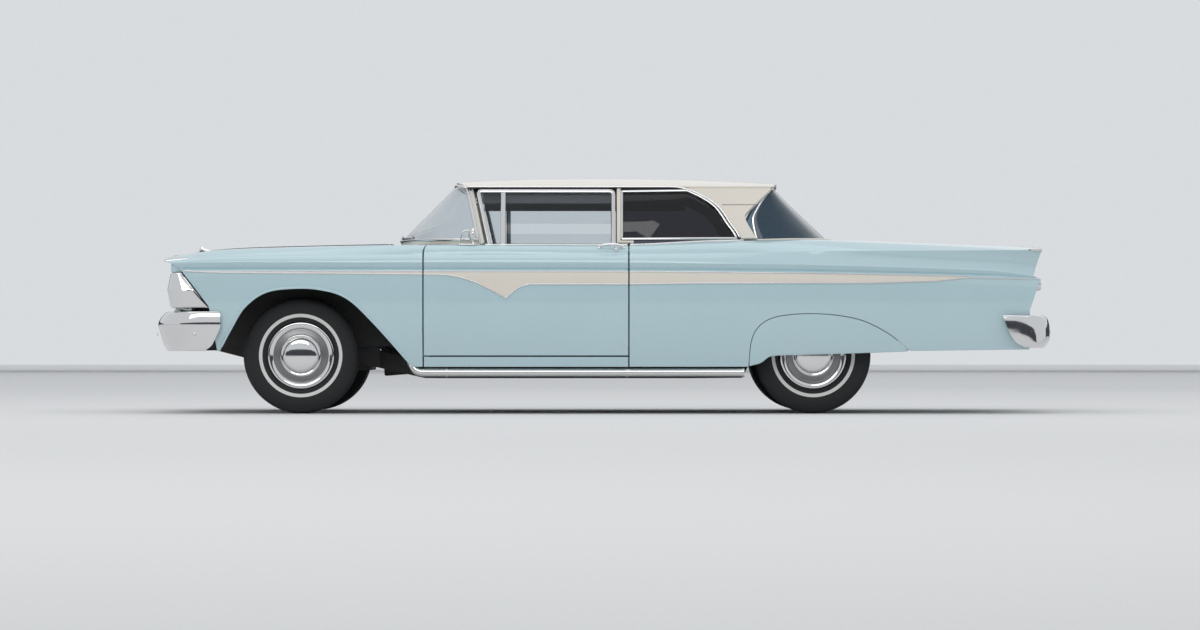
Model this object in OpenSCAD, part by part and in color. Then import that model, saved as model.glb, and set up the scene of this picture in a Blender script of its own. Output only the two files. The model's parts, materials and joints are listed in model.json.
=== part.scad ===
// Two-door classic car with a full-length body side crease, fender skirts and a wraparound windshield.
// Frame: +X to the front, +Y to the left, +Z up, origin on the ground under the middle of the body.

/* [Overall] */
// Length over the bumpers
body_len = 5357; // [4900:1:5800]
// Width over the doors
body_w = 2026; // [1900:1:2150]
// Height of the roof crown above the ground
roof_h = 1420; // [1360:1:1480]

/* [Layout] */
// Distance between the axles as a share of the length
wheelbase_share = 0.569; // [0.55:0.001:0.59]
// Front axle to the tip of the front bumper as a share of the length
front_overhang_share = 0.1646; // [0.155:0.0005:0.175]
// Front axle to the front edge of the door as a share of the length
door_setback_share = 0.1368; // [0.13:0.0005:0.145]
// Length of the door as a share of the length
door_len_share = 0.2272; // [0.215:0.0005:0.24]
// Height of the lower edge of the sill as a share of the roof height
sill_share = 0.1958; // [0.18:0.001:0.21]
// Height of the rocker below the door as a share of the roof height
rocker_share = 0.0415; // [0.03:0.0005:0.05]
// Height of the belt line at the door as a share of the roof height
belt_share = 0.7042; // [0.69:0.0002:0.72]
// Height of the side windows above the belt line as a share of the roof height
window_share = 0.2394; // [0.22:0.0002:0.245]
// Inward lean of the side glass in degrees
glass_lean = 18; // [14:1:22]

/* [Panels] */
// Gap round doors, hood and trunk lid
panel_gap = 8; // [6:1:10]
// Thickness of the fenders, hood and trunk lid
sheet = 8; // [6:1:12]
// Thickness of the door
door_wall = 100; // [80:1:120]
// Thickness of the quarter panel
quarter_wall = 60; // [45:1:80]
// Thickness of the roof
roof_wall = 30; // [20:1:40]
// Thickness of the glass
glass_t = 6; // [4:1:8]
// How far the sill tucks in below the widest line
sill_tuck = 60; // [40:1:80]

/* [Wheels] */
// Distance between the front tyre centres as a share of the width
track_f_share = 0.7404; // [0.725:0.0005:0.75]
// Distance between the rear tyre centres as a share of the width
track_r_share = 0.7078; // [0.695:0.0005:0.72]
// Outside diameter of the tyres as a share of the roof height
tyre_share = 0.486; // [0.47:0.001:0.495]
// Width of the tyres
tyre_w = 196; // [180:1:205]
// Diameter over the rim flange as a share of the tyre's
rim_share = 0.577; // [0.55:0.001:0.59]
// Radius of the wheel spindle
spindle_r = 20; // [16:1:24]
// Radius of the steering pin
king_r = 12; // [10:1:15]

/* [Fittings] */
// Diameter of the pipes under the sills
sill_pipe_d = 50; // [40:1:60]
// Radius of the door hinge pins
hinge_pin_r = 5; // [4:0.5:6]
// Diameter of a headlamp as a share of the grille's height
lamp_share = 0.702; // [0.6:0.002:0.75]
// Diameter of the steering wheel
steering_wheel_d = 430; // [380:1:450]
// Radius of the hole in the tow bracket
tow_hole_r = 12; // [8:1:16]

/* [Hidden] */
$fn = 64;

// Clearance of a running pin in its bore
run = 0.05;
// Clearance where a piece lies on its seat
seat = 0.3;
// Overrun of cuts
over = 1;

half_w = body_w / 2;
x_nose = body_len / 2;
x_tail = -x_nose;
wheelbase = body_len * wheelbase_share;
front_overhang = body_len * front_overhang_share;
rear_overhang = body_len - front_overhang - wheelbase;
door_len = body_len * door_len_share;
sill_z = roof_h * sill_share;
rocker_h = roof_h * rocker_share;
belt_z = roof_h * belt_share;
window_h = roof_h * window_share;
track_f = body_w * track_f_share;
track_r = body_w * track_r_share;
tyre_d = roof_h * tyre_share;
axle_f = x_nose - front_overhang;
axle_r = axle_f - wheelbase;
axle_z = tyre_d / 2;
door_f = axle_f - body_len * door_setback_share;
door_r = door_f - door_len;
rim_r = tyre_d * rim_share / 2;
// Unit of the wheel arch lengths
arch_unit = body_len * 0.1288;

// Body sections from tail to nose as shares: x of the length, widths of the half width, heights of the roof.
// Columns: x, widest half width, crease height, lip height, fin half width, fin height, bulge below the fin,
// top edge half width, top edge height, bulge above the fin.
WIDE = 1;
CREASE_Z = 2;
LIP_Z = 3;
FIN_Y = 4;
FIN_Z = 5;
FIN_SAG = 6;
TOP_Y = 7;
TOP_Z = 8;
TOP_SAG = 9;
body_shares = [
    [-0.487, 0.930, 0.563, 0.570, 0.945, 0.6845, -0.030, 0.700, 0.694, 0.006],
    [-0.429, 0.955, 0.574, 0.596, 0.948, 0.6820, -0.018, 0.705, 0.706, 0.010],
    [-0.234, 0.985, 0.590, 0.620, 0.952, 0.6775, -0.002, 0.800, 0.7285, 0.014],
    [-0.165, 0.993, 0.5925, 0.624, 0.954, 0.6725, 0.003, 0.862, 0.7240, 0.017],
    [-0.112, 0.997, 0.595, 0.627, 0.955, 0.6690, 0.006, 0.868, 0.7190, 0.020],
    [-0.029, 1.000, 0.597, 0.628, 0.960, 0.6655, 0.008, 0.880, 0.7042, 0.022],
    [0.1985, 0.997, 0.5986, 0.630, 0.957, 0.6655, 0.008, 0.880, 0.7042, 0.022],
    [0.335, 0.985, 0.5986, 0.632, 0.940, 0.6620, 0.008, 0.780, 0.6960, 0.020],
    [0.429, 0.962, 0.5986, 0.632, 0.920, 0.6560, 0.008, 0.740, 0.6820, 0.018],
    [0.486, 0.930, 0.5986, 0.627, 0.895, 0.6370, 0.006, 0.700, 0.6510, 0.012]];
// Height of the widest line as a share of the roof height
bulge_z_share = 0.479;
// How far the crease lies inside the widest line
crease_tuck = 7;
// Depth and rise of the cove between crease and lip, as shares of its height
cove_shares = [0.42, 0.25];

// Wheel arch outlines: place ahead of the axle as a share of the arch unit, height as a share of the tyre diameter
arch_f_shares = [[-0.967, 0.403], [-0.651, 0.762], [-0.413, 0.984], [-0.174, 1.062], [0.087, 1.070],
    [0.304, 1.030], [0.478, 0.899], [0.594, 0.710], [0.681, 0.551]];
arch_r_shares = [[-0.830, 0.539], [-0.642, 0.686], [-0.428, 0.796], [-0.214, 0.845], [0, 0.861],
    [0.214, 0.852], [0.386, 0.815], [0.497, 0.730], [0.550, 0.600], [0.566, 0.410]];
// Lower edge of the skirt from rear to front in the same shares
skirt_low_shares = [[-0.830, 0.535], [-0.400, 0.520], [0.140, 0.503], [0.380, 0.490], [0.460, 0.435],
    [0.566, 0.408]];
// Front edge of the fender behind the bumper tip, by height in the section, as shares of the front overhang:
// foot, middle, crease, cove, lip, fin, top
nose_shares = [0.446, 0.392, 0.203, 0.190, 0.128, 0.088, 0.096];
// Rear edge of the quarter panel ahead of the bumper tip, as shares of the rear overhang, in the same order
tail_shares = [0.105, 0.105, 0.060, 0.070, 0.090, 0.055, 0.062];
// Height in the lower side at which the middle value holds
edge_mid_share = 0.55;
// How far the top of the door's front edge leans back
edge_sweep = body_len * 0.00747;

// Rows along a section
n_low = 6;
n_fin = 3;
n_top = 4;

function mix(a, b, t) = a + (b - a) * t;
function flat(l) = [for (a = l) for (b = a) b];
function back(l) = [for (i = [len(l) - 1:-1:0]) l[i]];
function smooth(a, b, x) = let (t = min(1, max(0, (x - a) / (b - a)))) t * t * (3 - 2 * t);

// Smooth curve through the rows of a table: column c at place x of column 0
function span(t, x, i = 0) = i >= len(t) - 2 || x < t[i + 1][0] ? i : span(t, x, i + 1);
function slope(t, i, c) = let (a = max(i - 1, 0), b = min(i + 1, len(t) - 1))
    (t[b][c] - t[a][c]) / (t[b][0] - t[a][0]);
function curve(t, x, c) = let (
        i = span(t, x), h = t[i + 1][0] - t[i][0], s = (x - t[i][0]) / h,
        a = t[i][c], b = t[i + 1][c], m = slope(t, i, c) * h, n = slope(t, i + 1, c) * h)
    a * (2 * s * s * s - 3 * s * s + 1) + m * (s * s * s - 2 * s * s + s)
    + b * (3 * s * s - 2 * s * s * s) + n * (s * s * s - s * s);

// Body side surface
function body_y(x, c) = half_w * curve(body_shares, x / body_len, c);
function body_z(x, c) = roof_h * curve(body_shares, x / body_len, c);
bulge_z = bulge_z_share * roof_h;
function side_y(x, z) = let (
        w = body_y(x, WIDE), low = (bulge_z - z) / (bulge_z - sill_z),
        high = (z - bulge_z) / (body_z(x, CREASE_Z) - bulge_z))
    w - (z < bulge_z ? sill_tuck * low * low : crease_tuck * high * high);
// Bulged line from a to b: the bulge is square to the chord
function bow(a, b, sag, t) = let (d = b - a, n = [d[1], -d[0]] / norm(d))
    a + d * t + n * (4 * sag * t * (1 - t));
// Bulges below and above the fin
function fin_sag(x) = half_w * curve(body_shares, x / body_len, FIN_SAG);
function top_sag(x) = half_w * curve(body_shares, x / body_len, TOP_SAG);
function cove(x) = let (zc = body_z(x, CREASE_Z), h = body_z(x, LIP_Z) - zc)
    [body_y(x, WIDE) - crease_tuck - cove_shares[0] * h, zc + cove_shares[1] * h];
function lip(x) = [body_y(x, WIDE) - crease_tuck, body_z(x, LIP_Z)];
function fin(x) = [body_y(x, FIN_Y), body_z(x, FIN_Z)];
function top(x) = [body_y(x, TOP_Y), body_z(x, TOP_Z)];
// Point of row j at place x, with the side starting at height low
function side_point(x, low, j) =
    j <= n_low ? let (z = mix(low, body_z(x, CREASE_Z), j / n_low)) [side_y(x, z), z]
    : j == n_low + 1 ? cove(x)
    : j <= n_low + 2 + n_fin ? bow(lip(x), fin(x), fin_sag(x), (j - n_low - 2) / n_fin)
    : bow(fin(x), top(x), top_sag(x), (j - n_low - 2 - n_fin) / n_top);
// Share of the way from fin to top at row j
function over_top(j) = max(0, (j - n_low - 2 - n_fin) / n_top);
last_row = n_low + 2 + n_fin + n_top;
// Front or rear edge value at row j from a table of seven shares
function edge_share(t, j) =
    j <= n_low ? let (f = j / n_low) (f < edge_mid_share ? mix(t[0], t[1], f / edge_mid_share)
        : mix(t[1], t[2], (f - edge_mid_share) / (1 - edge_mid_share)))
    : j == n_low + 1 ? t[3]
    : j <= n_low + 2 + n_fin ? mix(t[4], t[5], (j - n_low - 2) / n_fin)
    : mix(t[5], t[6], over_top(j));

// Heights of the arch edges
function arch_z(shares, axle, x) = let (d = (x - axle) / arch_unit, n = len(shares) - 1)
    d <= shares[0][0] || d >= shares[n][0] ? 0 : tyre_d * curve(shares, d, 1);
nose_z = roof_h * 0.262;
tail_z = roof_h * 0.2746;
function fender_low(x) = let (d = (x - axle_f) / arch_unit, n = len(arch_f_shares) - 1)
    d >= arch_f_shares[n][0] ? nose_z : max(sill_z, arch_z(arch_f_shares, axle_f, x));
function quarter_low(x) = let (d = (x - axle_r) / arch_unit, first = arch_r_shares[0])
    d <= first[0] ? mix(tyre_d * first[1], tail_z, (first[0] - d) * arch_unit / rear_overhang)
    : max(sill_z, arch_z(arch_r_shares, axle_r, x));

// Closed shell between two grids of points, both given as rows of points
module shell(outer, inner) {
    n = len(outer);
    m = len(outer[0]);
    k = n * m;
    e = m - 1;
    f = (n - 1) * m;
    quads = concat(
        [for (i = [0:n - 2]) for (j = [0:m - 2]) let (a = i * m + j) [a, a + 1, a + m + 1, a + m]],
        [for (i = [0:n - 2]) for (j = [0:m - 2]) let (a = k + i * m + j) [a, a + m, a + m + 1, a + 1]],
        [for (i = [0:n - 2]) let (a = i * m) [a, a + m, k + a + m, k + a]],
        [for (i = [0:n - 2]) let (a = i * m + e) [a + m, a, k + a, k + a + m]],
        [for (j = [0:m - 2]) [j + 1, j, k + j, k + j + 1]],
        [for (j = [0:m - 2]) let (a = f + j) [a, a + 1, k + a + 1, k + a]]);
    polyhedron(concat(flat(outer), flat(inner)),
        [for (q = quads) for (t = [[0, 2, 1], [0, 3, 2]]) [for (a = t) q[a]]]);
}
// Side panel from a grid of [x, low, row]: walls shift inwards, and turn downwards above the fin by a share
function panel_outer(g) = [for (c = g) [for (p = c) let (
        q = side_point(p[0], p[1], p[2])) [p[0], q[0], q[1]]]];
function panel_inner(g, wall, turn) = [for (i = [0:len(g) - 1]) [for (p = g[i]) let (
        q = side_point(p[0], p[1], p[2]), r = over_top(p[2]) * turn(p[0]), w = wall(p[0]))
    [p[0], q[0] - w * (1 - r), q[1] - w * r]]];
module left_and_right() {
    children();
    mirror([0, 1, 0]) children();
}

// Front fender
fender_back_xs = 4;
fender_nose_xs = 5;
function fender_grid() = let (
        arch_n = len(arch_f_shares) - 1,
        a_xs = [for (p = arch_f_shares) p[0]],
        arch = flat([for (i = [0:arch_n - 1]) [a_xs[i], (a_xs[i] + a_xs[i + 1]) / 2]]),
        x_arch_f = axle_f + arch_unit * a_xs[arch_n],
        x_arch_r = axle_f + arch_unit * a_xs[0],
        x_rear = door_f + panel_gap / 2)
    concat(
        [for (i = [0:fender_back_xs - 1]) [for (j = [0:last_row]) let (
            end = x_rear - edge_sweep * pow(over_top(j), 2),
            x = mix(end, x_arch_r, i / fender_back_xs)) [x, fender_low(x), j]]],
        [for (a = arch) [for (j = [0:last_row]) let (x = axle_f + arch_unit * a) [x, fender_low(x), j]]],
        [for (i = [0:fender_nose_xs]) [for (j = [0:last_row]) let (
            end = x_nose - front_overhang * edge_share(nose_shares, j),
            x = mix(x_arch_f, end, i / fender_nose_xs)) [x, nose_z, j]]]);
module fender() {
    g = fender_grid();
    color("lightblue") shell(panel_outer(g), panel_inner(g, function(x) sheet, function(x) 1));
}

// Rear quarter panel with the cabin side wall ahead of it
quarter_front_xs = 8;
quarter_tail_xs = 7;
function quarter_grid() = let (
        arch_n = len(arch_r_shares) - 1,
        a_xs = [for (p = arch_r_shares) p[0]],
        arch = flat([for (i = [arch_n:-1:1]) [a_xs[i], (a_xs[i] + a_xs[i - 1]) / 2]]),
        x_front = door_r - panel_gap / 2,
        x_arch_f = axle_r + arch_unit * a_xs[arch_n],
        x_arch_r = axle_r + arch_unit * a_xs[0])
    concat(
        [for (i = [0:quarter_front_xs - 1]) [for (j = [0:last_row]) let (
            x = mix(x_front, x_arch_f + seat, i / quarter_front_xs)) [x, sill_z, j]]],
        [for (a = arch) [for (j = [0:last_row]) let (x = axle_r + arch_unit * a) [x, quarter_low(x), j]]],
        [for (i = [0:quarter_tail_xs]) [for (j = [0:last_row]) let (
            end = x_tail + rear_overhang * edge_share(tail_shares, j),
            x = mix(x_arch_r, end, i / quarter_tail_xs)) [x, quarter_low(x), j]]]);
cabin_end = axle_r + arch_unit * 0.6;
module quarter() {
    g = back(quarter_grid());
    color("lightblue") shell(panel_outer(g),
        panel_inner(g, function(x) quarter_wall, function(x) 1 - smooth(axle_r, cabin_end, x)));
}

// Fender skirt filling the rear arch: the outer face keeps a panel line, the inner face reaches its seat
skirt_gap = 4;
skirt_rows = 4;
skirt_wall = 20;
skirt_n = 22;
function skirt_top(d, gap) = let (
        e = 0.001, t = curve(arch_r_shares, d + e, 1) - curve(arch_r_shares, d - e, 1),
        n = [-t, 2 * e] / norm([t, 2 * e]))
    [axle_r + arch_unit * d, tyre_d * curve(arch_r_shares, d, 1)] - n * gap;
function skirt_low(x) = tyre_d * curve(skirt_low_shares, (x - axle_r) / arch_unit, 1);
module skirt() {
    first = arch_r_shares[0][0] + 0.03;
    last = arch_r_shares[len(arch_r_shares) - 1][0] - 0.003;
    function face(gap, wall) = [for (i = [0:skirt_n]) let (
            d = mix(first, last, 1 - pow(1 - i / skirt_n, 1.5)), p = skirt_top(d, gap),
            low = min(skirt_low(p[0]), p[1] - skirt_gap))
        [for (j = [0:skirt_rows]) let (z = mix(low, p[1], j / skirt_rows)) [p[0], side_y(p[0], z) - wall, z]]];
    color("lightblue") shell(face(skirt_gap, 0), face(5 * seat, skirt_wall));
}

// Rocker below the door
rocker_xs = 6;
rocker_in = half_w * 0.8588;
module rocker() {
    x0 = door_r + panel_gap / 2;
    x1 = door_f - panel_gap / 2;
    grid = [for (i = [0:rocker_xs]) let (x = mix(x0, x1, i / rocker_xs))
        [for (j = [0:1]) let (z = sill_z + rocker_h * j) [x, side_y(x, z), z]]];
    color("lightblue") shell(grid, [for (c = grid) [for (p = c) [p[0], rocker_in, p[2]]]]);
}

// Door: thick panel with a thin front flange that covers the hinge post
door_xs = 8;
hinge_setback = 75;
hinge_inset = 30;
hinge_x = door_f - hinge_setback;
hinge_y = body_y(door_f, WIDE) - hinge_inset;
hinge_z_shares = [0.385, 0.555];
hinge_lug_r = 10;
hinge_lug_h = 30;
flange_len = 140;
door_low = sill_z + rocker_h + panel_gap;
function door_xs_list() = let (f = door_f - panel_gap / 2, r = door_r + panel_gap / 2, s = f - flange_len)
    concat([for (i = [0:door_xs - 1]) mix(r, s - over, i / (door_xs - 1))], [s, mix(s, f, 0.5), f]);
module door_panel() {
    xs = door_xs_list();
    g = [for (x = xs) [for (j = [0:last_row]) let (
            near = smooth(door_f - flange_len * 2, door_f, x))
        [x - edge_sweep * near * pow(over_top(j), 2), door_low, j]]];
    s = door_f - panel_gap / 2 - flange_len;
    shell(panel_outer(g), panel_inner(g, function(x) x > s - over / 2 ? sheet : door_wall, function(x) 0));
}
// Strap that joins the door to a hinge pin
strap_h = 24;
strap_sink = 10;
module hinge_strap(z) {
    reach = hinge_x - (door_f - panel_gap / 2 - flange_len) + strap_sink;
    translate([hinge_x, hinge_y, z]) difference() {
        union() {
            cylinder(r = hinge_lug_r, h = strap_h, center = true);
            translate([-reach, -hinge_lug_r * 2, -strap_h / 2]) cube([reach, hinge_lug_r * 2, strap_h]);
        }
        cylinder(r = hinge_pin_r + run, h = strap_h + over, center = true);
    }
}
// Side glass plane: x along the car, y up the glass from the belt line, z inwards
glass_base_y = half_w * 0.8608;
module on_glass_plane() translate([0, glass_base_y, belt_z]) rotate([90 + glass_lean, 0, 0]) children();
up = 1 / cos(glass_lean);
// Window outline behind the door's front edge as shares of the door length
vent_low_share = 0.311;
vent_high_share = 0.247;
post_shares = [0.374, 0.398];
window_rear_share = 0.935;
frame_w = 24;
frame_t = 26;
// Height at which a piece of the frame's thickness clears the belt line
glass_lift = frame_t * tan(glass_lean) + seat;
frame_inset = 6;
function door_at(s) = door_f - door_len * s;
module window_outline(inset) polygon([
    [door_at(vent_low_share) - inset * up, 0],
    [door_at(vent_high_share) - inset * up, window_h * up - inset],
    [door_at(window_rear_share) + inset, window_h * up - inset],
    [door_at(window_rear_share) + inset, 0]]);
post_w = door_len * (post_shares[1] - post_shares[0]);
module vent_post() translate([door_at(post_shares[1]), 0]) square([post_w, window_h * up]);
module door_frame() on_glass_plane() linear_extrude(frame_t) {
    difference() {
        window_outline(0);
        window_outline(frame_w);
        translate([0, -over]) window_outline(frame_w);
    }
    intersection() {
        vent_post();
        window_outline(0);
    }
}
module door() color("lightblue") {
    door_panel();
    door_frame();
    for (s = hinge_z_shares) hinge_strap(s * roof_h);
}
module door_glass() color([0.3, 0.35, 0.38, 0.5]) on_glass_plane() translate([0, 0, frame_t / 2])
    linear_extrude(glass_t) difference() {
        window_outline(frame_w + seat);
        translate([door_r, -over]) square([door_len, glass_lift + over]);
        offset_post();
    }
module offset_post() translate([door_at(post_shares[1]) - seat, -over])
    square([post_w + 2 * seat, window_h * up + 2 * over]);

// Place on the shoulder at share t of the way from fin to top: z points away from the surface
module on_shoulder(x, t) {
    d = top(x) - fin(x);
    n = [d[1], -d[0]] / norm(d);
    along = d + n * (4 * top_sag(x) * (1 - 2 * t));
    p = bow(fin(x), top(x), top_sag(x), t);
    translate([x, p[0], p[1]]) rotate([-atan2(along[1], -along[0]), 0, 0]) children();
}
// Handle and mirror on the door
handle_len = 150;
handle_d = 15;
handle_share = 0.975;
handle_t_share = 0.42;
handle_out = 26;
mirror_share = 0.245;
mirror_t_share = 0.80;
mirror_foot_r = 16;
mirror_foot_h = 8;
mirror_stem_r = 8;
mirror_rise = 56;
// Mirror head from its face to its tip: shares of its radius and of its length
mirror_r = 42;
mirror_len = 130;
mirror_shares = [[0, 0.05], [0.9, 0.05], [0.9, 0], [1, 0], [1, 0.12], [0.94, 0.40], [0.76, 0.68],
    [0.5, 0.88], [0.25, 0.97], [0, 1]];
module door_trim(with_mirror) color("silver") {
    on_shoulder(door_at(handle_share), handle_t_share) translate([0, 0, seat]) {
        cylinder(d = handle_d * 1.6, h = handle_out - handle_d / 3);
        translate([0, 0, handle_out - handle_d / 2]) rotate([0, 90, 0]) cylinder(d = handle_d, h = handle_len);
        translate([handle_len * 0.9, 0, 0]) cylinder(d = handle_d * 0.7, h = handle_out - handle_d / 3);
    }
    if (with_mirror) on_shoulder(door_at(mirror_share), mirror_t_share) translate([0, 0, seat]) {
        cylinder(r = mirror_foot_r, h = mirror_foot_h);
        cylinder(r = mirror_stem_r, h = mirror_rise);
        translate([-mirror_len * 0.3, 0, mirror_rise]) rotate([0, 90, 0])
            rotate_extrude() polygon([for (p = mirror_shares) [mirror_r * p[0], mirror_len * p[1]]]);
    }
}

// Hood and trunk lid: crowned sheets between the fender tops
lid_rows = 6;
hood_crown = 24;
hood_rear = door_f + body_len * 0.0401;
hood_xs = 9;
hood_nose_set = body_len * 0.0172;
lid_gap = 16;
hood_hinge_set = 12;
lug_r = 9;
lug_w = 30;
// How far a lug is let into the lid
lug_sink = 2;
lid_lug_share = 0.82;
function lid_point(x, v, crown, edge = panel_gap) = let (t = top(x), w = t[0] - edge)
    [x, v * w, t[1] + crown * (1 - v * v)];
module lid(x0, x1, n, crown, edge = function(x) panel_gap, t = sheet) {
    g = [for (i = [0:n]) [for (j = [-lid_rows:lid_rows]) let (x = mix(x0, x1, i / n))
        lid_point(x, -j / lid_rows, crown, edge(x))]];
    shell(g, [for (c = g) [for (p = c) p - [0, 0, t]]]);
}
hood_hinge_x = hood_rear + hood_hinge_set;
hood_hinge_y = lid_lug_share * top(hood_rear)[0];
hood_hinge_z = lid_point(hood_hinge_x, lid_lug_share, hood_crown)[2] - sheet - lug_r + lug_sink;
module lid_lug(x, y, z) translate([x, y - lug_w / 2, z]) rotate([-90, 0, 0]) difference() {
    cylinder(r = lug_r, h = lug_w);
    translate([0, 0, -over]) cylinder(r = hinge_pin_r + run, h = lug_w + 2 * over);
}
module hood() color("lightblue") {
    lid(hood_rear, x_nose - hood_nose_set, hood_xs, hood_crown);
    left_and_right() lid_lug(hood_hinge_x, hood_hinge_y, hood_hinge_z);
}
trunk_crown = 10;
trunk_front = axle_r - rear_overhang * 0.1437;
trunk_rear = x_tail + rear_overhang * 0.0771;
trunk_xs = 7;
trunk_hinge_x = trunk_front - hood_hinge_set;
trunk_hinge_y = lid_lug_share * top(trunk_front)[0];
trunk_hinge_z = lid_point(trunk_hinge_x, lid_lug_share, trunk_crown)[2] - sheet - lug_r + lug_sink;
module trunk_lid() color("lightblue") {
    lid(trunk_rear, trunk_front, trunk_xs, trunk_crown);
    left_and_right() lid_lug(trunk_hinge_x, trunk_hinge_y, trunk_hinge_z);
}

// Shelf under the rear window that carries the trunk lid's hinge pins
shelf_front = axle_r + body_len * 0.0765;
shelf_xs = 5;
shelf_wall = 20;
pin_len = 18;
module hinge_pin_block(x, y, z, drop) {
    half = lug_r - lug_sink - over;
    translate([x, y - lug_w / 2 - seat - pin_len + over, z]) rotate([-90, 0, 0])
        cylinder(r = hinge_pin_r, h = lug_w + pin_len);
    translate([x - half, y - lug_w / 2 - seat - pin_len, z - drop]) cube([2 * half, pin_len, drop]);
}
// Share of the quarter panel's wall that lies beside the shelf
function beside(x) = 3 * seat + quarter_wall * smooth(axle_r, cabin_end, x);
module parcel_shelf() color("lightblue") {
    lid(trunk_front + lid_gap, shelf_front, shelf_xs, trunk_crown, function(x) beside(x), shelf_wall);
    bar_z = trunk_hinge_z - lug_r * 3;
    web_x = trunk_front + lid_gap + shelf_wall;
    left_and_right()
        hinge_pin_block(trunk_hinge_x, trunk_hinge_y, trunk_hinge_z, trunk_hinge_z - bar_z + over);
    translate([trunk_hinge_x - lug_r, -trunk_hinge_y, bar_z - shelf_wall])
        cube([web_x + shelf_wall - trunk_hinge_x + lug_r, trunk_hinge_y * 2, shelf_wall]);
    translate([web_x, -trunk_hinge_y, bar_z - shelf_wall / 2])
        cube([shelf_wall, trunk_hinge_y * 2, top(web_x)[1] - trunk_crown / 2 - bar_z + shelf_wall / 2]);
}

// Strip between two parallel lines
function strip(pts, d) = concat(pts, back([for (p = pts) p + d]));
// Profile in the plane of x and z, carried across from y0 to y1
module across(y0, y1) translate([0, y1, 0]) rotate([90, 0, 0]) linear_extrude(y1 - y0) children();
// Outline of shares stretched to a length and a height
function stretched(shares, size) = [for (p = shares) [p[0] * size[0], p[1] * size[1]]];

// Frame: side rails that bend in plan and in height, with cross members
rail_w = 60;
rail_h = roof_h * 0.0704;
rail_z = roof_h * 0.148;
rail_front_z = roof_h * 0.2113;
rail_nose_z = roof_h * 0.2746;
rail_kick_z = roof_h * 0.3521;
rail_rear_z = roof_h * 0.2817;
rail_front_y = half_w * 0.3307;
rail_mid_y = half_w * 0.7601;
rail_rear_y = half_w * 0.4245;
rail_end = body_len * 0.028;
rail_bend = body_len * 0.0467;
cross_len = 80;
function rail_side() = [[x_nose - rail_end, rail_nose_z], [bulkhead_x - bulkhead_t, rail_nose_z],
    [axle_f + rail_bend, rail_front_z], [axle_f - rail_bend * 1.2, rail_front_z],
    [door_f, rail_z], [axle_r + rail_bend * 1.66, rail_z], [axle_r + rail_bend, rail_kick_z],
    [axle_r - rail_bend, rail_kick_z], [axle_r - rail_bend * 2, rail_rear_z], [x_tail + rail_end, rail_rear_z]];
function rail_plan() = [[x_nose - rail_end, rail_front_y], [axle_f - rail_bend * 1.8, rail_front_y],
    [door_f - rail_bend / 2, rail_mid_y], [axle_r + rail_bend * 2.9, rail_mid_y],
    [axle_r + rail_bend * 1.6, rail_rear_y], [x_tail + rail_end, rail_rear_y]];
module rail() intersection() {
    across(0, body_w) polygon(strip(rail_side(), [0, rail_h]));
    linear_extrude(roof_h) polygon(strip(rail_plan(), [0, rail_w]));
}
module cross_member(x, y, z, h = rail_h) translate([x - cross_len / 2, -y - over, z])
    cube([cross_len, 2 * y + 2 * over, h]);
tow_plate = [90, 160, 16];
module frame() color("dimgray") difference() {
    union() {
        left_and_right() rail();
        cross_member(x_nose - rail_end - cross_len, rail_front_y, rail_nose_z);
        cross_member(axle_f - rail_bend * 1.4, rail_front_y, rail_front_z - rail_h * 0.45);
        cross_member(door_f - door_len / 2, rail_mid_y, rail_z, rail_h * 0.65);
        cross_member(axle_r - rail_bend * 0.8, rail_rear_y, rail_kick_z);
        cross_member(x_tail + rail_end + cross_len / 2, rail_rear_y, rail_rear_z);
        translate([x_tail + rail_end - tow_plate[0], -tow_plate[1] / 2, rail_rear_z])
            cube(tow_plate + [over, 0, 0]);
    }
    translate([x_tail + rail_end - tow_plate[0] / 2, 0, rail_rear_z - over])
        cylinder(r = tow_hole_r, h = tow_plate[2] + 2 * over);
}

// Floor from the toe board to the trunk, with a kick-up over the rear axle, wheel tubs and a tunnel for the shaft
floor_t = 20;
floor_z = rail_z + rail_h + seat;
floor_y = rocker_in - seat;
kick_top = rail_kick_z + rail_h + seat;
trunk_floor_z = rail_rear_z + rail_h + seat;
trunk_floor_y = half_w * 0.849;
tub_y = half_w * 0.5825;
tub_room = 55;
tub_r = tyre_d / 2 + tub_room;
tub_t = 10;
tub_w = half_w * 0.3406;
toe_x = door_f + body_len * 0.0224;
toe_rise = roof_h * 0.1056;
kick_x = axle_r + rail_bend * 1.7;
shaft_z = roof_h * 0.2268;
tunnel_r = 54;
bell_r = 128;
bell_x = door_f - body_len * 0.0392;
module tunnel(grow) translate([0, 0, shaft_z]) rotate([0, 90, 0]) {
    translate([0, 0, axle_r]) cylinder(r = tunnel_r + grow, h = bell_x - axle_r + over);
    translate([0, 0, bell_x]) cylinder(r1 = tunnel_r + grow, r2 = bell_r + grow, h = toe_x - bell_x);
    translate([0, 0, toe_x - over]) cylinder(r = bell_r + grow, h = rail_bend);
}
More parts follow.
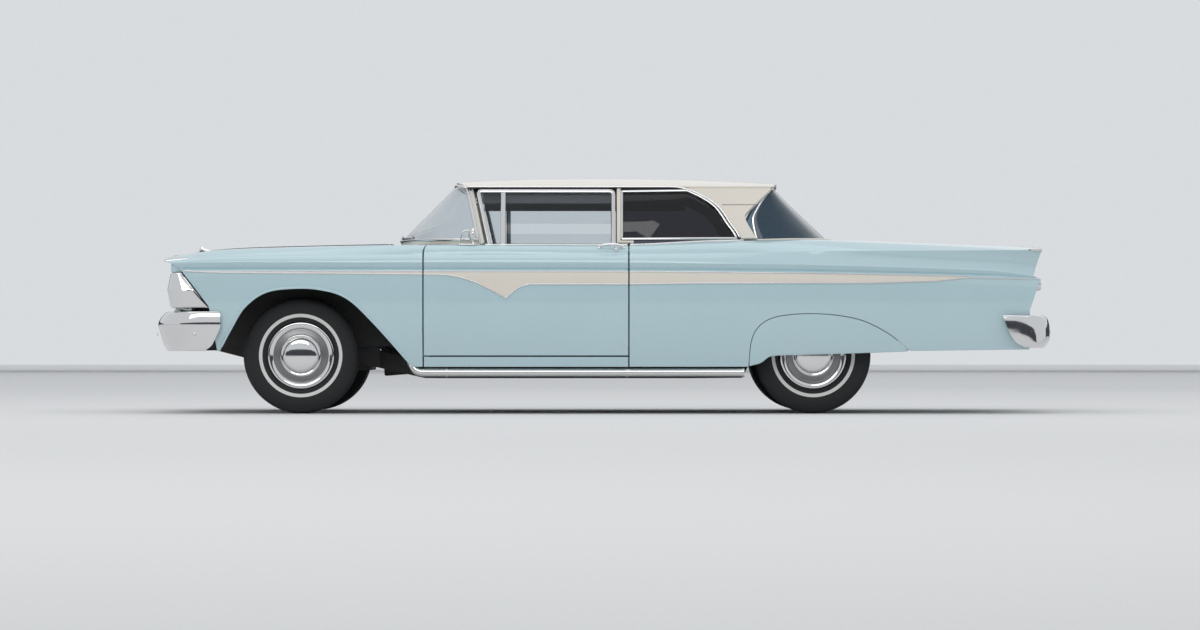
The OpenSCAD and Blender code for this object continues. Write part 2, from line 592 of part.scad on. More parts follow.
module floor_pan() color("gray") {
    difference() {
        union() {
            across(-floor_y, floor_y) polygon(strip([[toe_x, floor_z + toe_rise], [door_f - rail_w, floor_z],
                [kick_x, floor_z]], [0, floor_t]));
            across(-tub_y, tub_y) polygon(strip([[kick_x + over, floor_z], [kick_x, floor_z],
                [axle_r + rail_bend * 1.5, kick_top], [axle_r - rail_bend * 1.3, kick_top],
                [axle_r - rail_bend * 2.3, trunk_floor_z], [axle_r - rail_bend * 2.5, trunk_floor_z]],
                [0, floor_t]));
            across(-trunk_floor_y, trunk_floor_y) polygon(strip([[axle_r - rail_bend * 2.4, trunk_floor_z],
                [x_tail + rail_end * 1.15, trunk_floor_z]], [0, floor_t]));
            intersection() {
                tunnel(tub_t);
                translate([kick_x, -bell_r * 2, floor_z]) cube([toe_x - kick_x, bell_r * 4, bell_r * 4]);
            }
        }
        tunnel(0);
    }
    left_and_right() translate([axle_r, tub_y - tub_t, axle_z]) rotate([-90, 0, 0]) difference() {
        cylinder(r = tub_r, h = tub_w);
        translate([0, 0, tub_t]) cylinder(r = tub_r - tub_t, h = tub_w);
        translate([-tub_r - over, axle_z - kick_top, -over])
            cube([2 * tub_r + 2 * over, 2 * tub_r, tub_w + 2 * over]);
    }
}

// Cowl: fire wall, cowl plate, hinge posts with the pins of doors and hood
wall_t = 14;
cowl_front = hood_rear - lid_gap;
cowl_drop = 16;
cowl_z = belt_z - cowl_drop;
post_size = [70, 40];
post_in = 110;
post_y = hinge_y - post_in;
wall_low = floor_z + toe_rise + floor_t + seat;
post_low = sill_z + rocker_h + seat;
module cowl() color("lightblue") {
    plate_y = top(cowl_front)[0] - sheet - panel_gap;
    post_x = door_f - post_size[0] / 2;
    wall_h = cowl_z - wall_low - wall_t / 2;
    arm_w = hinge_lug_r * 0.8;
    translate([door_f + panel_gap, -plate_y, cowl_z - wall_t])
        cube([cowl_front - door_f - panel_gap, 2 * plate_y, wall_t]);
    difference() {
        translate([toe_x + seat, -post_y - wall_t, wall_low]) cube([wall_t, 2 * (post_y + wall_t), wall_h]);
        tunnel(0);
    }
    left_and_right() {
        translate([post_x, post_y, post_low]) cube([post_size[0], post_size[1], cowl_z - post_low - wall_t / 2]);
        translate([door_f, post_y, wall_low]) cube([toe_x - door_f + wall_t, wall_t, wall_h]);
        translate([door_f + panel_gap, plate_y - over, cowl_z - wall_t])
            cube([toe_x - door_f, post_y - plate_y + wall_t, wall_t / 2]);
        // Hinge arms lead inwards first, so that the door's front flange can swing behind the fender
        for (s = hinge_z_shares) translate([0, 0, s * roof_h - strap_h / 2 - seat - wall_t]) {
            translate([hinge_x, hinge_y, 0]) cylinder(r = hinge_lug_r, h = wall_t);
            translate([hinge_x, hinge_y, 0]) cylinder(r = hinge_pin_r, h = wall_t + seat + strap_h);
            linear_extrude(wall_t) polygon([[hinge_x - arm_w, hinge_y], [hinge_x + arm_w, hinge_y],
                [hinge_x + arm_w, post_y + post_size[1] * 0.7], [post_x + over, post_y + post_size[1] * 0.7],
                [post_x + over, post_y + over], [hinge_x - arm_w, post_y + over]]);
        }
        hinge_pin_block(hood_hinge_x, hood_hinge_y, hood_hinge_z, lug_r * 3);
        translate([cowl_front - wall_t, hood_hinge_y - lug_w / 2 - seat - pin_len, hood_hinge_z - lug_r * 3])
            cube([hood_hinge_x - cowl_front + wall_t, pin_len, lug_r * 2]);
    }
}

// Engine bay: aprons beside the engine, wheel house roofs that carry the fenders, and the radiator bulkhead
apron_y = half_w * 0.4442;
apron_t = 8;
apron_low = rail_front_z + rail_h + seat;
house_z = roof_h * 0.5634;
bulkhead_x = x_nose - front_overhang * 0.2948;
bulkhead_t = 24;
house_n = 24;
arm_root = 90;
arm_room = 20;
module engine_bay() color("dimgray") {
    x0 = toe_x + wall_t + 2 * seat;
    left_and_right() {
        difference() {
            translate([x0, apron_y - apron_t, apron_low])
                cube([bulkhead_x - x0 + over, apron_t, house_z - apron_low + over]);
            translate([axle_f - arm_root - arm_room, 0, 0]) cube([2 * (arm_root + arm_room), half_w, bulge_z]);
        }
        translate([0, 0, house_z]) linear_extrude(apron_t) polygon(concat(
            [[bulkhead_x + over, apron_y - apron_t], [x0, apron_y - apron_t]],
            [for (i = [0:house_n]) let (x = mix(x0, bulkhead_x + over, i / house_n))
                [x, side_y(x, house_z) - sheet - 4 * seat]]));
    }
    w = side_y(bulkhead_x + bulkhead_t, house_z) - sheet - panel_gap * 8;
    low = rail_nose_z + rail_h + seat;
    translate([bulkhead_x, -w, low]) cube([bulkhead_t, 2 * w, house_z + apron_t - low]);
}

// Nose: bright grille with horizontal bars, end caps and lamp rings
grille_front = x_nose - front_overhang * 0.127;
grille_d = front_overhang * 0.0794;
grille_low = roof_h * 0.4423;
grille_high = roof_h * 0.5887;
grille_y = half_w * 0.8292;
lamp_d = (grille_high - grille_low) * lamp_share;
grille_edge = 16;
grille_bars = 7;
bar_h = 6;
lamp_y_shares = [0.50, 0.68];
lamp_ring = 14;
lamp_z = (grille_low + grille_high) / 2;
stay_y = half_w * 0.4;
// Bright end caps round the corners, from the grille to the front edges of the fenders, with a level peak
cap_rows = 4;
cap_cols = 6;
cap_peak = 20;
cap_square = 3;
function edge_line(t, j) = mix(edge_share(t, floor(j)), edge_share(t, ceil(j)), j - floor(j));
function fender_front(z) = let (crease = body_z(x_nose - front_overhang * nose_shares[2], CREASE_Z))
    x_nose - front_overhang * edge_line(nose_shares, n_low * (z - nose_z) / (crease - nose_z));
module end_cap() {
    function face(off) = [for (i = [0:cap_rows]) let (
            t = i / cap_rows, z = mix(grille_low, grille_high, t), x0 = fender_front(z) + panel_gap,
            y1 = grille_y - over, peak = cap_peak * (1 - abs(2 * t - 1)))
        [for (j = [0:cap_cols]) let (o = oval(90 * (1 - j / cap_cols), cap_square))
            [x0 + (grille_front + peak - off - x0) * o[1], y1 + (side_y(x0, z) + peak - off - y1) * o[0], z]]];
    shell(face(0), face(sheet));
}
// Painted panel from the top of the grille to the front edge of the hood
nose_rows = 3;
module nose_panel() {
    foot = [grille_front - grille_d * 0.15, grille_high + seat];
    head = x_nose - hood_nose_set - panel_gap;
    function face(off) = [for (i = [0:nose_rows]) [for (j = [-lid_rows:lid_rows]) let (
            t = i / nose_rows, y = grille_y * j / lid_rows, u = min(1, abs(y) / (top(head)[0] - panel_gap)),
            high = top(head)[1] + hood_crown * (1 - u * u) - sheet - panel_gap)
        [mix(foot[0], head, t * t) - off, y, mix(foot[1], high, t)]]];
    color("lightblue") shell(face(0), face(sheet));
}
module grille() color("silver") {
    left_and_right() end_cap();
    translate([grille_front - grille_d, -grille_y, grille_low]) difference() {
        cube([grille_d, 2 * grille_y, grille_high - grille_low]);
        translate([-over, grille_edge, grille_edge])
            cube([grille_d + 2 * over, 2 * (grille_y - grille_edge), grille_high - grille_low - 2 * grille_edge]);
    }
    pitch = (grille_high - grille_low) / (grille_bars + 1);
    for (i = [1:grille_bars])
        translate([grille_front - grille_d * 0.7, -grille_y + over, grille_low + pitch * i - bar_h / 2])
            cube([grille_d * 0.5, 2 * grille_y - 2 * over, bar_h]);
    back_x = bulkhead_x + bulkhead_t + seat;
    left_and_right() for (z = [grille_low, grille_high - grille_edge])
        translate([back_x, stay_y - grille_edge, z])
            cube([grille_front - grille_d - back_x + over, 2 * grille_edge, grille_edge]);
}
module headlamps() color("white") for (s = [-1, 1]) for (f = lamp_y_shares)
    translate([grille_front - grille_d * 0.2 + seat, s * f * half_w, lamp_z]) rotate([0, 90, 0])
        cylinder(d = lamp_d, h = grille_d * 0.4);

// Half oval in plan from one side to the other: forward and sideways shares at angle a, squarer as square grows
function oval(a, square) = [pow(cos(a), 2 / square), sign(a) * pow(abs(sin(a)), 2 / square)];
// Bumper swept round the end of the car: profile of [inset, height, cut of the end] corners from the foot up
bumper_n = 16;
bumper_t = 6;
// Share of the profile's depth that is left round the side
wrap_share = 0.25;
module bumper(x0, reach, side, square, profile) {
    function face(off) = [for (i = [0:bumper_n]) let (o = oval(mix(-90, 90, i / bumper_n), square))
        [for (p = profile) [x0 + p[2] + (reach - p[0] - p[2] - off) * o[0],
            (side - p[0] * wrap_share - off) * o[1], p[1]]]];
    shell(back(face(0)), back(face(bumper_t)));
}
function bumper_rows(shares, size, low, reach) = [for (p = shares)
    [p[0] * size[0], low + p[1] * size[1], p[2] * reach]];
bumper_f_back = front_overhang * 0.4875;
bumper_f_low = roof_h * 0.262;
bumper_f_size = [front_overhang * 0.0703, roof_h * 0.1648];
// Profiles as shares of the bumper's depth, height and reach
bumper_f_shares = [[1, 0, 0.25], [0.645, 0.128, 0.15], [0.129, 0.581, 0.03], [0, 0.709, 0.03],
    [0.484, 0.915, 0.035], [0.935, 1, 0.04]];
bumper_f_square = 4.5;
bumper_side = half_w * 0.99;
stay_t = 40;
module bumper_front() color("silver") {
    bumper(x_nose - bumper_f_back, bumper_f_back, bumper_side, bumper_f_square,
        bumper_rows(bumper_f_shares, bumper_f_size, bumper_f_low, bumper_f_back));
    left_and_right() translate([x_nose - rail_end + seat, rail_front_y, rail_nose_z + rail_h - stay_t])
        cube([rail_end - seat - bumper_f_size[0] * 0.3, rail_w, stay_t]);
}
bumper_r_back = rear_overhang * 0.2313;
bumper_r_low = roof_h * 0.2761;
bumper_r_size = [rear_overhang * 0.028, roof_h * 0.1352];
bumper_r_shares = [[1, 0, 0.46], [0.25, 0.135, 0.29], [0, 0.365, 0.19], [0, 0.687, 0.11],
    [0.3, 0.927, 0.06], [1, 1, 0.04]];
bumper_r_square = 5;
module bumper_rear() color("silver") mirror([1, 0, 0]) {
    bumper(x_nose - bumper_r_back, bumper_r_back, bumper_side, bumper_r_square,
        bumper_rows(bumper_r_shares, bumper_r_size, bumper_r_low, bumper_r_back));
    left_and_right() translate([x_nose - rail_end + seat, rail_rear_y, rail_rear_z + stay_t])
        cube([rail_end - seat - bumper_t / 2, rail_w, stay_t]);
}

// Tail panel and lamps
tail_x = x_tail + rear_overhang * 0.1226;
tail_t = 14;
tail_lamp_d = roof_h * 0.1056;
tail_lamp_y_shares = [0.52, 0.71];
tail_lamp_z = roof_h * 0.493;
tail_high = roof_h * 0.6796;
module tail_panel() color("lightblue") {
    w = body_y(tail_x, FIN_Y) - quarter_wall - panel_gap * 5;
    low = trunk_floor_z + floor_t + seat;
    mid = top(tail_x)[0] - panel_gap * 2;
    translate([tail_x, -w, low]) cube([tail_t, 2 * w, top(tail_x)[1] - quarter_wall - panel_gap - low]);
    translate([tail_x, -mid, low]) cube([tail_t, 2 * mid, tail_high - low]);
}
module tail_lamps() color("red") for (s = [-1, 1]) for (f = tail_lamp_y_shares)
    translate([tail_x - seat, s * f * half_w, tail_lamp_z]) rotate([0, -90, 0])
        cylinder(d = tail_lamp_d, h = tail_t * 3);

// Roof with pillars and the bar under the windshield
roof_rail_z = belt_z + window_h + panel_gap + sheet;
roof_half = glass_base_y - tan(glass_lean) * (roof_rail_z - belt_z);
roof_front = door_at(0.204);
roof_rear = axle_r + body_len * 0.0439;
roof_xs = 9;
roof_rows = 7;
header_bow = body_len * 0.0142;
roof_end_drop = roof_h * 0.0197;
// How far the roof's edge stands out over the side glass
eave = 6;
// Crown height above the rails at share t of the roof's length
function roof_crown(t) = roof_h - roof_rail_z - roof_end_drop * pow(abs(2 * t - 1.1), 2.2);
function roof_point(t, v) = let (
        x0 = roof_rear - header_bow * 0.55 * (1 - v * v) * (1 - t),
        x1 = roof_front + header_bow * (1 - pow(abs(v), 2.4)))
    [mix(x0, x1, t), v * (roof_half + eave), roof_rail_z + roof_crown(t) * (1 - pow(abs(v), 2.6))];
module roof_shell() {
    function face(on) = [for (i = [0:roof_xs]) [for (j = [-roof_rows:roof_rows]) let (v = -j / roof_rows)
        roof_point(i / roof_xs, v) - [0, 0, on * mix(roof_wall, sheet, v * v)]]];
    shell(face(0), face(1));
}
// Rear pillar outline on the glass plane: place behind the door as a share of its length, height of the window's
pillar_shares = [[0.296, 1.05], [0.296, 0.985], [0.43, 0.72], [0.50, 0.38], [0.548, 0.119], [0.626, 0.128],
    [0.568, 0.51], [0.694, 0.98], [0.694, 1.05]];
pillar_t = 40;
module rear_pillar() on_glass_plane() linear_extrude(pillar_t) polygon([for (p = pillar_shares)
    [door_r - door_len * p[0], window_h * up * p[1]]]);
// Windshield edges: half ovals from one front pillar to the other, as [rear end, reach, half width, height]
ws_base = [door_at(0.262), body_len * 0.0905, half_w * 0.855, belt_z + roof_h * 0.024];
ws_top = [door_at(0.207), body_len * 0.0153, half_w * 0.7285, roof_rail_z - roof_h * 0.007];
ws_top_rise = roof_h * 0.0134;
ws_square = 2.6;
function ws_point(a, t, off) = let (
        o = oval(a, ws_square),
        low = [ws_base[0] + (ws_base[1] - off) * o[0], (ws_base[2] - off) * o[1], ws_base[3]],
        high = [ws_top[0] + (ws_top[1] - off) * o[0], (ws_top[2] - off) * o[1], ws_top[3] + ws_top_rise * o[0]])
    mix(low, high, t);
ws_n = 16;
ws_rows = 4;
module windshield() {
    function face(off) = [for (i = [0:ws_n]) [for (j = [0:ws_rows])
        ws_point(mix(-90, 90, i / ws_n), j / ws_rows, off)]];
    color([0.6, 0.7, 0.72, 0.4]) shell(back(face(0)), back(face(glass_t)));
}
base_bar_w = 26;
base_bar_n = 14;
module base_bar_block(a) {
    p = ws_point(a, 0, base_bar_w / 2);
    low = p[0] < door_f + panel_gap * 2 + base_bar_w ? belt_z + panel_gap : cowl_z + seat;
    translate([p[0] - base_bar_w / 2, p[1] - base_bar_w / 2, low])
        cube([base_bar_w, base_bar_w, ws_base[3] - seat - low]);
}
a_post = [34, 34];
// Foot of the front pillar along the windshield's edge: share t of the way up the glass
module a_post_block(t) {
    p = ws_point(90, t, 0);
    translate([p[0] - a_post[0] - seat, p[1] - a_post[1], p[2]]) cube([a_post[0], a_post[1], over]);
}
function ws_share(z) = (z - ws_base[3]) / (ws_top[3] - ws_base[3]);
module a_pillar() hull() {
    a_post_block(ws_share(belt_z + panel_gap));
    a_post_block(ws_share(roof_rail_z + sheet / 2));
}
// Door post behind the door glass: its foot reaches back over the door's top to the quarter panel
foot_h = 14;
foot_len = 100;
module b_post() on_glass_plane() linear_extrude(frame_t) {
    x = door_at(window_rear_share) - panel_gap;
    step = door_r - panel_gap * 1.5;
    low = panel_gap + glass_lift;
    high = (roof_rail_z - belt_z + sheet / 2) * up;
    polygon([[x, low], [x, high], [x - frame_w, high], [x - frame_w, low + foot_h], [x - foot_len, low + foot_h],
        [x - foot_len, glass_lift + over], [step, glass_lift + over], [step, low]]);
}
module roof() color("linen") {
    roof_shell();
    left_and_right() {
        rear_pillar();
        a_pillar();
        b_post();
    }
    for (i = [0:base_bar_n - 1]) hull() {
        base_bar_block(mix(-90, 90, i / base_bar_n));
        base_bar_block(mix(-90, 90, (i + 1) / base_bar_n));
    }
}

// Rear window wrapping round to the rear pillars: its side edges reach furthest forward at mid height
rw_base = [axle_r + body_len * 0.0607, body_len * 0.0821, half_w * 0.78];
rw_top = [axle_r + body_len * 0.0489, body_len * 0.0084, half_w * 0.7048, roof_rail_z - roof_h * 0.0127];
rw_rise = roof_h * 0.0085;
rw_n = 14;
rw_rows = 6;
rw_edge = body_len * 0.0112;
function rw_point(a, t, off) = let (
        o = oval(a, ws_square),
        x = rw_base[0] - (rw_base[1] - off) * o[0], y = (rw_base[2] - off) * o[1],
        low = [x, y, lid_point(x, y / top(x)[0], trunk_crown)[2] + over],
        high = [rw_top[0] - (rw_top[1] - off) * o[0], (rw_top[2] - off) * o[1], rw_top[3] + rw_rise * o[0]],
        p = mix(low, high, t))
    p + [rw_edge * (1 - pow(abs(2 * t - 0.9), 1.4)) * pow(abs(sin(a)), 6), 0, 0];
module rear_window() {
    function face(off) = [for (i = [0:rw_n]) [for (j = [0:rw_rows])
        rw_point(mix(-90, 90, i / rw_n), j / rw_rows, off)]];
    color([0.3, 0.35, 0.38, 0.5]) shell(face(0), face(glass_t));
}
// Quarter glass behind the door, with a curved rear edge that follows the rear pillar
quarter_glass_shares = [[0, 0.095], [0, 0.97], [0.21, 0.97], [0.29, 0.83], [0.35, 0.68], [0.42, 0.36],
    [0.458, 0.12], [0.29, 0.105]];
quarter_glass_x = door_at(window_rear_share) - panel_gap - frame_w - seat;
module quarter_glass() color([0.2, 0.2, 0.25, 0.6]) left_and_right() on_glass_plane()
    translate([0, 0, frame_t / 2]) linear_extrude(glass_t) polygon([for (p = quarter_glass_shares)
        [quarter_glass_x - door_len * p[0], window_h * up * p[1]]]);

// Bench seats: cushion and back as profiles carried across, in shares of the cushion's length and the back's height
seat_half = half_w * 0.681;
seat_gap = seat;
bench_len = body_len * 0.097;
bench_h = roof_h * 0.3944;
cushion_shares = [[0, 0], [0.92, 0.036], [1, 0.16], [0.94, 0.303], [0.115, 0.25], [0, 0.178]];
back_shares = [[0, 0.036], [0, 0.214], [0.077, 0.257], [-0.211, 1], [-0.365, 0.964], [-0.23, 0.036]];
module bench(x, z) translate([x, 0, z]) {
    across(-seat_half, seat_half) polygon(stretched(cushion_shares, [bench_len, bench_h]));
    translate([-seat_gap, 0, seat_gap]) across(-seat_half, seat_half)
        polygon(stretched(back_shares, [bench_len, bench_h]));
}
front_seat_x = door_f - body_len * 0.1587;
rear_seat_x = axle_r + body_len * 0.1045;
seat_leg = [40, 40, roof_h * 0.0676];
seat_rise = roof_h * 0.0507;
leg_shares = [0.115, 0.73];
module front_seat() color("slategray") {
    bench(front_seat_x, floor_z + floor_t + seat_rise);
    for (s = [-1, 1]) for (f = leg_shares)
        translate([front_seat_x + bench_len * f, s * seat_half * 0.7, floor_z + floor_t + seat]) cube(seat_leg);
}
riser_in = 90;
rear_sink = roof_h * 0.1127;
riser_bite = 10;
module rear_seat() color("slategray") {
    bench(rear_seat_x, kick_top - rear_sink);
    left_and_right() translate([rear_seat_x, riser_in, floor_z + floor_t + seat])
        cube([bench_len * 0.827, seat_half - riser_in, kick_top - rear_sink + riser_bite - floor_z - floor_t]);
}

// Dashboard and steering column
dash_set = 10;
dash_x = door_f + dash_set;
dash_half = half_w * 0.7404;
// Dashboard profile as shares of its depth and height, from the cowl plate down
dash_size = [body_len * 0.0392, roof_h * 0.162];
dash_shares = [[0.286, 0], [-0.619, -0.087], [-0.714, -0.435], [-0.286, -1], [0.286, -1]];
column_tilt = 28;
column_len = body_len * 0.1045;
column_r = 22;
shaft_r = 10;
shaft_len = 60;
shaft_end = 10;
wheel_center = [door_f - body_len * 0.0747, seat_half * 0.551, roof_h * 0.6056];
module on_column() translate(wheel_center) rotate([0, -90 + column_tilt, 0]) children();
module dashboard() color("lightblue") {
    across(-dash_half, dash_half) polygon([for (p = stretched(dash_shares, dash_size))
        p + [dash_x, cowl_z - wall_t - seat]]);
    translate([dash_x - dash_size[0] / 2, wheel_center[1] - column_r / 2, cowl_z - dash_size[1] * 1.3])
        cube([column_r, column_r, dash_size[1] * 0.57]);
    on_column() translate([0, 0, -column_len]) cylinder(r = column_r, h = column_len - shaft_len / 2);
    on_column() translate([0, 0, -shaft_len]) cylinder(r = shaft_r, h = shaft_len + shaft_end);
}
rim_tube = 11;
hub_r = 34;
hub_h = 36;
spoke_w = 24;
spoke_t = 10;
module steering_wheel() color("ivory") on_column() {
    rotate_extrude() translate([steering_wheel_d / 2 - rim_tube, 0]) circle(r = rim_tube);
    difference() {
        translate([0, 0, -hub_h / 3]) cylinder(r = hub_r, h = hub_h);
        translate([0, 0, -hub_h]) cylinder(r = shaft_r + run, h = hub_h + shaft_end + run);
    }
    for (a = [90, 270]) rotate([0, 0, a]) translate([hub_r - over, -spoke_w / 2, -spoke_t / 2])
        cube([steering_wheel_d / 2 - rim_tube - hub_r, spoke_w, spoke_t]);
}

// Powertrain: engine block, gearbox and propeller shaft
engine_size = [body_len * 0.1344, rail_front_y * 1.55, roof_h * 0.324];
engine_front = axle_f + body_len * 0.0485;
engine_low = rail_front_z + rail_h * 0.55 + seat;
gearbox_len = body_len * 0.0896;
gearbox_r = 104;
shaft_tube_r = 30;
diff_r = 125;
module powertrain() color("slategray") {
    translate([engine_front - engine_size[0], -engine_size[1] / 2, engine_low]) cube(engine_size);
    gearbox_x = engine_front - engine_size[0] - gearbox_len;
    translate([gearbox_x, 0, shaft_z]) rotate([0, 90, 0])
        cylinder(r1 = shaft_tube_r * 1.2, r2 = gearbox_r, h = gearbox_len + over);
    rear_x = axle_r + diff_r + seat;
    translate([rear_x, 0, shaft_z]) rotate([0, 90, 0]) cylinder(r = shaft_tube_r, h = gearbox_x - rear_x + over);
}

// Bright exhaust pipes along the sills
pipe_drop = 8;
sill_pipe_z = sill_z - sill_pipe_d / 2 - pipe_drop;
sill_pipe_y = body_y(0, WIDE) - sill_tuck - sill_pipe_d * 0.6;
pipe_front = door_f + body_len * 0.0075;
pipe_rear = axle_r + arch_unit * 0.60;
tip_r = sill_pipe_d * 0.58;
module exhaust() color("silver") {
    left_and_right() {
        translate([pipe_rear, sill_pipe_y, sill_pipe_z]) rotate([0, 90, 0]) difference() {
            union() {
                cylinder(d = sill_pipe_d, h = pipe_front - pipe_rear);
                cylinder(r = tip_r, h = tip_r);
            }
            translate([0, 0, -over]) cylinder(d = sill_pipe_d * 0.8, h = sill_pipe_d);
        }
        for (x = [door_at(0.123), door_r]) translate([x, sill_pipe_y - sill_pipe_d / 4, sill_pipe_z])
            cube([sill_pipe_d / 2, sill_pipe_d / 2, sill_z - sill_pipe_z - seat]);
    }
}
// Flat tank between the rear rails: two pressed halves with a flange
tank_size = [rear_overhang * 0.4345, rail_rear_y * 1.767, rail_h * 0.98];
tank_x = x_tail + rear_overhang * 0.2313;
tank_round = 60;
tank_lip = 12;
tank_lip_t = 6;
module tank_outline(grow) offset(r = tank_round + grow) translate([tank_round, tank_round])
    square([tank_size[0] - 2 * tank_round, tank_size[1] - 2 * tank_round]);
module fuel_tank() color("gray") translate([tank_x, -tank_size[1] / 2, trunk_floor_z - tank_size[2] - seat]) {
    linear_extrude(tank_size[2]) tank_outline(0);
    translate([0, 0, (tank_size[2] - tank_lip_t) / 2]) linear_extrude(tank_lip_t) tank_outline(tank_lip);
}

// Front suspension: arms that hold the steering pins
king_in = 110;
king_y = track_f / 2 - king_in;
arm_t = 24;
arm_rise = 118;
arm_eye_r = 24;
arm_in = rail_front_y + rail_w + seat;
module arm(z) translate([axle_f, 0, z]) linear_extrude(arm_t) difference() {
    union() {
        translate([0, king_y]) circle(r = arm_eye_r);
        polygon([[-arm_root, arm_in], [arm_root, arm_in], [arm_eye_r, king_y], [-arm_eye_r, king_y]]);
    }
    translate([0, king_y]) circle(r = king_r + run);
}
module front_suspension() color("dimgray") left_and_right() {
    arm(axle_z + arm_rise);
    arm(axle_z - arm_rise - arm_t);
    translate([axle_f - arm_root, arm_in, axle_z - arm_rise - arm_t])
        cube([2 * arm_root, arm_t, 2 * (arm_rise + arm_t)]);
}
knuckle_gap = 0.3;
upright = [44, 36];
// Spindles end this far outside the tyre's middle, and the drums begin this far inside it
spindle_out = 18;
drum_depth = 56;
plate_r = rim_r * 0.6935;
plate_t = 8;
drum_gap = 5;
arm_len = 150;
module knuckle() color("gray") translate([axle_f, 0, axle_z]) {
    h = arm_rise - knuckle_gap;
    translate([-upright[0] / 2, king_y - upright[1] / 2, -h]) cube([upright[0], upright[1], 2 * h]);
    for (s = [-1, 1]) translate([0, king_y, s > 0 ? h - over : -h - arm_t - knuckle_gap])
        cylinder(r = king_r, h = arm_t + knuckle_gap + over);
    translate([0, king_y, 0]) rotate([-90, 0, 0]) cylinder(r = spindle_r, h = track_f / 2 + spindle_out - king_y);
    translate([0, track_f / 2 - drum_depth - drum_gap - plate_t, 0]) rotate([-90, 0, 0])
        cylinder(r = plate_r, h = plate_t);
    translate([-arm_len, king_y - upright[1] / 2, -upright[0]]) cube([arm_len, upright[1] / 2, upright[1] / 2]);
}

// Rear axle with differential, brake plates, leaf springs and spring seats
axle_tube_r = 38;
spring_y = half_w * 0.5281;
spring_w = 60;
spring_t = 30;
spring_half = body_len * 0.0728;
spring_bow = roof_h * 0.0704;
spring_n = 12;
shackle = [30, roof_h * 0.0669];
module rear_axle() color("dimgray") {
    end = track_r / 2 - drum_depth - drum_gap - plate_t;
    translate([axle_r, 0, axle_z]) {
        rotate([90, 0, 0]) cylinder(r = axle_tube_r, h = 2 * end, center = true);
        sphere(r = diff_r);
        left_and_right() {
            translate([0, end - over, 0]) rotate([-90, 0, 0]) cylinder(r = plate_r, h = plate_t + over);
            translate([0, end, 0]) rotate([-90, 0, 0]) cylinder(r = spindle_r, h = track_r / 2 + spindle_out - end);
        }
    }
    low = axle_z - axle_tube_r - seat;
    rail_out = rail_rear_y + rail_w + seat;
    left_and_right() {
        translate([axle_r, 0, low]) across(spring_y - spring_w / 2, spring_y + spring_w / 2)
            polygon(strip([for (i = [-spring_n:spring_n]) let (f = i / spring_n)
                [spring_half * f, spring_bow * f * f - spring_t]], [0, spring_t]));
        for (s = [-1, 1]) let (x = axle_r + s * (spring_half - shackle[0] / 2))
            translate([x - shackle[0] / 2, rail_out, low + spring_bow - spring_t])
                cube([shackle[0], spring_y + spring_w / 2 - rail_out, shackle[1]]);
    }
}

// Wheel turned about its axle: cover as shares of the flange radius and the cover's depth, then rim, drum and bore
cover_d = tyre_w * 0.255;
cover_in = tyre_w * 0.245;
cover_shares = [[0, 1], [0.20, 0.97], [0.42, 0.84], [0.52, 0.66], [0.54, 0.56], [0.60, 0.62], [0.635, 0.42],
    [0.80, 0.24], [0.83, 0.36], [0.93, 0.50], [1, 0.42], [1, 0.28]];
rim_half = tyre_w * 0.296;
rim_t = 12;
bead_share = 0.895;
drum_r = rim_r * 0.7286;
web_in = 10;
module wheel_turned() {
    bore_r = spindle_r + run;
    bead_r = rim_r * bead_share;
    rotate_extrude() polygon(concat([for (p = cover_shares) [rim_r * p[0], cover_in + cover_d * p[1]]],
        [[bead_r, rim_half], [bead_r, -rim_half], [rim_r, -rim_half - rim_t / 3], [rim_r, -rim_half - rim_t],
        [bead_r - rim_t, -rim_half], [bead_r - rim_t, -web_in], [drum_r, -web_in], [drum_r, -drum_depth],
        [bore_r, -drum_depth],
        [bore_r, spindle_r], [0, spindle_r]]));
}
module wheel(x, s, track) color("silver")
    translate([x, s * track / 2, axle_z]) rotate([s > 0 ? -90 : 90, 0, 0]) wheel_turned();
// Tyre section from bead to crown: shares of the height above the bead and of the half width
tyre_shares = [[0, 0.58], [0.125, 0.61], [0.16, 0.80], [0.24, 0.88], [0.36, 0.96], [0.52, 1], [0.70, 0.97],
    [0.86, 0.88], [0.955, 0.74], [1, 0.45]];
module tyre(x, s, track) color("black") translate([x, s * track / 2, axle_z]) rotate([90, 0, 0]) {
    low = rim_r * bead_share + seat;
    side = [for (p = tyre_shares) [mix(low, tyre_d / 2, p[0]), tyre_w / 2 * p[1]]];
    rotate_extrude($fn = 96) polygon(concat(side, back([for (p = side) [p[0], -p[1]]])));
}

frame();
floor_pan();
cowl();
engine_bay();
fender();  // fender_left
mirror([0, 1, 0]) fender();  // fender_right
hood();
nose_panel();
grille();
headlamps();
bumper_front();
bumper_rear();
left_and_right() rocker();  // rockers
quarter();  // quarter_left
mirror([0, 1, 0]) quarter();  // quarter_right
left_and_right() skirt();  // skirts
parcel_shelf();
tail_panel();
tail_lamps();
trunk_lid();
roof();
windshield();
rear_window();
quarter_glass();
door();  // door_left
mirror([0, 1, 0]) door();  // door_right
door_glass();  // door_glass_left
mirror([0, 1, 0]) door_glass();  // door_glass_right
door_trim(true);  // door_trim_left
mirror([0, 1, 0]) door_trim(false);  // door_trim_right
front_seat();
rear_seat();
dashboard();
steering_wheel();
powertrain();
exhaust();
fuel_tank();
front_suspension();
knuckle();  // knuckle_left
mirror([0, 1, 0]) knuckle();  // knuckle_right
rear_axle();
wheel(axle_f, 1, track_f);  // wheel_fl
wheel(axle_f, -1, track_f);  // wheel_fr
wheel(axle_r, 1, track_r);  // wheel_rl
wheel(axle_r, -1, track_r);  // wheel_rr
tyre(axle_f, 1, track_f);  // tyre_fl
tyre(axle_f, -1, track_f);  // tyre_fr
tyre(axle_r, 1, track_r);  // tyre_rl
tyre(axle_r, -1, track_r);  // tyre_rr
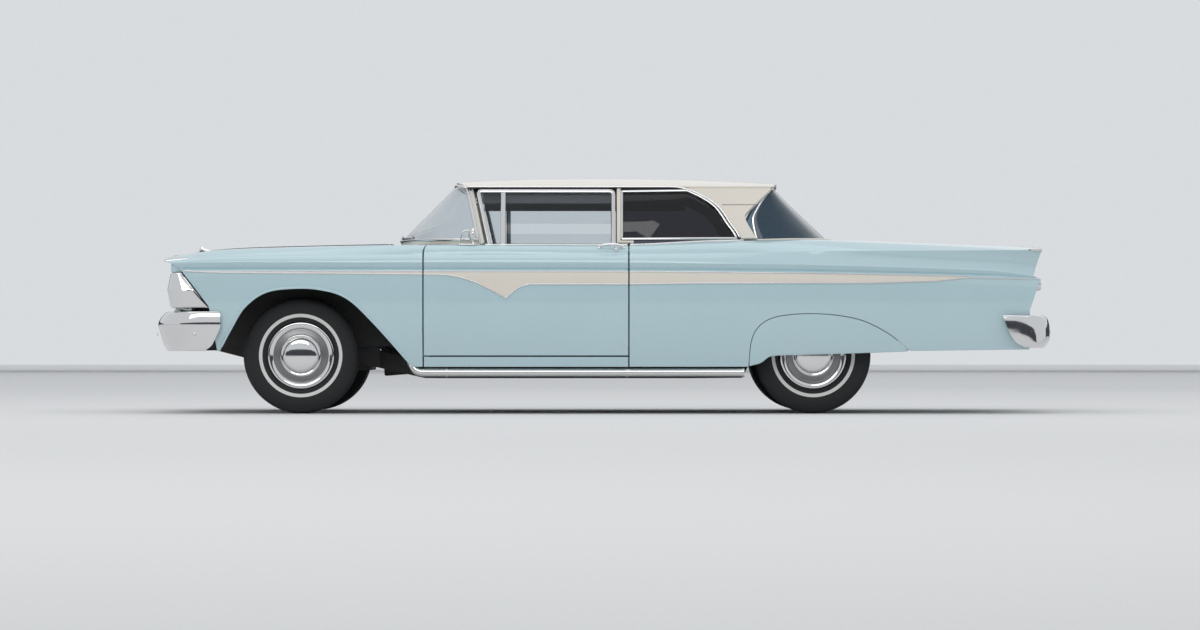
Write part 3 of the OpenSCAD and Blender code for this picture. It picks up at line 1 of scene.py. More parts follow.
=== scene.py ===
"""Looks of the two-door classic car, built on its CAD frame. Lengths in metres: +X front, +Y left, +Z up."""

import json

import bpy
import mathutils
import numpy as np
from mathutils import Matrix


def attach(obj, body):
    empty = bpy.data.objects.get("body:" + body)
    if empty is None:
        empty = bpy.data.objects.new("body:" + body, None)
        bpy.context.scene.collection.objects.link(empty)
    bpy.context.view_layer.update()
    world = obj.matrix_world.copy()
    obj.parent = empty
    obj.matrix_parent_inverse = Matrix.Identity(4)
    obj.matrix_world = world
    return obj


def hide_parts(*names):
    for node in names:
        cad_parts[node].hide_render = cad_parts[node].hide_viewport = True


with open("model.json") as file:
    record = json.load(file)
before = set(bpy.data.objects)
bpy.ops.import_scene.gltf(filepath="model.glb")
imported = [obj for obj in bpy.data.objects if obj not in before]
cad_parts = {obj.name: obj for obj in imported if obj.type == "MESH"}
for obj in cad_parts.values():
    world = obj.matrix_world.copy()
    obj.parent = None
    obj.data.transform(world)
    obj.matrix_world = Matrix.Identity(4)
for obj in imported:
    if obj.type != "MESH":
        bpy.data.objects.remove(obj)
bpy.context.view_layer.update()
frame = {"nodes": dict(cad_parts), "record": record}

# Sizes shared with the CAD
LEN, HALF, ROOF = 5.357, 1.013, 1.420
NOSE, TAIL = LEN / 2, -LEN / 2
FRONT_OVER = LEN * 0.1646
REAR_OVER = LEN * (1 - 0.1646 - 0.569)
AXLE_F = NOSE - FRONT_OVER
AXLE_R = TAIL + REAR_OVER
TYRE, TYRE_W = ROOF * 0.486, 0.196
AXLE_Z = TYRE / 2
RIM = TYRE * 0.577 / 2
TRACK_F, TRACK_R = 2 * HALF * 0.7404, 2 * HALF * 0.7078
ARCH = LEN * 0.1288
DOOR_F = AXLE_F - LEN * 0.1368
DOOR_LEN = LEN * 0.2272
DOOR_R = DOOR_F - DOOR_LEN
BEAD = RIM * 0.895
SILL, ROCKER, BELT = ROOF * 0.1958, ROOF * 0.0415, ROOF * 0.7042
WINDOW_H = ROOF * 0.2394
GAP, SHEET, SEAT, OVER = 0.008, 0.008, 0.0003, 0.001
BULGE = ROOF * 0.479
TUCK, CREASE_TUCK = 0.060, 0.007
LEAN = np.radians(18)
BUMPER_Y = HALF * 0.99
SQUARE_F = 4.5
GLASS_Y = HALF * 0.8608
UP = 1 / np.cos(LEAN)
FRAME_W, FRAME_T, GLASS_T = 0.024, 0.026, 0.006

# Body sections from tail to nose as shares of length, half width and roof height
WIDE, CREASE, LIP, FIN_Y, FIN_Z, FIN_SAG, TOP_Y, TOP_Z, TOP_SAG = range(1, 10)
BODY = np.array([
    [-0.487, 0.930, 0.563, 0.570, 0.945, 0.6845, -0.030, 0.700, 0.694, 0.006],
    [-0.429, 0.955, 0.574, 0.596, 0.948, 0.6820, -0.018, 0.705, 0.706, 0.010],
    [-0.234, 0.985, 0.590, 0.620, 0.952, 0.6775, -0.002, 0.800, 0.7285, 0.014],
    [-0.165, 0.993, 0.5925, 0.624, 0.954, 0.6725, 0.003, 0.862, 0.7240, 0.017],
    [-0.112, 0.997, 0.595, 0.627, 0.955, 0.6690, 0.006, 0.868, 0.7190, 0.020],
    [-0.029, 1.000, 0.597, 0.628, 0.960, 0.6655, 0.008, 0.880, 0.7042, 0.022],
    [0.1985, 0.997, 0.5986, 0.630, 0.957, 0.6655, 0.008, 0.880, 0.7042, 0.022],
    [0.335, 0.985, 0.5986, 0.632, 0.940, 0.6620, 0.008, 0.780, 0.6960, 0.020],
    [0.429, 0.962, 0.5986, 0.632, 0.920, 0.6560, 0.008, 0.740, 0.6820, 0.018],
    [0.486, 0.930, 0.5986, 0.627, 0.895, 0.6370, 0.006, 0.700, 0.6510, 0.012]])
ARCH_F = np.array([[-0.967, 0.403], [-0.651, 0.762], [-0.413, 0.984], [-0.174, 1.062], [0.087, 1.070], [0.304, 1.030],
                   [0.478, 0.899], [0.594, 0.710], [0.681, 0.551]])
ARCH_R = np.array([[-0.830, 0.539], [-0.642, 0.686], [-0.428, 0.796], [-0.214, 0.845], [0, 0.861], [0.214, 0.852],
                   [0.386, 0.815], [0.497, 0.730], [0.550, 0.600], [0.566, 0.410]])
SKIRT_LOW = np.array([[-0.830, 0.535], [-0.400, 0.520], [0.140, 0.503], [0.380, 0.490], [0.460, 0.435],
    [0.566, 0.408]])
NOSE_EDGE = [0.446, 0.392, 0.203, 0.190, 0.128, 0.088, 0.096]
TAIL_EDGE = [0.105, 0.105, 0.060, 0.070, 0.090, 0.055, 0.062]
NOSE_Z, TAIL_Z = ROOF * 0.262, ROOF * 0.2746
EDGE_SWEEP = LEN * 0.00747


# Materials

def material(name, color, rough, metal=0.0, coat=0.0, speck=0.0, scale=40.0, bump=0.0, wear=0.0):
    """Principled finish; speck varies the colour and wear the roughness by a noise on Object coordinates, bump its
    height."""
    m = bpy.data.materials.new(name)
    m.use_nodes = True
    nt = m.node_tree
    new, link = nt.nodes.new, nt.links.new
    p = nt.nodes["Principled BSDF"]
    p.inputs["Base Color"].default_value = (*color, 1)
    p.inputs["Roughness"].default_value = rough
    p.inputs["Metallic"].default_value = metal
    p.inputs["Coat Weight"].default_value = coat
    p.inputs["Coat Roughness"].default_value = 0.04
    if speck or bump or wear:
        tc = new("ShaderNodeTexCoord")
        no = new("ShaderNodeTexNoise")
        no.inputs["Scale"].default_value = scale
        no.inputs["Detail"].default_value = 4
        link(tc.outputs["Object"], no.inputs["Vector"])
        if speck:
            mx = new("ShaderNodeMixRGB")
            mx.inputs["Color1"].default_value = (*[c * (1 - speck) for c in color], 1)
            mx.inputs["Color2"].default_value = (*[min(1, c * (1 + speck)) for c in color], 1)
            link(no.outputs["Fac"], mx.inputs["Fac"])
            link(mx.outputs["Color"], p.inputs["Base Color"])
        if wear:
            mr = new("ShaderNodeMapRange")
            mr.inputs["To Min"].default_value = max(0.01, rough - wear)
            mr.inputs["To Max"].default_value = rough + wear
            link(no.outputs["Fac"], mr.inputs["Value"])
            link(mr.outputs["Result"], p.inputs["Roughness"])
        if bump:
            b = new("ShaderNodeBump")
            b.inputs["Strength"].default_value = bump
            b.inputs["Distance"].default_value = 0.002
            link(no.outputs["Fac"], b.inputs["Height"])
            link(b.outputs["Normal"], p.inputs["Normal"])
    return m


def glass_material(name, tint):
    """Thin tinted glass: clear seen square on, mirror-like at a slant by its Fresnel share, on its outer faces
    only."""
    m = bpy.data.materials.new(name)
    m.use_nodes = True
    nt = m.node_tree
    new, link = nt.nodes.new, nt.links.new
    nt.nodes.clear()
    out = new("ShaderNodeOutputMaterial")
    mix = new("ShaderNodeMixShader")
    tr = new("ShaderNodeBsdfTransparent")
    gl = new("ShaderNodeBsdfGlossy")
    fr = new("ShaderNodeFresnel")
    fr.inputs["IOR"].default_value = 1.45
    tr.inputs["Color"].default_value = (*tint, 1)
    gl.inputs["Color"].default_value = (1, 1, 1, 1)
    gl.inputs["Roughness"].default_value = 0.02
    geo = new("ShaderNodeNewGeometry")
    inside = new("ShaderNodeMath")
    inside.operation = "SUBTRACT"
    inside.inputs[0].default_value = 1.0
    share = new("ShaderNodeMath")
    share.operation = "MULTIPLY"
    link(geo.outputs["Backfacing"], inside.inputs[1])
    link(inside.outputs["Value"], share.inputs[0])
    link(fr.outputs["Fac"], share.inputs[1])
    link(share.outputs["Value"], mix.inputs["Fac"])
    link(tr.outputs["BSDF"], mix.inputs[1])
    link(gl.outputs["BSDF"], mix.inputs[2])
    link(mix.outputs["Shader"], out.inputs["Surface"])
    return m


PAINT = material("paint_aqua", (0.505, 0.67, 0.715), 0.28, coat=1.0, speck=0.03, scale=3.0)
CREAM = material("paint_cream", (0.80, 0.745, 0.66), 0.34, coat=0.4, speck=0.03, scale=3.0)
CHROME = material("chrome", (0.76, 0.755, 0.75), 0.07, metal=1.0, wear=0.03, scale=12.0)
COVER = material("cover_grey", (0.30, 0.30, 0.305), 0.30, metal=1.0, wear=0.05, scale=30.0)
STEEL = material("bright_steel", (0.62, 0.62, 0.63), 0.22, metal=1.0, wear=0.05, scale=30.0)
# Near-black for the pipe mouths: painted shade of the inside of an open pipe
PAINTED_SHADE_BLACK = material("painted_shade_black", (0.02, 0.02, 0.022), 0.7)
CHASSIS = material("chassis_black", (0.035, 0.034, 0.033), 0.55, speck=0.3, scale=25.0)
IRON = material("cast_iron", (0.13, 0.13, 0.135), 0.6, metal=0.6, speck=0.25, scale=60.0, bump=0.2)
RUBBER = material("tyre_rubber", (0.014, 0.0145, 0.0165), 0.72, speck=0.25, scale=120.0, bump=0.15)
SEAL = material("rubber_seal", (0.018, 0.018, 0.02), 0.6)
WHITEWALL = material("white_stripe", (0.78, 0.77, 0.74), 0.5)
CLOTH_A = material("seat_cloth", (0.26, 0.40, 0.44), 0.85, speck=0.15, scale=260.0, bump=0.25)
CLOTH_B = material("seat_bolster", (0.66, 0.62, 0.53), 0.6, speck=0.06, scale=90.0, bump=0.1)
CARPET = material("carpet", (0.09, 0.13, 0.15), 0.95, speck=0.3, scale=220.0, bump=0.4)
# Headliner cloth darkened as painted shade: lining, visors and inner rails stand in for the shade under the roof
LINER_PAINTED_SHADE = material("headliner_painted_shade", (0.10, 0.105, 0.115), 0.9, speck=0.12, scale=150.0, bump=0.1)
PLASTIC = material("ivory_plastic", (0.72, 0.68, 0.58), 0.3, coat=0.6)
BLACK = material("black_plastic", (0.02, 0.02, 0.021), 0.35)
RED = material("red_lens", (0.42, 0.012, 0.012), 0.12, coat=1.0)
LAMP = material("lamp_lens", (0.78, 0.79, 0.78), 0.12, metal=0.35, coat=1.0)
DIAL = material("dial_face", (0.05, 0.05, 0.055), 0.4)
ENGINE = material("engine_paint", (0.25, 0.30, 0.33), 0.5, speck=0.15, scale=40.0)
GLASS = glass_material("window_glass", (0.90, 0.92, 0.93))
# Dark tint of the quarter glass is painted shade: it stands in for the shaded cabin seen through it
QUARTER_GLASS_PAINTED_SHADE = glass_material("quarter_glass_painted_shade", (0.34, 0.34, 0.38))
TINT = glass_material("rear_glass", (0.42, 0.50, 0.55))

# Record's material slot that a finish stands for, where it isn't given with the piece
SLOT = {m.name: slot for slot, finishes in (("body_paint", [PAINT]), ("roof_paint", [CREAM]), ("chrome", [CHROME]),
    ("chassis", [CHASSIS]), ("castings", [IRON, ENGINE]), ("tyre", [RUBBER]), ("lamp_red", [RED]),
    ("glass", [GLASS, QUARTER_GLASS_PAINTED_SHADE, TINT]), ("upholstery", [CLOTH_A, CLOTH_B, CARPET, LINER_PAINTED_SHADE])) for m in finishes}


# Body surface, by the same formulas as the CAD

def curve(tab, x, c):
    """Smooth curve through a table: cubic pieces whose slopes come from the neighbouring rows."""
    k, v = tab[:, 0], tab[:, c]
    n = len(k)
    lo, hi = np.maximum(np.arange(n) - 1, 0), np.minimum(np.arange(n) + 1, n - 1)
    m = (v[hi] - v[lo]) / (k[hi] - k[lo])
    x = np.asarray(x, float)
    i = np.clip(np.searchsorted(k, x, side="right") - 1, 0, n - 2)
    h = k[i + 1] - k[i]
    s = (x - k[i]) / h
    return (v[i] * (2 * s**3 - 3 * s**2 + 1) + m[i] * h * (s**3 - 2 * s**2 + s)
            + v[i + 1] * (3 * s**2 - 2 * s**3) + m[i + 1] * h * (s**3 - s**2))


def plane(u, v):
    """Two coordinates over a grid, u along its rows."""
    return np.meshgrid(u, v, indexing="ij")


def coords(*c):
    """Points from two or three coordinates that broadcast to one shape."""
    return np.stack(np.broadcast_arrays(*c), -1)


def circle(n):
    """Angles of n even places round a circle, from 0."""
    return np.linspace(0, 2 * np.pi, n, endpoint=False)


def mix(a, b, t):
    """Straight blend from a to b."""
    return a + (b - a) * t


def smooth(a, b, x):
    """Share that eases from 0 at a to 1 at b by a cubic."""
    t = np.clip((x - a) / (b - a), 0, 1)
    return t * t * (3 - 2 * t)


def by(x, c):
    """Half width of the body at x: a table column times HALF."""
    return HALF * curve(BODY, np.asarray(x) / LEN, c)


def bz(x, c):
    """Height on the body at x: a table column times ROOF."""
    return ROOF * curve(BODY, np.asarray(x) / LEN, c)


def side_y(x, z):
    """Half width of the lower side: two parabolas that meet at the widest line."""
    low = (BULGE - z) / (BULGE - SILL)
    high = (z - BULGE) / (bz(x, CREASE) - BULGE)
    return by(x, WIDE) - np.where(z < BULGE, TUCK * low**2, CREASE_TUCK * high**2)


def bow(a, b, sag, t):
    """Bulged line from a to b; the bulge is a parabola square to the chord."""
    d = b - a
    n = coords(d[..., 1], -d[..., 0]) / np.linalg.norm(d, axis=-1, keepdims=True)
    t = np.asarray(t)
    return a + d * t[..., None] + n * (4 * sag * t * (1 - t))[..., None]


def fin(x):
    """Line of the fin as (y, z)."""
    return coords(by(x, FIN_Y), bz(x, FIN_Z))


def top(x):
    """Inner edge of the body top as (y, z)."""
    return coords(by(x, TOP_Y), bz(x, TOP_Z))


def lip(x):
    """Upper edge of the cove as (y, z)."""
    return coords(by(x, WIDE) - CREASE_TUCK, bz(x, LIP))


def body_side(x, low, seg, t):
    """Points of the body side at places x (columns) and rows (seg, t): lower side, cove below, cove above, fin
    flank, top."""
    x = np.asarray(x, float)
    low = np.broadcast_to(low, x.shape)
    out = np.empty(x.shape + (3,))
    out[..., 0] = x
    for s in range(5):
        j = np.flatnonzero(seg == s)
        if not len(j):
            continue
        xs, ts = x[:, j], np.broadcast_to(t[j], x[:, j].shape)
        zc = bz(xs, CREASE)
        h = bz(xs, LIP) - zc
        c = coords(by(xs, WIDE) - CREASE_TUCK, zc)
        v = coords(c[..., 0] - 0.42 * h, zc + 0.25 * h)
        if s == 0:
            z = mix(low[:, j], zc, ts)
            q = coords(side_y(xs, z), z)
        elif s == 1:
            q = c + (v - c) * ts[..., None]
        elif s == 2:
            q = v + (lip(xs) - v) * ts[..., None]
        elif s == 3:
            q = bow(lip(xs), fin(xs), HALF * curve(BODY, xs / LEN, FIN_SAG), ts)
        else:
            q = bow(fin(xs), top(xs), HALF * curve(BODY, xs / LEN, TOP_SAG), ts)
        out[:, j, 1:] = q
    return out


def rows():
    """Rows up the body side, dense beside the edges and character lines."""
    parts = [np.r_[0, 0.004, 0.009, 0.016, np.linspace(0.04, 0.95, 22), 0.98, 0.993, 1], [0.15, 0.5, 0.85],
        [0, 0.12, 0.5, 0.88], np.r_[0, 0.04, np.linspace(0.12, 0.88, 8), 0.96],
        np.r_[0, 0.03, np.linspace(0.1, 0.92, 12), 0.97, 0.985, 0.994, 1]]
    seg = np.concatenate([np.full(len(p), i) for i, p in enumerate(parts)])
    return seg, np.concatenate(parts)


SEG, ROW = rows()
OVER_TOP = np.where(SEG == 4, ROW, 0.0)


def edge_share(table):
    """Front or rear edge value of every row from seven shares: foot, middle, crease, cove, lip, fin, top."""
    low = np.interp(ROW, [0, 0.55, 1], table[:3])
    return np.select([SEG == 0, SEG == 1, SEG == 2, SEG == 3],
                  [low, mix(table[2], table[3], ROW), mix(table[3], table[4], ROW), mix(table[4], table[5], ROW)],
                  mix(table[5], table[6], ROW))


def spread(n, ends=(True, True)):
    """Places from 0 to 1, dense beside the ends that are true edges."""
    d = np.array([0, 0.12, 0.3, 0.55]) / n
    u = np.linspace(0, 1, n + 1)
    return np.r_[d if ends[0] else u[:1], u[1:-1], 1 - d[::-1] if ends[1] else u[-1:]]


def arch_low(table, axle, x):
    """Height of a wheel arch at x, from its table in tyre heights."""
    return TYRE * curve(table, (x - axle) / ARCH, 1)


def fender_low(x):
    """Lower edge of the front fender: sill, arch, then the level nose."""
    d = (x - AXLE_F) / ARCH
    return np.where(d >= ARCH_F[-1, 0], NOSE_Z,
        np.where(d <= ARCH_F[0, 0], SILL, np.maximum(SILL, arch_low(ARCH_F, AXLE_F, x))))


def quarter_low(x):
    """Lower edge of the rear quarter: a straight rise to the tail, arch, then sill."""
    d = (x - AXLE_R) / ARCH
    back = mix(TYRE * ARCH_R[0, 1], TAIL_Z, (ARCH_R[0, 0] - d) * ARCH / REAR_OVER)
    return np.where(d <= ARCH_R[0, 0], back, np.where(d >= ARCH_R[-1, 0], SILL,
        np.maximum(SILL, arch_low(ARCH_R, AXLE_R, x))))


def arch_places(table, axle, n):
    """Places along an arch, evenly spaced by its arc length."""
    d = np.linspace(table[0, 0], table[-1, 0], 2000)
    z = curve(table, d, 1)
    s = np.r_[0, np.cumsum(np.hypot(np.diff(d), np.diff(z)))]
    return axle + ARCH * np.interp(np.linspace(0, s[-1], n), s, d)


# Mesh helpers

def raw_mesh(name, verts, faces):
    """Mesh from whole arrays: verts (k, 3), faces a list of (f, n) index arrays."""
    me = bpy.data.meshes.new(name)
    verts = np.ascontiguousarray(verts, np.float32).reshape(-1, 3)
    me.vertices.add(len(verts))
    me.vertices.foreach_set("co", verts.ravel())
    loops = np.concatenate([f.ravel() for f in faces]).astype(np.int32)
    sizes = np.concatenate([np.full(len(f), f.shape[1]) for f in faces])
    starts = np.r_[0, np.cumsum(sizes)[:-1]].astype(np.int32)
    me.loops.add(len(loops))
    me.loops.foreach_set("vertex_index", loops)
    me.polygons.add(len(sizes))
    me.polygons.foreach_set("loop_start", starts)
    me.update(calc_edges=True)
    me.validate()
    return me


def put(name, data):
    """New object in the scene."""
    o = bpy.data.objects.new(name, data)
    bpy.context.scene.collection.objects.link(o)
    return o


def add_mesh(name, shape, mat, body="body", node=None, slot=None, sharp=35):
    """Piece on a body from a (verts, faces) pair: smooth shaded, with edges sharper than the angle kept."""
    me = raw_mesh(name, *shape)
    me.polygons.foreach_set("use_smooth", np.ones(len(me.polygons), bool))
    me.set_sharp_from_angle(angle=np.radians(sharp))
    o = put(name, me)
    me.materials.append(mat)
    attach(o, body)
    if node:
        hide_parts(node)
    slot = slot or SLOT.get(mat.name)
    return o


def grid(n, m, wrap_u=False, wrap_v=False):
    """Quads of an n by m grid of points."""
    i = np.arange(n if wrap_u else n - 1)
    j = np.arange(m if wrap_v else m - 1)
    a, b = plane(i, j)
    c, d = (a + 1) % n, (b + 1) % m
    return np.stack([a * m + b, a * m + d, c * m + d, c * m + b], -1).reshape(-1, 4)


def normals(p):
    """Unit normals of a grid surface from its two directions."""
    n = np.cross(np.gradient(p, axis=0), np.gradient(p, axis=1))
    return n / np.maximum(np.linalg.norm(n, axis=-1, keepdims=True), 1e-12)


def border(p):
    """Distance of every grid point to the nearest edge of the grid, along the surface."""
    def runs(a):
        """Distance to the nearer end along the first direction."""
        s = np.cumsum(np.r_[np.zeros((1, a.shape[1])), np.linalg.norm(np.diff(a, axis=0), axis=-1)], axis=0)
        return np.minimum(s, s[-1:] - s)
    return np.minimum(runs(p), runs(p.transpose(1, 0, 2)).T)


def shell_arrays(p, q, hem=0.003):
    """Closed shell between outer grid p and inner grid q; the outer edge is rounded by the radius hem."""
    n, m = p.shape[:2]
    nv = normals(p)
    if np.sum(nv * (p - q)) < 0:
        nv = -nv
    d = np.clip(border(p), 0, hem)
    p = p - nv * (hem - np.sqrt(np.maximum(hem**2 - (hem - d) ** 2, 0)))[..., None] if hem else p
    k = n * m
    f = grid(n, m)
    ring = np.r_[np.arange(m), np.arange(1, n) * m + m - 1, (n - 1) * m + np.arange(m - 2, -1, -1),
        np.arange(n - 2, 0, -1) * m]
    nxt = np.roll(ring, -1)
    rim = np.stack([ring, ring + k, nxt + k, nxt], -1)
    faces = [f, f[:, ::-1] + k, rim[:, ::-1]]
    a, b, c = [p.reshape(-1, 3)[f[:, i]] for i in range(3)]
    if np.sum(np.cross(b - a, c - a) * nv.reshape(-1, 3)[f[:, 0]]) < 0:
        faces = [x[:, ::-1] for x in faces]
    return np.concatenate([p.reshape(-1, 3), q.reshape(-1, 3)]), faces


def shell(name, p, q, mat, body="body", hem=0.003, **k):
    """Piece that is one closed shell between the grids p and q."""
    return add_mesh(name, shell_arrays(p, q, hem), mat, body, **k)


def join(*parts):
    """Several (verts, faces) pairs as one."""
    vs, fs, base = [], [], 0
    for v, f in parts:
        vs.append(v)
        fs += [x + base for x in f]
        base += len(v)
    return np.concatenate(vs), fs


def flip(shape):
    """Mirror image across the middle plane, still facing outwards."""
    v, f = shape
    return v * [1, -1, 1], [x[:, ::-1] for x in f]


def both(shape):
    """A left piece and its mirror image."""
    return join(shape, flip(shape))


def outward(v, faces):
    """Turns all faces round if the volume that they close is negative."""
    vol = 0.0
    for f in faces:
        a = v[f[:, 0]]
        for k in range(1, f.shape[1] - 1):
            vol += np.sum(a * np.cross(v[f[:, k]], v[f[:, k + 1]]))
    return (v, faces) if vol > 0 else (v, [f[:, ::-1] for f in faces])


def loft(rings, closed=False):
    """Solid through closed rings of points, capped at both ends or closed on itself."""
    n, m = rings.shape[:2]
    faces = [grid(n, m, wrap_u=closed, wrap_v=True)]
    if not closed:
        i = np.arange(m)
        faces += [i[None, ::-1], (n - 1) * m + i[None]]
    return outward(rings.reshape(-1, 3), faces)


def axes(axis):
    """Unit axis and two directions square to it."""
    a = np.asarray(axis, float) / np.linalg.norm(axis)
    e = np.cross(a, [0, 0, 1] if abs(a[2]) < 0.9 else [1, 0, 0])
    e /= np.linalg.norm(e)
    return a, e, np.cross(a, e)


def lathe(profile, n, place, axis):
    """Closed profile of (radius, height) turned about an axis through place: a ring."""
    pr = np.asarray(profile, float)
    t = circle(n)
    a, e, f = axes(axis)
    ring = np.cos(t)[:, None] * e + np.sin(t)[:, None] * f
    v = np.asarray(place) + ring[:, None, :] * pr[None, :, :1] + a * pr[None, :, 1:2]
    return loft(v, closed=True)


def turned(profile, n, place, axis):
    """Profile of (radius, height) that starts and ends on the axis, turned about it: a solid with two pole points."""
    pr = np.asarray(profile, float)
    t = circle(n)
    a, e, f = axes(axis)
    ring = np.cos(t)[:, None] * e + np.sin(t)[:, None] * f
    mid = pr[1:-1]
    m = len(mid)
    v = np.asarray(place) + ring[:, None, :] * mid[None, :, :1] + a * mid[None, :, 1:2]
    poles = np.asarray(place) + a * pr[[0, -1], 1:2]
    i = np.arange(n)
    j = (i + 1) % n
    first = coords(n * m, i * m, j * m)
    last = coords(n * m + 1, j * m + m - 1, i * m + m - 1)
    return outward(np.concatenate([v.reshape(-1, 3), poles]), [grid(n, m, wrap_u=True), first, last])


def sweep(path, profile, up, closed=False, size=None):
    """Closed profile of (side, up) carried along a path; size scales it along the way, up may vary from point to
    point."""
    path, pr = np.asarray(path, float), np.asarray(profile, float)
    t = np.roll(path, -1, 0) - np.roll(path, 1, 0) if closed else np.gradient(path, axis=0)
    t = t / np.linalg.norm(t, axis=1, keepdims=True)
    u = np.broadcast_to(np.asarray(up, float), path.shape)
    u = u - np.sum(u * t, 1, keepdims=True) * t
    u = u / np.linalg.norm(u, axis=1, keepdims=True)
    k = np.ones(len(path)) if size is None else np.asarray(size, float)
    w = np.cross(t, u)
    return loft(path[:, None] + (w[:, None] * pr[None, :, :1] + u[:, None] * pr[None, :, 1:]) * k[:, None, None],
        closed)


def bar(w, h, r, n=4):
    """Rounded rectangle of width w and height h, corner radius r."""
    a = np.linspace(0, np.pi / 2, n)
    c = np.array([[1, 1], [-1, 1], [-1, -1], [1, -1]]) * [w / 2 - r, h / 2 - r]
    q = np.arange(4) * np.pi / 2
    return (c[:, None] + r * coords(np.cos(a + q[:, None]), np.sin(a + q[:, None]))).reshape(-1, 2)


def tube(path, r, n=12, up=(0, 0, 1)):
    """Round bar of radius r along a path."""
    a = circle(n)
    return sweep(path, coords(r * np.cos(a), r * np.sin(a)), up)


def block(lo, hi, r=0.004, turn=None):
    """Box with rounded outline and rounded upper and lower edges, through six stacked outlines; turn is a rotation
    matrix."""
    lo, hi = np.asarray(lo, float), np.asarray(hi, float)
    c, d = (lo + hi) / 2, hi - lo
    r = min(r, d.min() * 0.45)
    z = np.array([-d[2] / 2, -d[2] / 2 + r * 0.3, -d[2] / 2 + r, d[2] / 2 - r, d[2] / 2 - r * 0.3, d[2] / 2])
    cut = np.array([r, r * 0.3, 0, 0, r * 0.3, r])
    rings = np.stack([np.c_[bar(d[0] - 2 * k, d[1] - 2 * k, max(r - k, r * 0.15)), np.full(16, h)] for h,
        k in zip(z, cut)])
    if turn is not None:
        rings = rings @ np.asarray(turn).T
    return loft(rings + c)


def plate(points, normal, thick, hem=0.002):
    """Flat outline with a rounded edge: rings of the outline stepped inwards near both faces along the normal."""
    p = np.asarray(points, float)
    n = np.asarray(normal, float) / np.linalg.norm(normal)
    t = np.roll(p, -1, 0) - np.roll(p, 1, 0)
    side = np.cross(t, n)
    side /= np.maximum(np.linalg.norm(side, axis=1, keepdims=True), 1e-9)
    c = p.mean(0)
    if np.sum(side * (p - c)) < 0:
        side = -side
    k = min(hem, thick / 2)
    h = np.array([0, k * 0.3, k, thick - k, thick - k * 0.3, thick])
    cut = np.array([k, k * 0.3, 0, 0, k * 0.3, k])
    return loft(p[None] - side[None] * cut[:, None, None] + n * h[:, None, None])


def rot(axis, deg):
    """Rotation matrix about x or y."""
    c, s = np.cos(np.radians(deg)), np.sin(np.radians(deg))
    return {"x": np.array([[1, 0, 0], [0, c, -s], [0, s, c]]),
        "y": np.array([[c, 0, s], [0, 1, 0], [-s, 0, c]])}[axis]


def rounded(points, r, n=6):
    """Polyline with its inner corners rounded by quadratic curves that start r before and end r after each corner."""
    p = np.asarray(points, float)
    out = [p[:1]]
    t = np.linspace(0, 1, n)[:, None]
    for a, b, c in zip(p[:-2], p[1:-1], p[2:]):
        ra, rc = min(r, np.linalg.norm(a - b) / 2), min(r, np.linalg.norm(c - b) / 2)
        s, e = b + (a - b) / np.linalg.norm(a - b) * ra, b + (c - b) / np.linalg.norm(c - b) * rc
        out.append((1 - t) ** 2 * s + 2 * t * (1 - t) * b + t**2 * e)
    out.append(p[-1:])
    return np.concatenate(out)


def dense(points, step):
    """Polyline resampled at about even steps."""
    p = np.asarray(points, float)
    s = np.r_[0, np.cumsum(np.linalg.norm(np.diff(p, axis=0), axis=1))]
    k = max(2, int(np.ceil(s[-1] / step)) + 1)
    u = np.linspace(0, s[-1], k)
    return np.stack([np.interp(u, s, p[:, i]) for i in range(p.shape[1])], -1)


SIDES = ("left", "right")


def sided(side, shape):
    """A left piece, or its mirror image for the right side."""
    return shape if side == "left" else flip(shape)


# Painted panels

def fender_panel():
    """Columns run from the door to the nose; the arch columns are even along the arch, the front ones lean to the
    nose edge."""
    arch = arch_places(ARCH_F, AXLE_F, 60)
    rear = DOOR_F + GAP / 2 - EDGE_SWEEP * OVER_TOP**2
    u = spread(8, (True, False))[:-1, None]
    x1 = mix(rear[None], arch[0], u)
    x2 = np.repeat(arch[:-1, None], len(ROW), 1)
    w = spread(16, (False, True))[:, None]
    x3 = mix(arch[-1], (NOSE - FRONT_OVER * edge_share(NOSE_EDGE))[None], w)
    x = np.concatenate([x1, x2, x3])
    low = np.concatenate([fender_low(x1), fender_low(x2), np.full(x3.shape, NOSE_Z)])
    return body_side(x, low, SEG, ROW)


def inner_of(p, wall, turn):
    """Inner face of a side panel: walls shift inwards, and downwards above the fin by the share turn."""
    r = OVER_TOP[None] * turn
    return p - coords(np.zeros_like(r * wall), wall * (1 - r), wall * r)


def quarter_panel():
    """Columns run from the tail to the door; the tail columns lean to the tail edge."""
    arch = arch_places(ARCH_R, AXLE_R, 60)
    w = spread(20, (True, False))[:-1, None]
    x1 = mix((TAIL + REAR_OVER * edge_share(TAIL_EDGE))[None], arch[0], w)
    x2 = np.repeat(arch[:-1, None], len(ROW), 1)
    u = spread(14, (False, True))[:, None]
    x3 = np.repeat(mix(arch[-1] + 0.0003, DOOR_R - GAP / 2, u), len(ROW), 1)
    x = np.concatenate([x1, x2, x3])
    low = np.concatenate([quarter_low(x1), quarter_low(x2), np.full(x3.shape, SILL)])
    return body_side(x, low, SEG, ROW)


def door_panel():
    """Columns run from the rear edge to the front; a thin flange leads to the hinge."""
    flange = 0.140
    f, r = DOOR_F - GAP / 2, DOOR_R + GAP / 2
    s = f - flange
    u = np.r_[mix(r, s - 0.001, spread(24, (True, False))), mix(s, f, spread(6, (False, True)))]
    near = smooth(DOOR_F - 2 * flange, DOOR_F, u)[:, None]
    x = u[:, None] - EDGE_SWEEP * near * OVER_TOP[None] ** 2
    p = body_side(x, np.full(x.shape, SILL + ROCKER + GAP), SEG, ROW)
    wall = np.where(u > s - 0.0005, SHEET, 0.100)[:, None] * np.ones_like(x)
    return p, p - coords(0, wall, 0)


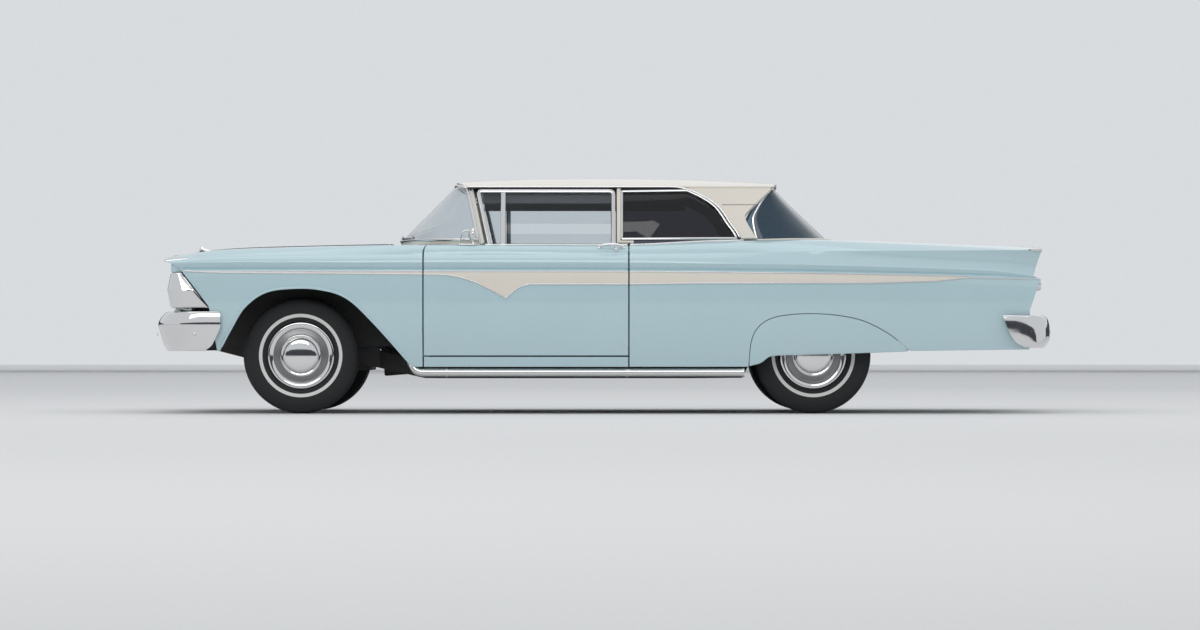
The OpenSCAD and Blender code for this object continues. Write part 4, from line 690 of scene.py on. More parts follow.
def skirt_panel():
    """Outer face keeps a panel line to the arch, inner face reaches its seat."""
    d = mix(ARCH_R[0, 0] + 0.03, ARCH_R[-1, 0] - 0.003, 1 - (1 - np.linspace(0, 1, 80)) ** 1.7)
    e = 0.001
    t = curve(ARCH_R, d + e, 1) - curve(ARCH_R, d - e, 1)
    n = coords(-t, np.full_like(t, 2 * e))
    n /= np.linalg.norm(n, axis=1, keepdims=True)
    rise = np.r_[0, 0.02, 0.06, np.linspace(0.12, 0.9, 10), 0.96, 0.985, 1]

    def face(gap, wall):
        """Face moved in from the arch by gap and from the side by wall."""
        p = coords(AXLE_R + ARCH * d, TYRE * curve(ARCH_R, d, 1)) - n * gap
        low = np.minimum(TYRE * curve(SKIRT_LOW, (p[:, 0] - AXLE_R) / ARCH, 1), p[:, 1] - 0.004)
        z = mix(low[:, None], p[:, 1][:, None], rise[None])
        x = np.repeat(p[:, :1], z.shape[1], 1)
        return coords(x, side_y(x, z) - wall, z)
    return face(0.004, 0), face(0.0015, 0.020)


def rocker_panel():
    """Straight strip under the door, on the body side."""
    x, z = plane(mix(DOOR_R + GAP / 2, DOOR_F - GAP / 2, spread(24)), SILL + ROCKER * spread(8))
    p = coords(x, side_y(x, z), z)
    return p, coords(x, np.full_like(x, HALF * 0.8588), z)


def lid_surface(x0, x1, n, crown, m=40):
    """Crowned sheet between the fender tops, a panel gap short of them: a parabola across."""
    x, v = plane(mix(x0, x1, spread(n)), -1 + 2 * spread(m))
    t = top(x)
    z = t[..., 1] + crown * (1 - v * v)
    return coords(x, -v * (t[..., 0] - GAP), z)


p = fender_panel()
fender_l = shell_arrays(p, inner_of(p, SHEET, 1.0))
pq = quarter_panel()
turn = 1 - smooth(AXLE_R, AXLE_R + ARCH * 0.6, pq[..., 0])
quarter_l = shell_arrays(pq, inner_of(pq, 0.060, turn))
door_l = shell_arrays(*door_panel())
skirt_l = shell_arrays(*skirt_panel())
rocker_l = shell_arrays(*rocker_panel(), hem=0.002)
for side in SIDES:
    add_mesh("fender_skin_" + side, sided(side, fender_l), PAINT, node="fender_" + side)
    add_mesh("quarter_skin_" + side, sided(side, quarter_l), PAINT, node="quarter_" + side)
    add_mesh("door_skin_" + side, sided(side, door_l), PAINT, "door_" + side, node="door_" + side)
add_mesh("skirt_skins", both(skirt_l), PAINT, node="skirts")
add_mesh("rocker_skins", both(rocker_l), PAINT, node="rockers")

HOOD_CROWN, TRUNK_CROWN = 0.024, 0.010
HOOD_REAR, HOOD_NOSE = DOOR_F + LEN * 0.0401, NOSE - LEN * 0.0172
hood = lid_surface(HOOD_REAR, HOOD_NOSE, 60, HOOD_CROWN)
shell("hood_skin", hood, hood - [0, 0, SHEET], PAINT, "hood", node="hood")
TRUNK_F, TRUNK_R = AXLE_R - REAR_OVER * 0.1437, TAIL + REAR_OVER * 0.0771
trunk = lid_surface(TRUNK_R, TRUNK_F, 50, TRUNK_CROWN)
shell("trunk_skin", trunk, trunk - [0, 0, SHEET], PAINT, "trunk_lid", node="trunk_lid")

# Roof, pillars and glass

ROOF_RAIL = BELT + WINDOW_H + GAP + SHEET
ROOF_HALF = GLASS_Y - np.tan(LEAN) * (ROOF_RAIL - BELT)
BOW = LEN * 0.0142


def door_at(s):
    """Place x at share s of the door's length behind its front edge."""
    return DOOR_F - DOOR_LEN * s


def on_glass(x, s, d=0.0):
    """Point of the side glass plane: x along the car, s up the glass from the belt line, d inwards."""
    x, s, d = np.broadcast_arrays(np.asarray(x, float), np.asarray(s, float), np.asarray(d, float))
    return coords(x, GLASS_Y - s * np.sin(LEAN) - d * np.cos(LEAN), BELT + s * np.cos(LEAN) - d * np.sin(LEAN))


GLASS_OUT = np.array([0, np.cos(LEAN), np.sin(LEAN)])


def roof_point(t, v):
    """Crowned roof: share t from rear to front, v from -1 to 1 across; a power curve across, ends dropped."""
    x0 = AXLE_R + LEN * 0.0439 - BOW * 0.55 * (1 - v * v) * (1 - t)
    x1 = door_at(0.204) + BOW * (1 - np.abs(v) ** 2.4)
    crown = ROOF - ROOF_RAIL - ROOF * 0.0197 * np.abs(2 * t - 1.1) ** 2.2
    return coords(mix(x0, x1, t), v * (ROOF_HALF + 0.006), ROOF_RAIL + crown * (1 - np.abs(v) ** 2.6))


t, v = plane(spread(48), -1 + 2 * spread(60))
p = roof_point(t, v)
q = p - coords(0, 0, mix(0.030, SHEET, v * v))
shell("roof_skin", p, q, CREAM, node="roof", hem=0.004)

PILLAR_F = np.array([[0.119, 0.548], [0.25, 0.527], [0.38, 0.500], [0.55, 0.470], [0.72, 0.430], [0.87, 0.365],
    [0.985, 0.296], [1.05, 0.270]])
PILLAR_B = np.array([[0.128, 0.626], [0.32, 0.591], [0.47, 0.571], [0.54, 0.571], [0.70, 0.612], [0.98, 0.694],
    [1.05, 0.700]])


def rear_pillar():
    """Panel between the curved rear edge of the quarter glass and the kinked edge of the rear window."""
    t = spread(40)
    w = spread(10)
    a = coords(DOOR_R - DOOR_LEN * curve(PILLAR_F, mix(0.119, 1.05, t), 1), WINDOW_H * UP * mix(0.119, 1.05, t))
    b = coords(DOOR_R - DOOR_LEN * curve(PILLAR_B, mix(0.128, 1.05, t), 1), WINDOW_H * UP * mix(0.128, 1.05, t))
    e = mix(a[:, None], b[:, None], w[None, :, None])
    return on_glass(e[..., 0], e[..., 1], 0.0), on_glass(e[..., 0], e[..., 1], 0.040)


add_mesh("rear_pillars", both(shell_arrays(*rear_pillar(), hem=0.004)), CREAM)
seam = on_glass(DOOR_R - DOOR_LEN * np.linspace(0.455, 0.622, 20), WINDOW_H * UP * 0.715)
add_mesh("pillar_seams", both(sweep(seam, bar(0.003, 0.002, 0.0008), GLASS_OUT)), SEAL)

WS_BASE = [door_at(0.262), LEN * 0.0905, HALF * 0.855, BELT + ROOF * 0.024]
WS_TOP = [door_at(0.207), LEN * 0.0153, HALF * 0.7285, ROOF_RAIL - ROOF * 0.007]


def oval(a, square):
    """Half oval in plan: forward and sideways shares at angle a in degrees, squarer as square grows."""
    c = np.where(np.abs(np.abs(a) - 90) < 1e-6, 0, np.abs(np.cos(np.radians(a))))
    return c ** (2 / square), np.sign(a) * np.abs(np.sin(np.radians(a))) ** (2 / square)


def ws_point(a, t, off=0.0):
    """Windshield between two half ovals: angle a round it, share t up it, moved in by off."""
    c, s = oval(a, 2.6)
    low = coords(WS_BASE[0] + (WS_BASE[1] - off) * c, (WS_BASE[2] - off) * s, WS_BASE[3])
    high = coords(WS_TOP[0] + (WS_TOP[1] - off) * c, (WS_TOP[2] - off) * s, WS_TOP[3] + ROOF * 0.0134 * c)
    return mix(low, high, np.asarray(t)[..., None])


def oval_angles(n):
    """Angles that space an oval about evenly: dense beside both ends and the corners."""
    u = np.linspace(-1, 1, n)
    return 90 * np.sign(u) * np.abs(u) ** 0.9


a, t = plane(oval_angles(97), np.linspace(0, 1, 16))
shell("windshield_glass", ws_point(a, t), ws_point(a, t, GLASS_T), GLASS, hem=0, node="windshield")

RW_BASE = [AXLE_R + LEN * 0.0607, LEN * 0.0821, HALF * 0.78]
RW_TOP = [AXLE_R + LEN * 0.0489, LEN * 0.0084, HALF * 0.7048, ROOF_RAIL - ROOF * 0.0127]


def rw_point(a, t, off=0.0):
    """Rear window: half ovals at base and top, its side edges pulled forward at mid height."""
    c, s = oval(a, 2.6)
    x, y = RW_BASE[0] - (RW_BASE[1] - off) * c, (RW_BASE[2] - off) * s
    tp = top(x)
    z = tp[..., 1] + 0.010 * (1 - (y / tp[..., 0]) ** 2) + OVER
    low = coords(x, y, z)
    high = coords(RW_TOP[0] - (RW_TOP[1] - off) * c, (RW_TOP[2] - off) * s, RW_TOP[3] + ROOF * 0.0085 * c)
    t = np.asarray(t) + 0 * c
    pull = LEN * 0.0112 * (1 - np.abs(2 * t - 0.9) ** 1.4) * np.abs(np.sin(np.radians(a))) ** 6
    return mix(low, high, t[..., None]) + coords(pull, 0, 0)


a, t = plane(oval_angles(97), np.linspace(0, 1, 24))
shell("rear_window_glass", rw_point(a, t), rw_point(a, t, GLASS_T), TINT, hem=0, node="rear_window")


def loop(point, n=90, m=24):
    """Closed edge of a wrapped window: along the base, up one side, back along the top and down the other."""
    a = oval_angles(n)
    t = np.linspace(0, 1, m)
    e = np.full(m, 90.0)
    return np.concatenate([point(a, np.zeros(n)), point(e, t)[1:], point(a[::-1], np.ones(n))[1:],
        point(-e, t[::-1])[1:-1]])


for name, edge in (("windshield_surround", loop(ws_point)), ("rear_window_surround", loop(rw_point))):
    out = edge - edge.mean(0)
    add_mesh(name, sweep(edge, bar(0.016, 0.014, 0.005), out, closed=True), CHROME)

# Front pillars, posts and the bar under the windshield
t = np.linspace((BELT + GAP - WS_BASE[3]) / (WS_TOP[3] - WS_BASE[3]), 1.02, 24)
edge = ws_point(np.full(24, 90.0), t)
add_mesh("front_pillars", both(sweep(edge + [-0.019, -0.017, 0], bar(0.034, 0.034, 0.008), [0, 1, 0])), CREAM)
add_mesh("pillar_bright_strips", both(sweep(edge + [-0.020, 0.0012, 0], bar(0.012, 0.006, 0.002), [0, 1, 0])), CHROME)

a = oval_angles(81)
o, i = ws_point(a, 0 * a), ws_point(a, 0 * a, 0.026)
low = np.where(o[:, 0] < DOOR_F + 0.016 + 0.030, BELT + GAP, BELT - 0.016 + SEAT)
high = np.full(len(a), WS_BASE[3] - SEAT)


def level(p, z):
    """Path p with its heights replaced by z."""
    return np.c_[p[:, :2], z]


rings = np.stack([level(o, low), level(o, high - 0.004), level(mix(o, i, 0.15), high), level(mix(o, i, 0.85), high),
    level(i, high - 0.004), level(i, low)], 1)
add_mesh("windshield_base", loft(rings), CREAM)

x = door_at(0.935) - GAP
lift = FRAME_T * np.tan(LEAN) + SEAT
high = (ROOF_RAIL - BELT + SHEET / 2) * UP
post = dense(np.array([[x - FRAME_W / 2, GAP + lift], [x - FRAME_W / 2, high]]), 0.03)
add_mesh("door_posts", both(sweep(on_glass(*post.T, FRAME_T / 2), bar(FRAME_W, FRAME_T, 0.005), GLASS_OUT)), CREAM)
foot = np.array([[x - 0.002, GAP + lift], [x - 0.002, GAP + lift + 0.014], [x - 0.100, GAP + lift + 0.014],
    [x - 0.100, lift + 0.001], [DOOR_R - GAP * 1.5, lift + 0.001], [DOOR_R - GAP * 1.5, GAP + lift]])
add_mesh("post_feet", both(plate(on_glass(*foot.T, FRAME_T), GLASS_OUT, FRAME_T)), CREAM)

# Side windows: glass, bright frames and rails
VENT_LOW, VENT_HIGH, POST_A, POST_B, WIN_REAR = 0.311, 0.247, 0.374, 0.398, 0.935
TOP_S = WINDOW_H * UP


def front_edge(s, inset=0.0):
    """Place x of the side window's front edge at slope height s: a straight lean."""
    return door_at(VENT_LOW) - inset * UP + (door_at(VENT_HIGH) - door_at(VENT_LOW)) * s / TOP_S


FW = FRAME_W + SEAT
main_glass = np.array([[door_at(POST_B) - SEAT, lift], [door_at(POST_B) - SEAT, TOP_S - FW],
    [door_at(WIN_REAR) + FW, TOP_S - FW], [door_at(WIN_REAR) + FW, lift]])
vent_glass = np.array([[front_edge(lift, FW), lift], [front_edge(TOP_S - FW, FW), TOP_S - FW],
    [door_at(POST_A) + SEAT, TOP_S - FW], [door_at(POST_A) + SEAT, lift]])
glass = [plate(on_glass(*g.T, FRAME_T / 2 + GLASS_T), GLASS_OUT, GLASS_T, 0.001) for g in (main_glass, vent_glass)]
frame_path = rounded([[door_at(VENT_LOW) - FRAME_W / 2 * UP, 0.004],
    [door_at(VENT_HIGH) - FRAME_W / 2 * UP - 0.006, TOP_S - FRAME_W / 2],
    [door_at(WIN_REAR) + FRAME_W / 2, TOP_S - FRAME_W / 2], [door_at(WIN_REAR) + FRAME_W / 2, 0.004]], 0.022)
frame_path = dense(frame_path, 0.012)
post = dense(np.array([[door_at((POST_A + POST_B) / 2), 0.004], [door_at((POST_A + POST_B) / 2), TOP_S - FRAME_W]]),
    0.03)
frames = [sweep(on_glass(*g.T, FRAME_T / 2), bar(w, FRAME_T, 0.006), GLASS_OUT) for g,
    w in ((frame_path, FRAME_W), (post, DOOR_LEN * (POST_B - POST_A)))]
for side in SIDES:
    add_mesh("door_window_" + side, sided(side, join(*glass)), GLASS, "door_" + side, node="door_glass_" + side)
    add_mesh("door_window_frame_" + side, sided(side, join(*frames)), CHROME, "door_" + side)

QX = door_at(WIN_REAR) - GAP - FRAME_W - SEAT
h = np.linspace(0.125, 0.97, 30)
edge_q = coords(DOOR_R - DOOR_LEN * curve(PILLAR_F, h, 1) + 0.016, TOP_S * h)
outline = np.concatenate([[[QX, TOP_S * 0.095], [QX, TOP_S * 0.97]], edge_q[::-1]])
# The quarter windows' dark tint is painted shade of the cabin behind them
add_mesh("quarter_windows", both(plate(on_glass(*outline.T, FRAME_T / 2 + GLASS_T), GLASS_OUT, GLASS_T, 0.001)),
    QUARTER_GLASS_PAINTED_SHADE, node="quarter_glass")
edge = dense(np.concatenate([[[QX - 0.006, TOP_S * 0.115]], [[QX - 0.006, TOP_S * 0.955]], edge_q[::-1] + [0.006, 0],
    [[QX - 0.006, TOP_S * 0.115]]])[:-1], 0.012)
add_mesh("quarter_window_frames", both(sweep(on_glass(*edge.T, 0.008), bar(0.014, 0.022, 0.004), GLASS_OUT,
    closed=True)), CHROME)

h = np.linspace(0.145, 0.95, 30)
down = coords(DOOR_R - DOOR_LEN * curve(PILLAR_F, h, 1) + 0.004, TOP_S * h)[::-1]
rail = dense(rounded(np.concatenate([[[door_at(0.216), TOP_S + 0.011]], [[DOOR_R - DOOR_LEN * 0.245, TOP_S + 0.011]],
    down]), 0.05), 0.012)
add_mesh("drip_rails", both(sweep(on_glass(*rail.T, -0.004), bar(0.011, 0.012, 0.004), GLASS_OUT)), CHROME)

# Side trim: cream band between two steel lines, and belt mouldings

BAND_LOW = { "fender": np.array([[1.068, 0.8255], [1.4, 0.829], [1.9, 0.8325], [2.25, 0.836], [2.478, 0.845]]),
    "door": np.array([[-0.149, 0.767], [0.30, 0.767], [0.440, 0.767], [0.494, 0.750], [0.535, 0.721], [0.573, 0.683],
    [0.657, 0.731], [0.752, 0.779], [0.846, 0.809], [0.928, 0.822], [1.059, 0.826]]),
    "quarter": np.array([[-2.162, 0.806], [-1.967, 0.786], [-1.549, 0.774], [-0.573, 0.773], [-0.158, 0.768]])}
BAND_DROP = 0.0065


def on_side(x, z, out=0.0):
    """Point of the lower body side, raised outwards by out."""
    x, z = np.broadcast_arrays(np.asarray(x, float), np.asarray(z, float))
    return coords(x, side_y(x, z) + out, z)


def band(name):
    """Raised band from its lower line up to just below the crease, and the steel lines along both."""
    low = BAND_LOW[name]
    x = np.unique(np.r_[np.linspace(low[0, 0], low[-1, 0], 90), low[:, 0]])
    zl = np.interp(x, low[:, 0], low[:, 1])
    zh = np.maximum(bz(x, CREASE) - BAND_DROP, zl + 0.001)
    w = np.linspace(0, 1, 7)
    z = mix(zl[:, None], zh[:, None], w[None])
    xx = np.repeat(x[:, None], 7, 1)
    fill = shell_arrays(on_side(xx, z, 0.0022), on_side(xx, z, -0.0015), hem=0)
    lines = []
    for zz in (zl, zh):
        pth = dense(on_side(x, zz, 0.0015), 0.012)
        lines.append(sweep(pth, bar(0.009, 0.007, 0.003), [0, 1, 0]))
    return fill, join(*lines)


for side in SIDES:
    for name, body in (("fender", "body"), ("door", "door_" + side), ("quarter", "body")):
        fill, lines = band(name)
        add_mesh(name + "_band_" + side, sided(side, fill), CREAM, body)
        add_mesh(name + "_band_lines_" + side, sided(side, lines), CHROME, body)
x = np.linspace(-2.581, -2.150, 40)
spear = on_side(x, np.interp(x, [-2.581, -2.162], [0.797, 0.806]), 0.001)
add_mesh("spears", both(sweep(spear, bar(0.009, 0.007, 0.003), [0, 1, 0],
    size=np.interp(x, [-2.581, -2.45], [0.4, 1]))), CHROME)


def belt_line(x, t, out=0.002):
    """Path along the shoulder at share t of the way from fin to top, raised by out."""
    q = bow(fin(x), top(x), HALF * curve(BODY, x / LEN, TOP_SAG), np.full(x.shape, t))
    return np.c_[x, q[:, 0], q[:, 1] + out]


x = np.linspace(DOOR_R + GAP, door_at(0.30), 60)
moulding = sweep(belt_line(x, 0.965), bar(0.016, 0.012, 0.004), [0, 0.3, 1])
for side in SIDES:
    add_mesh("belt_moulding_" + side, sided(side, moulding), CHROME, "door_" + side)
x = np.linspace(DOOR_R - DOOR_LEN * 0.56, DOOR_R - GAP, 50)
add_mesh("quarter_mouldings", both(sweep(belt_line(x, 0.965), bar(0.016, 0.012, 0.004), [0, 0.3, 1])), CHROME)

# Bumpers

def bumper(x0, reach, square, profile, sign):
    """Rounded profile swept round the end of the car on a squarish half oval; the profile's depth fades round the
    side."""
    pr = dense(rounded(profile, 0.022, 8), 0.008)
    a = oval_angles(161)
    c, s = oval(a, square)
    side = BUMPER_Y

    def face(off):
        """Face of the bar, moved in by off."""
        d = pr[None, :, 0] + off
        w = pr[None, :, 0] * 0.25 + off
        cut = pr[None, :, 2]
        x = x0 + cut + (reach - d - cut) * c[:, None]
        return coords(sign * x, (side - w) * s[:, None], pr[None, :, 1])
    return shell_arrays(face(0), face(0.006), hem=0.002)


def bumper_side(x, x0, reach, square):
    """Half width of a bumper at place x, solved from the oval's forward share."""
    c = np.clip((x - x0) / reach, 0, 1) ** (square / 2)
    return BUMPER_Y * np.sqrt(1 - c * c) ** (2 / square)


def bolt_head(place, axis, r=0.011):
    """Domed bolt head of radius r."""
    return turned([[0, 0.006], [r * 0.55, 0.0052], [r * 0.9, 0.002], [r, -0.002], [0, -0.003]], 24, place, axis)


BF, BR = FRONT_OVER * 0.4875, REAR_OVER * 0.2313
bf = np.array([[1, 0, 0.25], [0.645, 0.128, 0.15], [0.129, 0.581, 0.03], [0, 0.709, 0.03], [0.484, 0.915, 0.035],
    [0.935, 1, 0.04]])
br = np.array([[1, 0, 0.46], [0.25, 0.135, 0.29], [0, 0.365, 0.19], [0, 0.687, 0.11], [0.3, 0.927, 0.06],
    [1, 1, 0.04]])
bf = bf * [FRONT_OVER * 0.0703, ROOF * 0.1648, BF] + [0, ROOF * 0.262, 0]
br = br * [REAR_OVER * 0.028, ROOF * 0.1352, BR] + [0, ROOF * 0.2761, 0]
RAIL_NOSE, RAIL_REAR, RAIL_H, RAIL_END = ROOF * 0.2746, ROOF * 0.2817, ROOF * 0.0704, LEN * 0.028
add_mesh("front_bumper_bar", bumper(NOSE - BF, BF, SQUARE_F, bf, 1), CHROME, node="bumper_front")
add_mesh("rear_bumper_bar", bumper(NOSE - BR, BR, 5, br, -1), CHROME, node="bumper_rear")
for name, x, z, x0, reach, square, sgn in (("front", 2.416, 0.472, NOSE - BF, BF, SQUARE_F, 1),
        ("rear", 2.528, 0.487, NOSE - BR, BR, 5, -1)):
    y = bumper_side(x, x0, reach, square) - (0.001 if sgn > 0 else 0.0005)
    ends = [bolt_head([sgn * x, y, z], [0, 1, 0])]
    ends += [bolt_head([sgn * (NOSE - (0.011 if sgn > 0 else 0.0)), y2, z], [sgn, 0, 0]) for y2 in (0.36, 0.62)]
    add_mesh(name + "_bumper_bolts", both(join(*ends)), CHROME)
y0 = HALF * 0.3307
stay = block([NOSE - RAIL_END + SEAT, y0, RAIL_NOSE + RAIL_H - 0.040], [NOSE - 0.022, y0 + 0.060, RAIL_NOSE + RAIL_H],
    0.004)
y0 = HALF * 0.4245
stay_r = block([-NOSE + 0.005, y0, RAIL_REAR + 0.040], [-NOSE + RAIL_END - SEAT, y0 + 0.060, RAIL_REAR + 0.080],
    0.004)
add_mesh("bumper_stays", both(join(stay, stay_r)), CHASSIS)

# Wheels and tyres

def wheel_profile():
    """Cover from the middle out, then rim flange, barrel, inner flange, web and drum: (radius, height) with height
    outwards."""
    cover = np.array([[0, 1.0], [0.10, 0.992], [0.22, 0.96], [0.34, 0.905], [0.44, 0.83], [0.505, 0.74],
        [0.520, 0.64], [0.535, 0.56], [0.555, 0.56], [0.575, 0.605], [0.595, 0.62], [0.612, 0.60], [0.628, 0.50],
        [0.640, 0.42], [0.655, 0.40], [0.660, 0.425], [0.672, 0.415], [0.677, 0.375], [0.700, 0.35], [0.705, 0.375],
        [0.717, 0.362], [0.722, 0.325], [0.745, 0.295], [0.750, 0.32], [0.762, 0.305], [0.767, 0.27], [0.785, 0.245],
        [0.800, 0.24], [0.812, 0.27], [0.822, 0.35], [0.835, 0.385], [0.88, 0.45], [0.93, 0.50], [0.965, 0.49],
        [0.990, 0.455], [1.0, 0.42], [1.0, 0.28]])
    bead = BEAD
    cover = cover * [RIM, 0.050] + [0, 0.048]
    back = np.array([[bead, 0.058], [bead, -0.058], [RIM, -0.062], [RIM, -0.070], [bead - 0.012, -0.058],
        [bead - 0.012, -0.010], [0.145, -0.010], [0.145, -0.056], [0.0205, -0.056], [0.0205, 0.020], [0, 0.020]])
    return np.concatenate([cover, back])


def tyre_mesh(place, s, n=240):
    """Tyre section turned about the axle; four zigzag grooves and shoulder cuts are sunk into the crown by angle and
    width."""
    low = BEAD + SEAT
    sec = np.array([[0, 0.58], [0.06, 0.60], [0.125, 0.61], [0.16, 0.80], [0.24, 0.88], [0.34, 0.95], [0.44, 0.988],
        [0.52, 1], [0.61, 0.992], [0.70, 0.97], [0.78, 0.93], [0.86, 0.88], [0.91, 0.82], [0.955, 0.74]])
    crown = np.linspace(0.70, -0.70, 47)
    side = coords(mix(low, TYRE / 2, sec[:, 0]), TYRE_W / 2 * sec[:, 1])
    a = circle(n)
    k = np.arange(n) % 4
    zig = np.where(k < 2, k / 2, 2 - k / 2) - 0.5
    w = crown[None] + 0.035 * zig[:, None]
    depth = np.zeros_like(w)
    for c in (-0.44, -0.15, 0.15, 0.44):
        depth = np.maximum(depth, 0.007 * smooth(0.055, 0.030, np.abs(w - c)))
    cuts = (k < 1)[:, None] & (np.abs(crown)[None] > 0.52)
    depth = np.maximum(depth, 0.004 * cuts)
    top_r = TYRE / 2 - 0.0075 * (np.abs(crown) / 0.74) ** 3
    r = np.concatenate([np.broadcast_to(side[:, 0], (n, len(side))), top_r[None] - depth,
        np.broadcast_to(side[::-1, 0], (n, len(side)))], 1)
    h = np.concatenate([side[:, 1], crown * TYRE_W / 2, -side[::-1, 1]])
    ax = np.array([0, s, 0.0])
    ring = coords(np.cos(a), 0, np.sin(a))
    v = np.asarray(place) + ring[:, None] * r[..., None] + ax * h[None, :, None]
    return loft(v, closed=True)


WP = wheel_profile()
for name, x, y, s in (("fl", AXLE_F, TRACK_F / 2, 1), ("fr", AXLE_F, -TRACK_F / 2, -1),
        ("rl", AXLE_R, TRACK_R / 2, 1), ("rr", AXLE_R, -TRACK_R / 2, -1)):
    c, b = np.array([x, y, AXLE_Z]), "wheel_" + name
    v, f = turned(WP, 96, c, [0, s, 0])
    o = add_mesh("wheel_cover_" + name, (v, f), CHROME, b, node="wheel_" + name, sharp=40)
    o.data.materials.append(COVER)
    mid = np.concatenate([v[k].mean(1) for k in f]) - c
    r = np.hypot(mid[:, 0], mid[:, 2]) / RIM
    o.data.polygons.foreach_set("material_index",
        ((r > 0.634) & (r < 0.812) & (mid[:, 1] * s > 0.05)).astype(np.int32))
    add_mesh("tyre_tread_" + name, tyre_mesh(c, s), RUBBER, b, node="tyre_" + name, sharp=30)
    low = BEAD + SEAT
    rr = np.linspace(0.228, 0.248, 6)
    hh = TYRE_W / 2 * np.interp((rr - low) / (TYRE / 2 - low), [0.16, 0.20, 0.24, 0.30, 0.36, 0.44, 0.52],
        [0.80, 0.845, 0.88, 0.925, 0.96, 0.988, 1])
    ring = np.concatenate([coords(rr, hh + 0.0007), coords(rr, hh - 0.002)[::-1]])
    add_mesh("white_stripe_" + name, lathe(ring, 120, c, [0, s, 0]), WHITEWALL, b, slot="tyre")

# Front end: end caps, grille, lamps, nose panel and bright tips

GRILLE_F = NOSE - FRONT_OVER * 0.127
GRILLE_D = FRONT_OVER * 0.0794
GRILLE_LOW, GRILLE_HIGH = ROOF * 0.4423, ROOF * 0.5887
GRILLE_Y = HALF * 0.8292
LAMP_Z = (GRILLE_LOW + GRILLE_HIGH) / 2


def end_cap(off):
    """Corner of the grille: a quarter oval in plan from the grille to the fender's front edge, with a level peak at
    mid height."""
    t, u = plane(np.linspace(0, 1, 33), np.r_[0, 0.01, np.linspace(0.03, 0.97, 40), 0.99, 1])
    z = mix(GRILLE_LOW, GRILLE_HIGH, t)
    f = (z - NOSE_Z) / (bz(NOSE - FRONT_OVER * NOSE_EDGE[2], CREASE) - NOSE_Z)
    x0 = NOSE - FRONT_OVER * np.interp(f, [0, 0.55, 1], NOSE_EDGE[:3]) + GAP
    peak = 0.020 * (1 - np.abs(2 * t - 1))
    c, s = oval(90 * (1 - u), 3)
    y1 = GRILLE_Y - OVER
    return coords(x0 + (GRILLE_F + peak - off - x0) * s, y1 + (side_y(x0, z) + peak - off - y1) * c, z)


def grille_bars():
    """Surround, seven level bars and thin uprights behind them."""
    x = GRILLE_F - GRILLE_D / 2
    e = 0.008
    ring = rounded([[x, 0, GRILLE_LOW + e], [x, GRILLE_Y - e, GRILLE_LOW + e], [x, GRILLE_Y - e, GRILLE_HIGH - e],
        [x, e - GRILLE_Y, GRILLE_HIGH - e], [x, e - GRILLE_Y, GRILLE_LOW + e], [x, -0.01, GRILLE_LOW + e]], 0.012)
    parts = [sweep(dense(ring, 0.02), bar(0.016, GRILLE_D, 0.004), [1, 0, 0], closed=True)]
    for z in GRILLE_LOW + (GRILLE_HIGH - GRILLE_LOW) / 8 * np.arange(1, 8):
        path = coords(GRILLE_F - GRILLE_D * 0.45, np.linspace(-GRILLE_Y, GRILLE_Y, 41), z)
        parts.append(sweep(path, bar(0.0065, GRILLE_D * 0.5, 0.003), [1, 0, 0]))
    for y in np.linspace(-0.72, 0.72, 25):
        parts.append(block([GRILLE_F - GRILLE_D * 0.78, y - 0.0015, GRILLE_LOW + 0.01],
            [GRILLE_F - GRILLE_D * 0.55, y + 0.0015, GRILLE_HIGH - 0.01], 0.001))
    back = NOSE - FRONT_OVER * 0.2948 + 0.024 + SEAT
    for sy in (-1, 1):
        for z in (GRILLE_LOW, GRILLE_HIGH - 0.016):
            y = sy * HALF * 0.4
            parts.append(block([back, y - 0.016, z], [GRILLE_F - GRILLE_D + 0.002, y + 0.016, z + 0.016], 0.003))
    return join(*parts)


cap = shell_arrays(end_cap(0), end_cap(SHEET), hem=0.003)
add_mesh("grille_end_caps", both(cap), CHROME, sharp=22)
add_mesh("grille_bars", grille_bars(), CHROME, node="grille")
bezels, lenses = [], []
for y in (-0.68, -0.50, 0.50, 0.68):
    c, r, x = [GRILLE_F - GRILLE_D * 0.2 + SEAT, y * HALF, LAMP_Z], (GRILLE_HIGH - GRILLE_LOW) * 0.351, GRILLE_D * 0.4
    bezels.append(lathe([[r * 0.86, 0.004], [r, 0.0], [r, x * 0.7], [r * 0.985, x * 0.93], [r * 0.94, x],
        [r * 0.88, x * 0.92], [r * 0.85, x * 0.7]], 64, c, [1, 0, 0]))
    lenses.append(turned([[0, x * 0.96], [r * 0.3, x * 0.92], [r * 0.6, x * 0.80], [r * 0.8, x * 0.62],
        [r * 0.855, x * 0.5], [r * 0.855, 0.004], [0, 0.004]], 64, c, [1, 0, 0]))
add_mesh("headlamp_bezels", join(*bezels), CHROME)
add_mesh("headlamp_lenses", join(*lenses), LAMP, node="headlamps", slot="lamp_glass")

HEAD = HOOD_NOSE - GAP
t, y = plane(spread(10), GRILLE_Y * (-1 + 2 * spread(60)))
u = np.minimum(1, np.abs(y) / (top(np.array(HEAD))[0] - GAP))
high = top(np.array(HEAD))[1] + HOOD_CROWN * (1 - u * u) - SHEET - GAP
p = coords(mix(GRILLE_F - GRILLE_D * 0.15, HEAD, t * t), y, mix(GRILLE_HIGH + SEAT, high, t))
shell("nose_panel_skin", p, p - [SHEET, 0, 0], PAINT, node="nose_panel", hem=0.002)


nose_block = block([NOSE - 0.200, 0.832, GRILLE_HIGH + 0.001], [NOSE - 0.117, 0.924, 0.884], 0.008)
add_mesh("nose_corners", both(nose_block), PAINT)


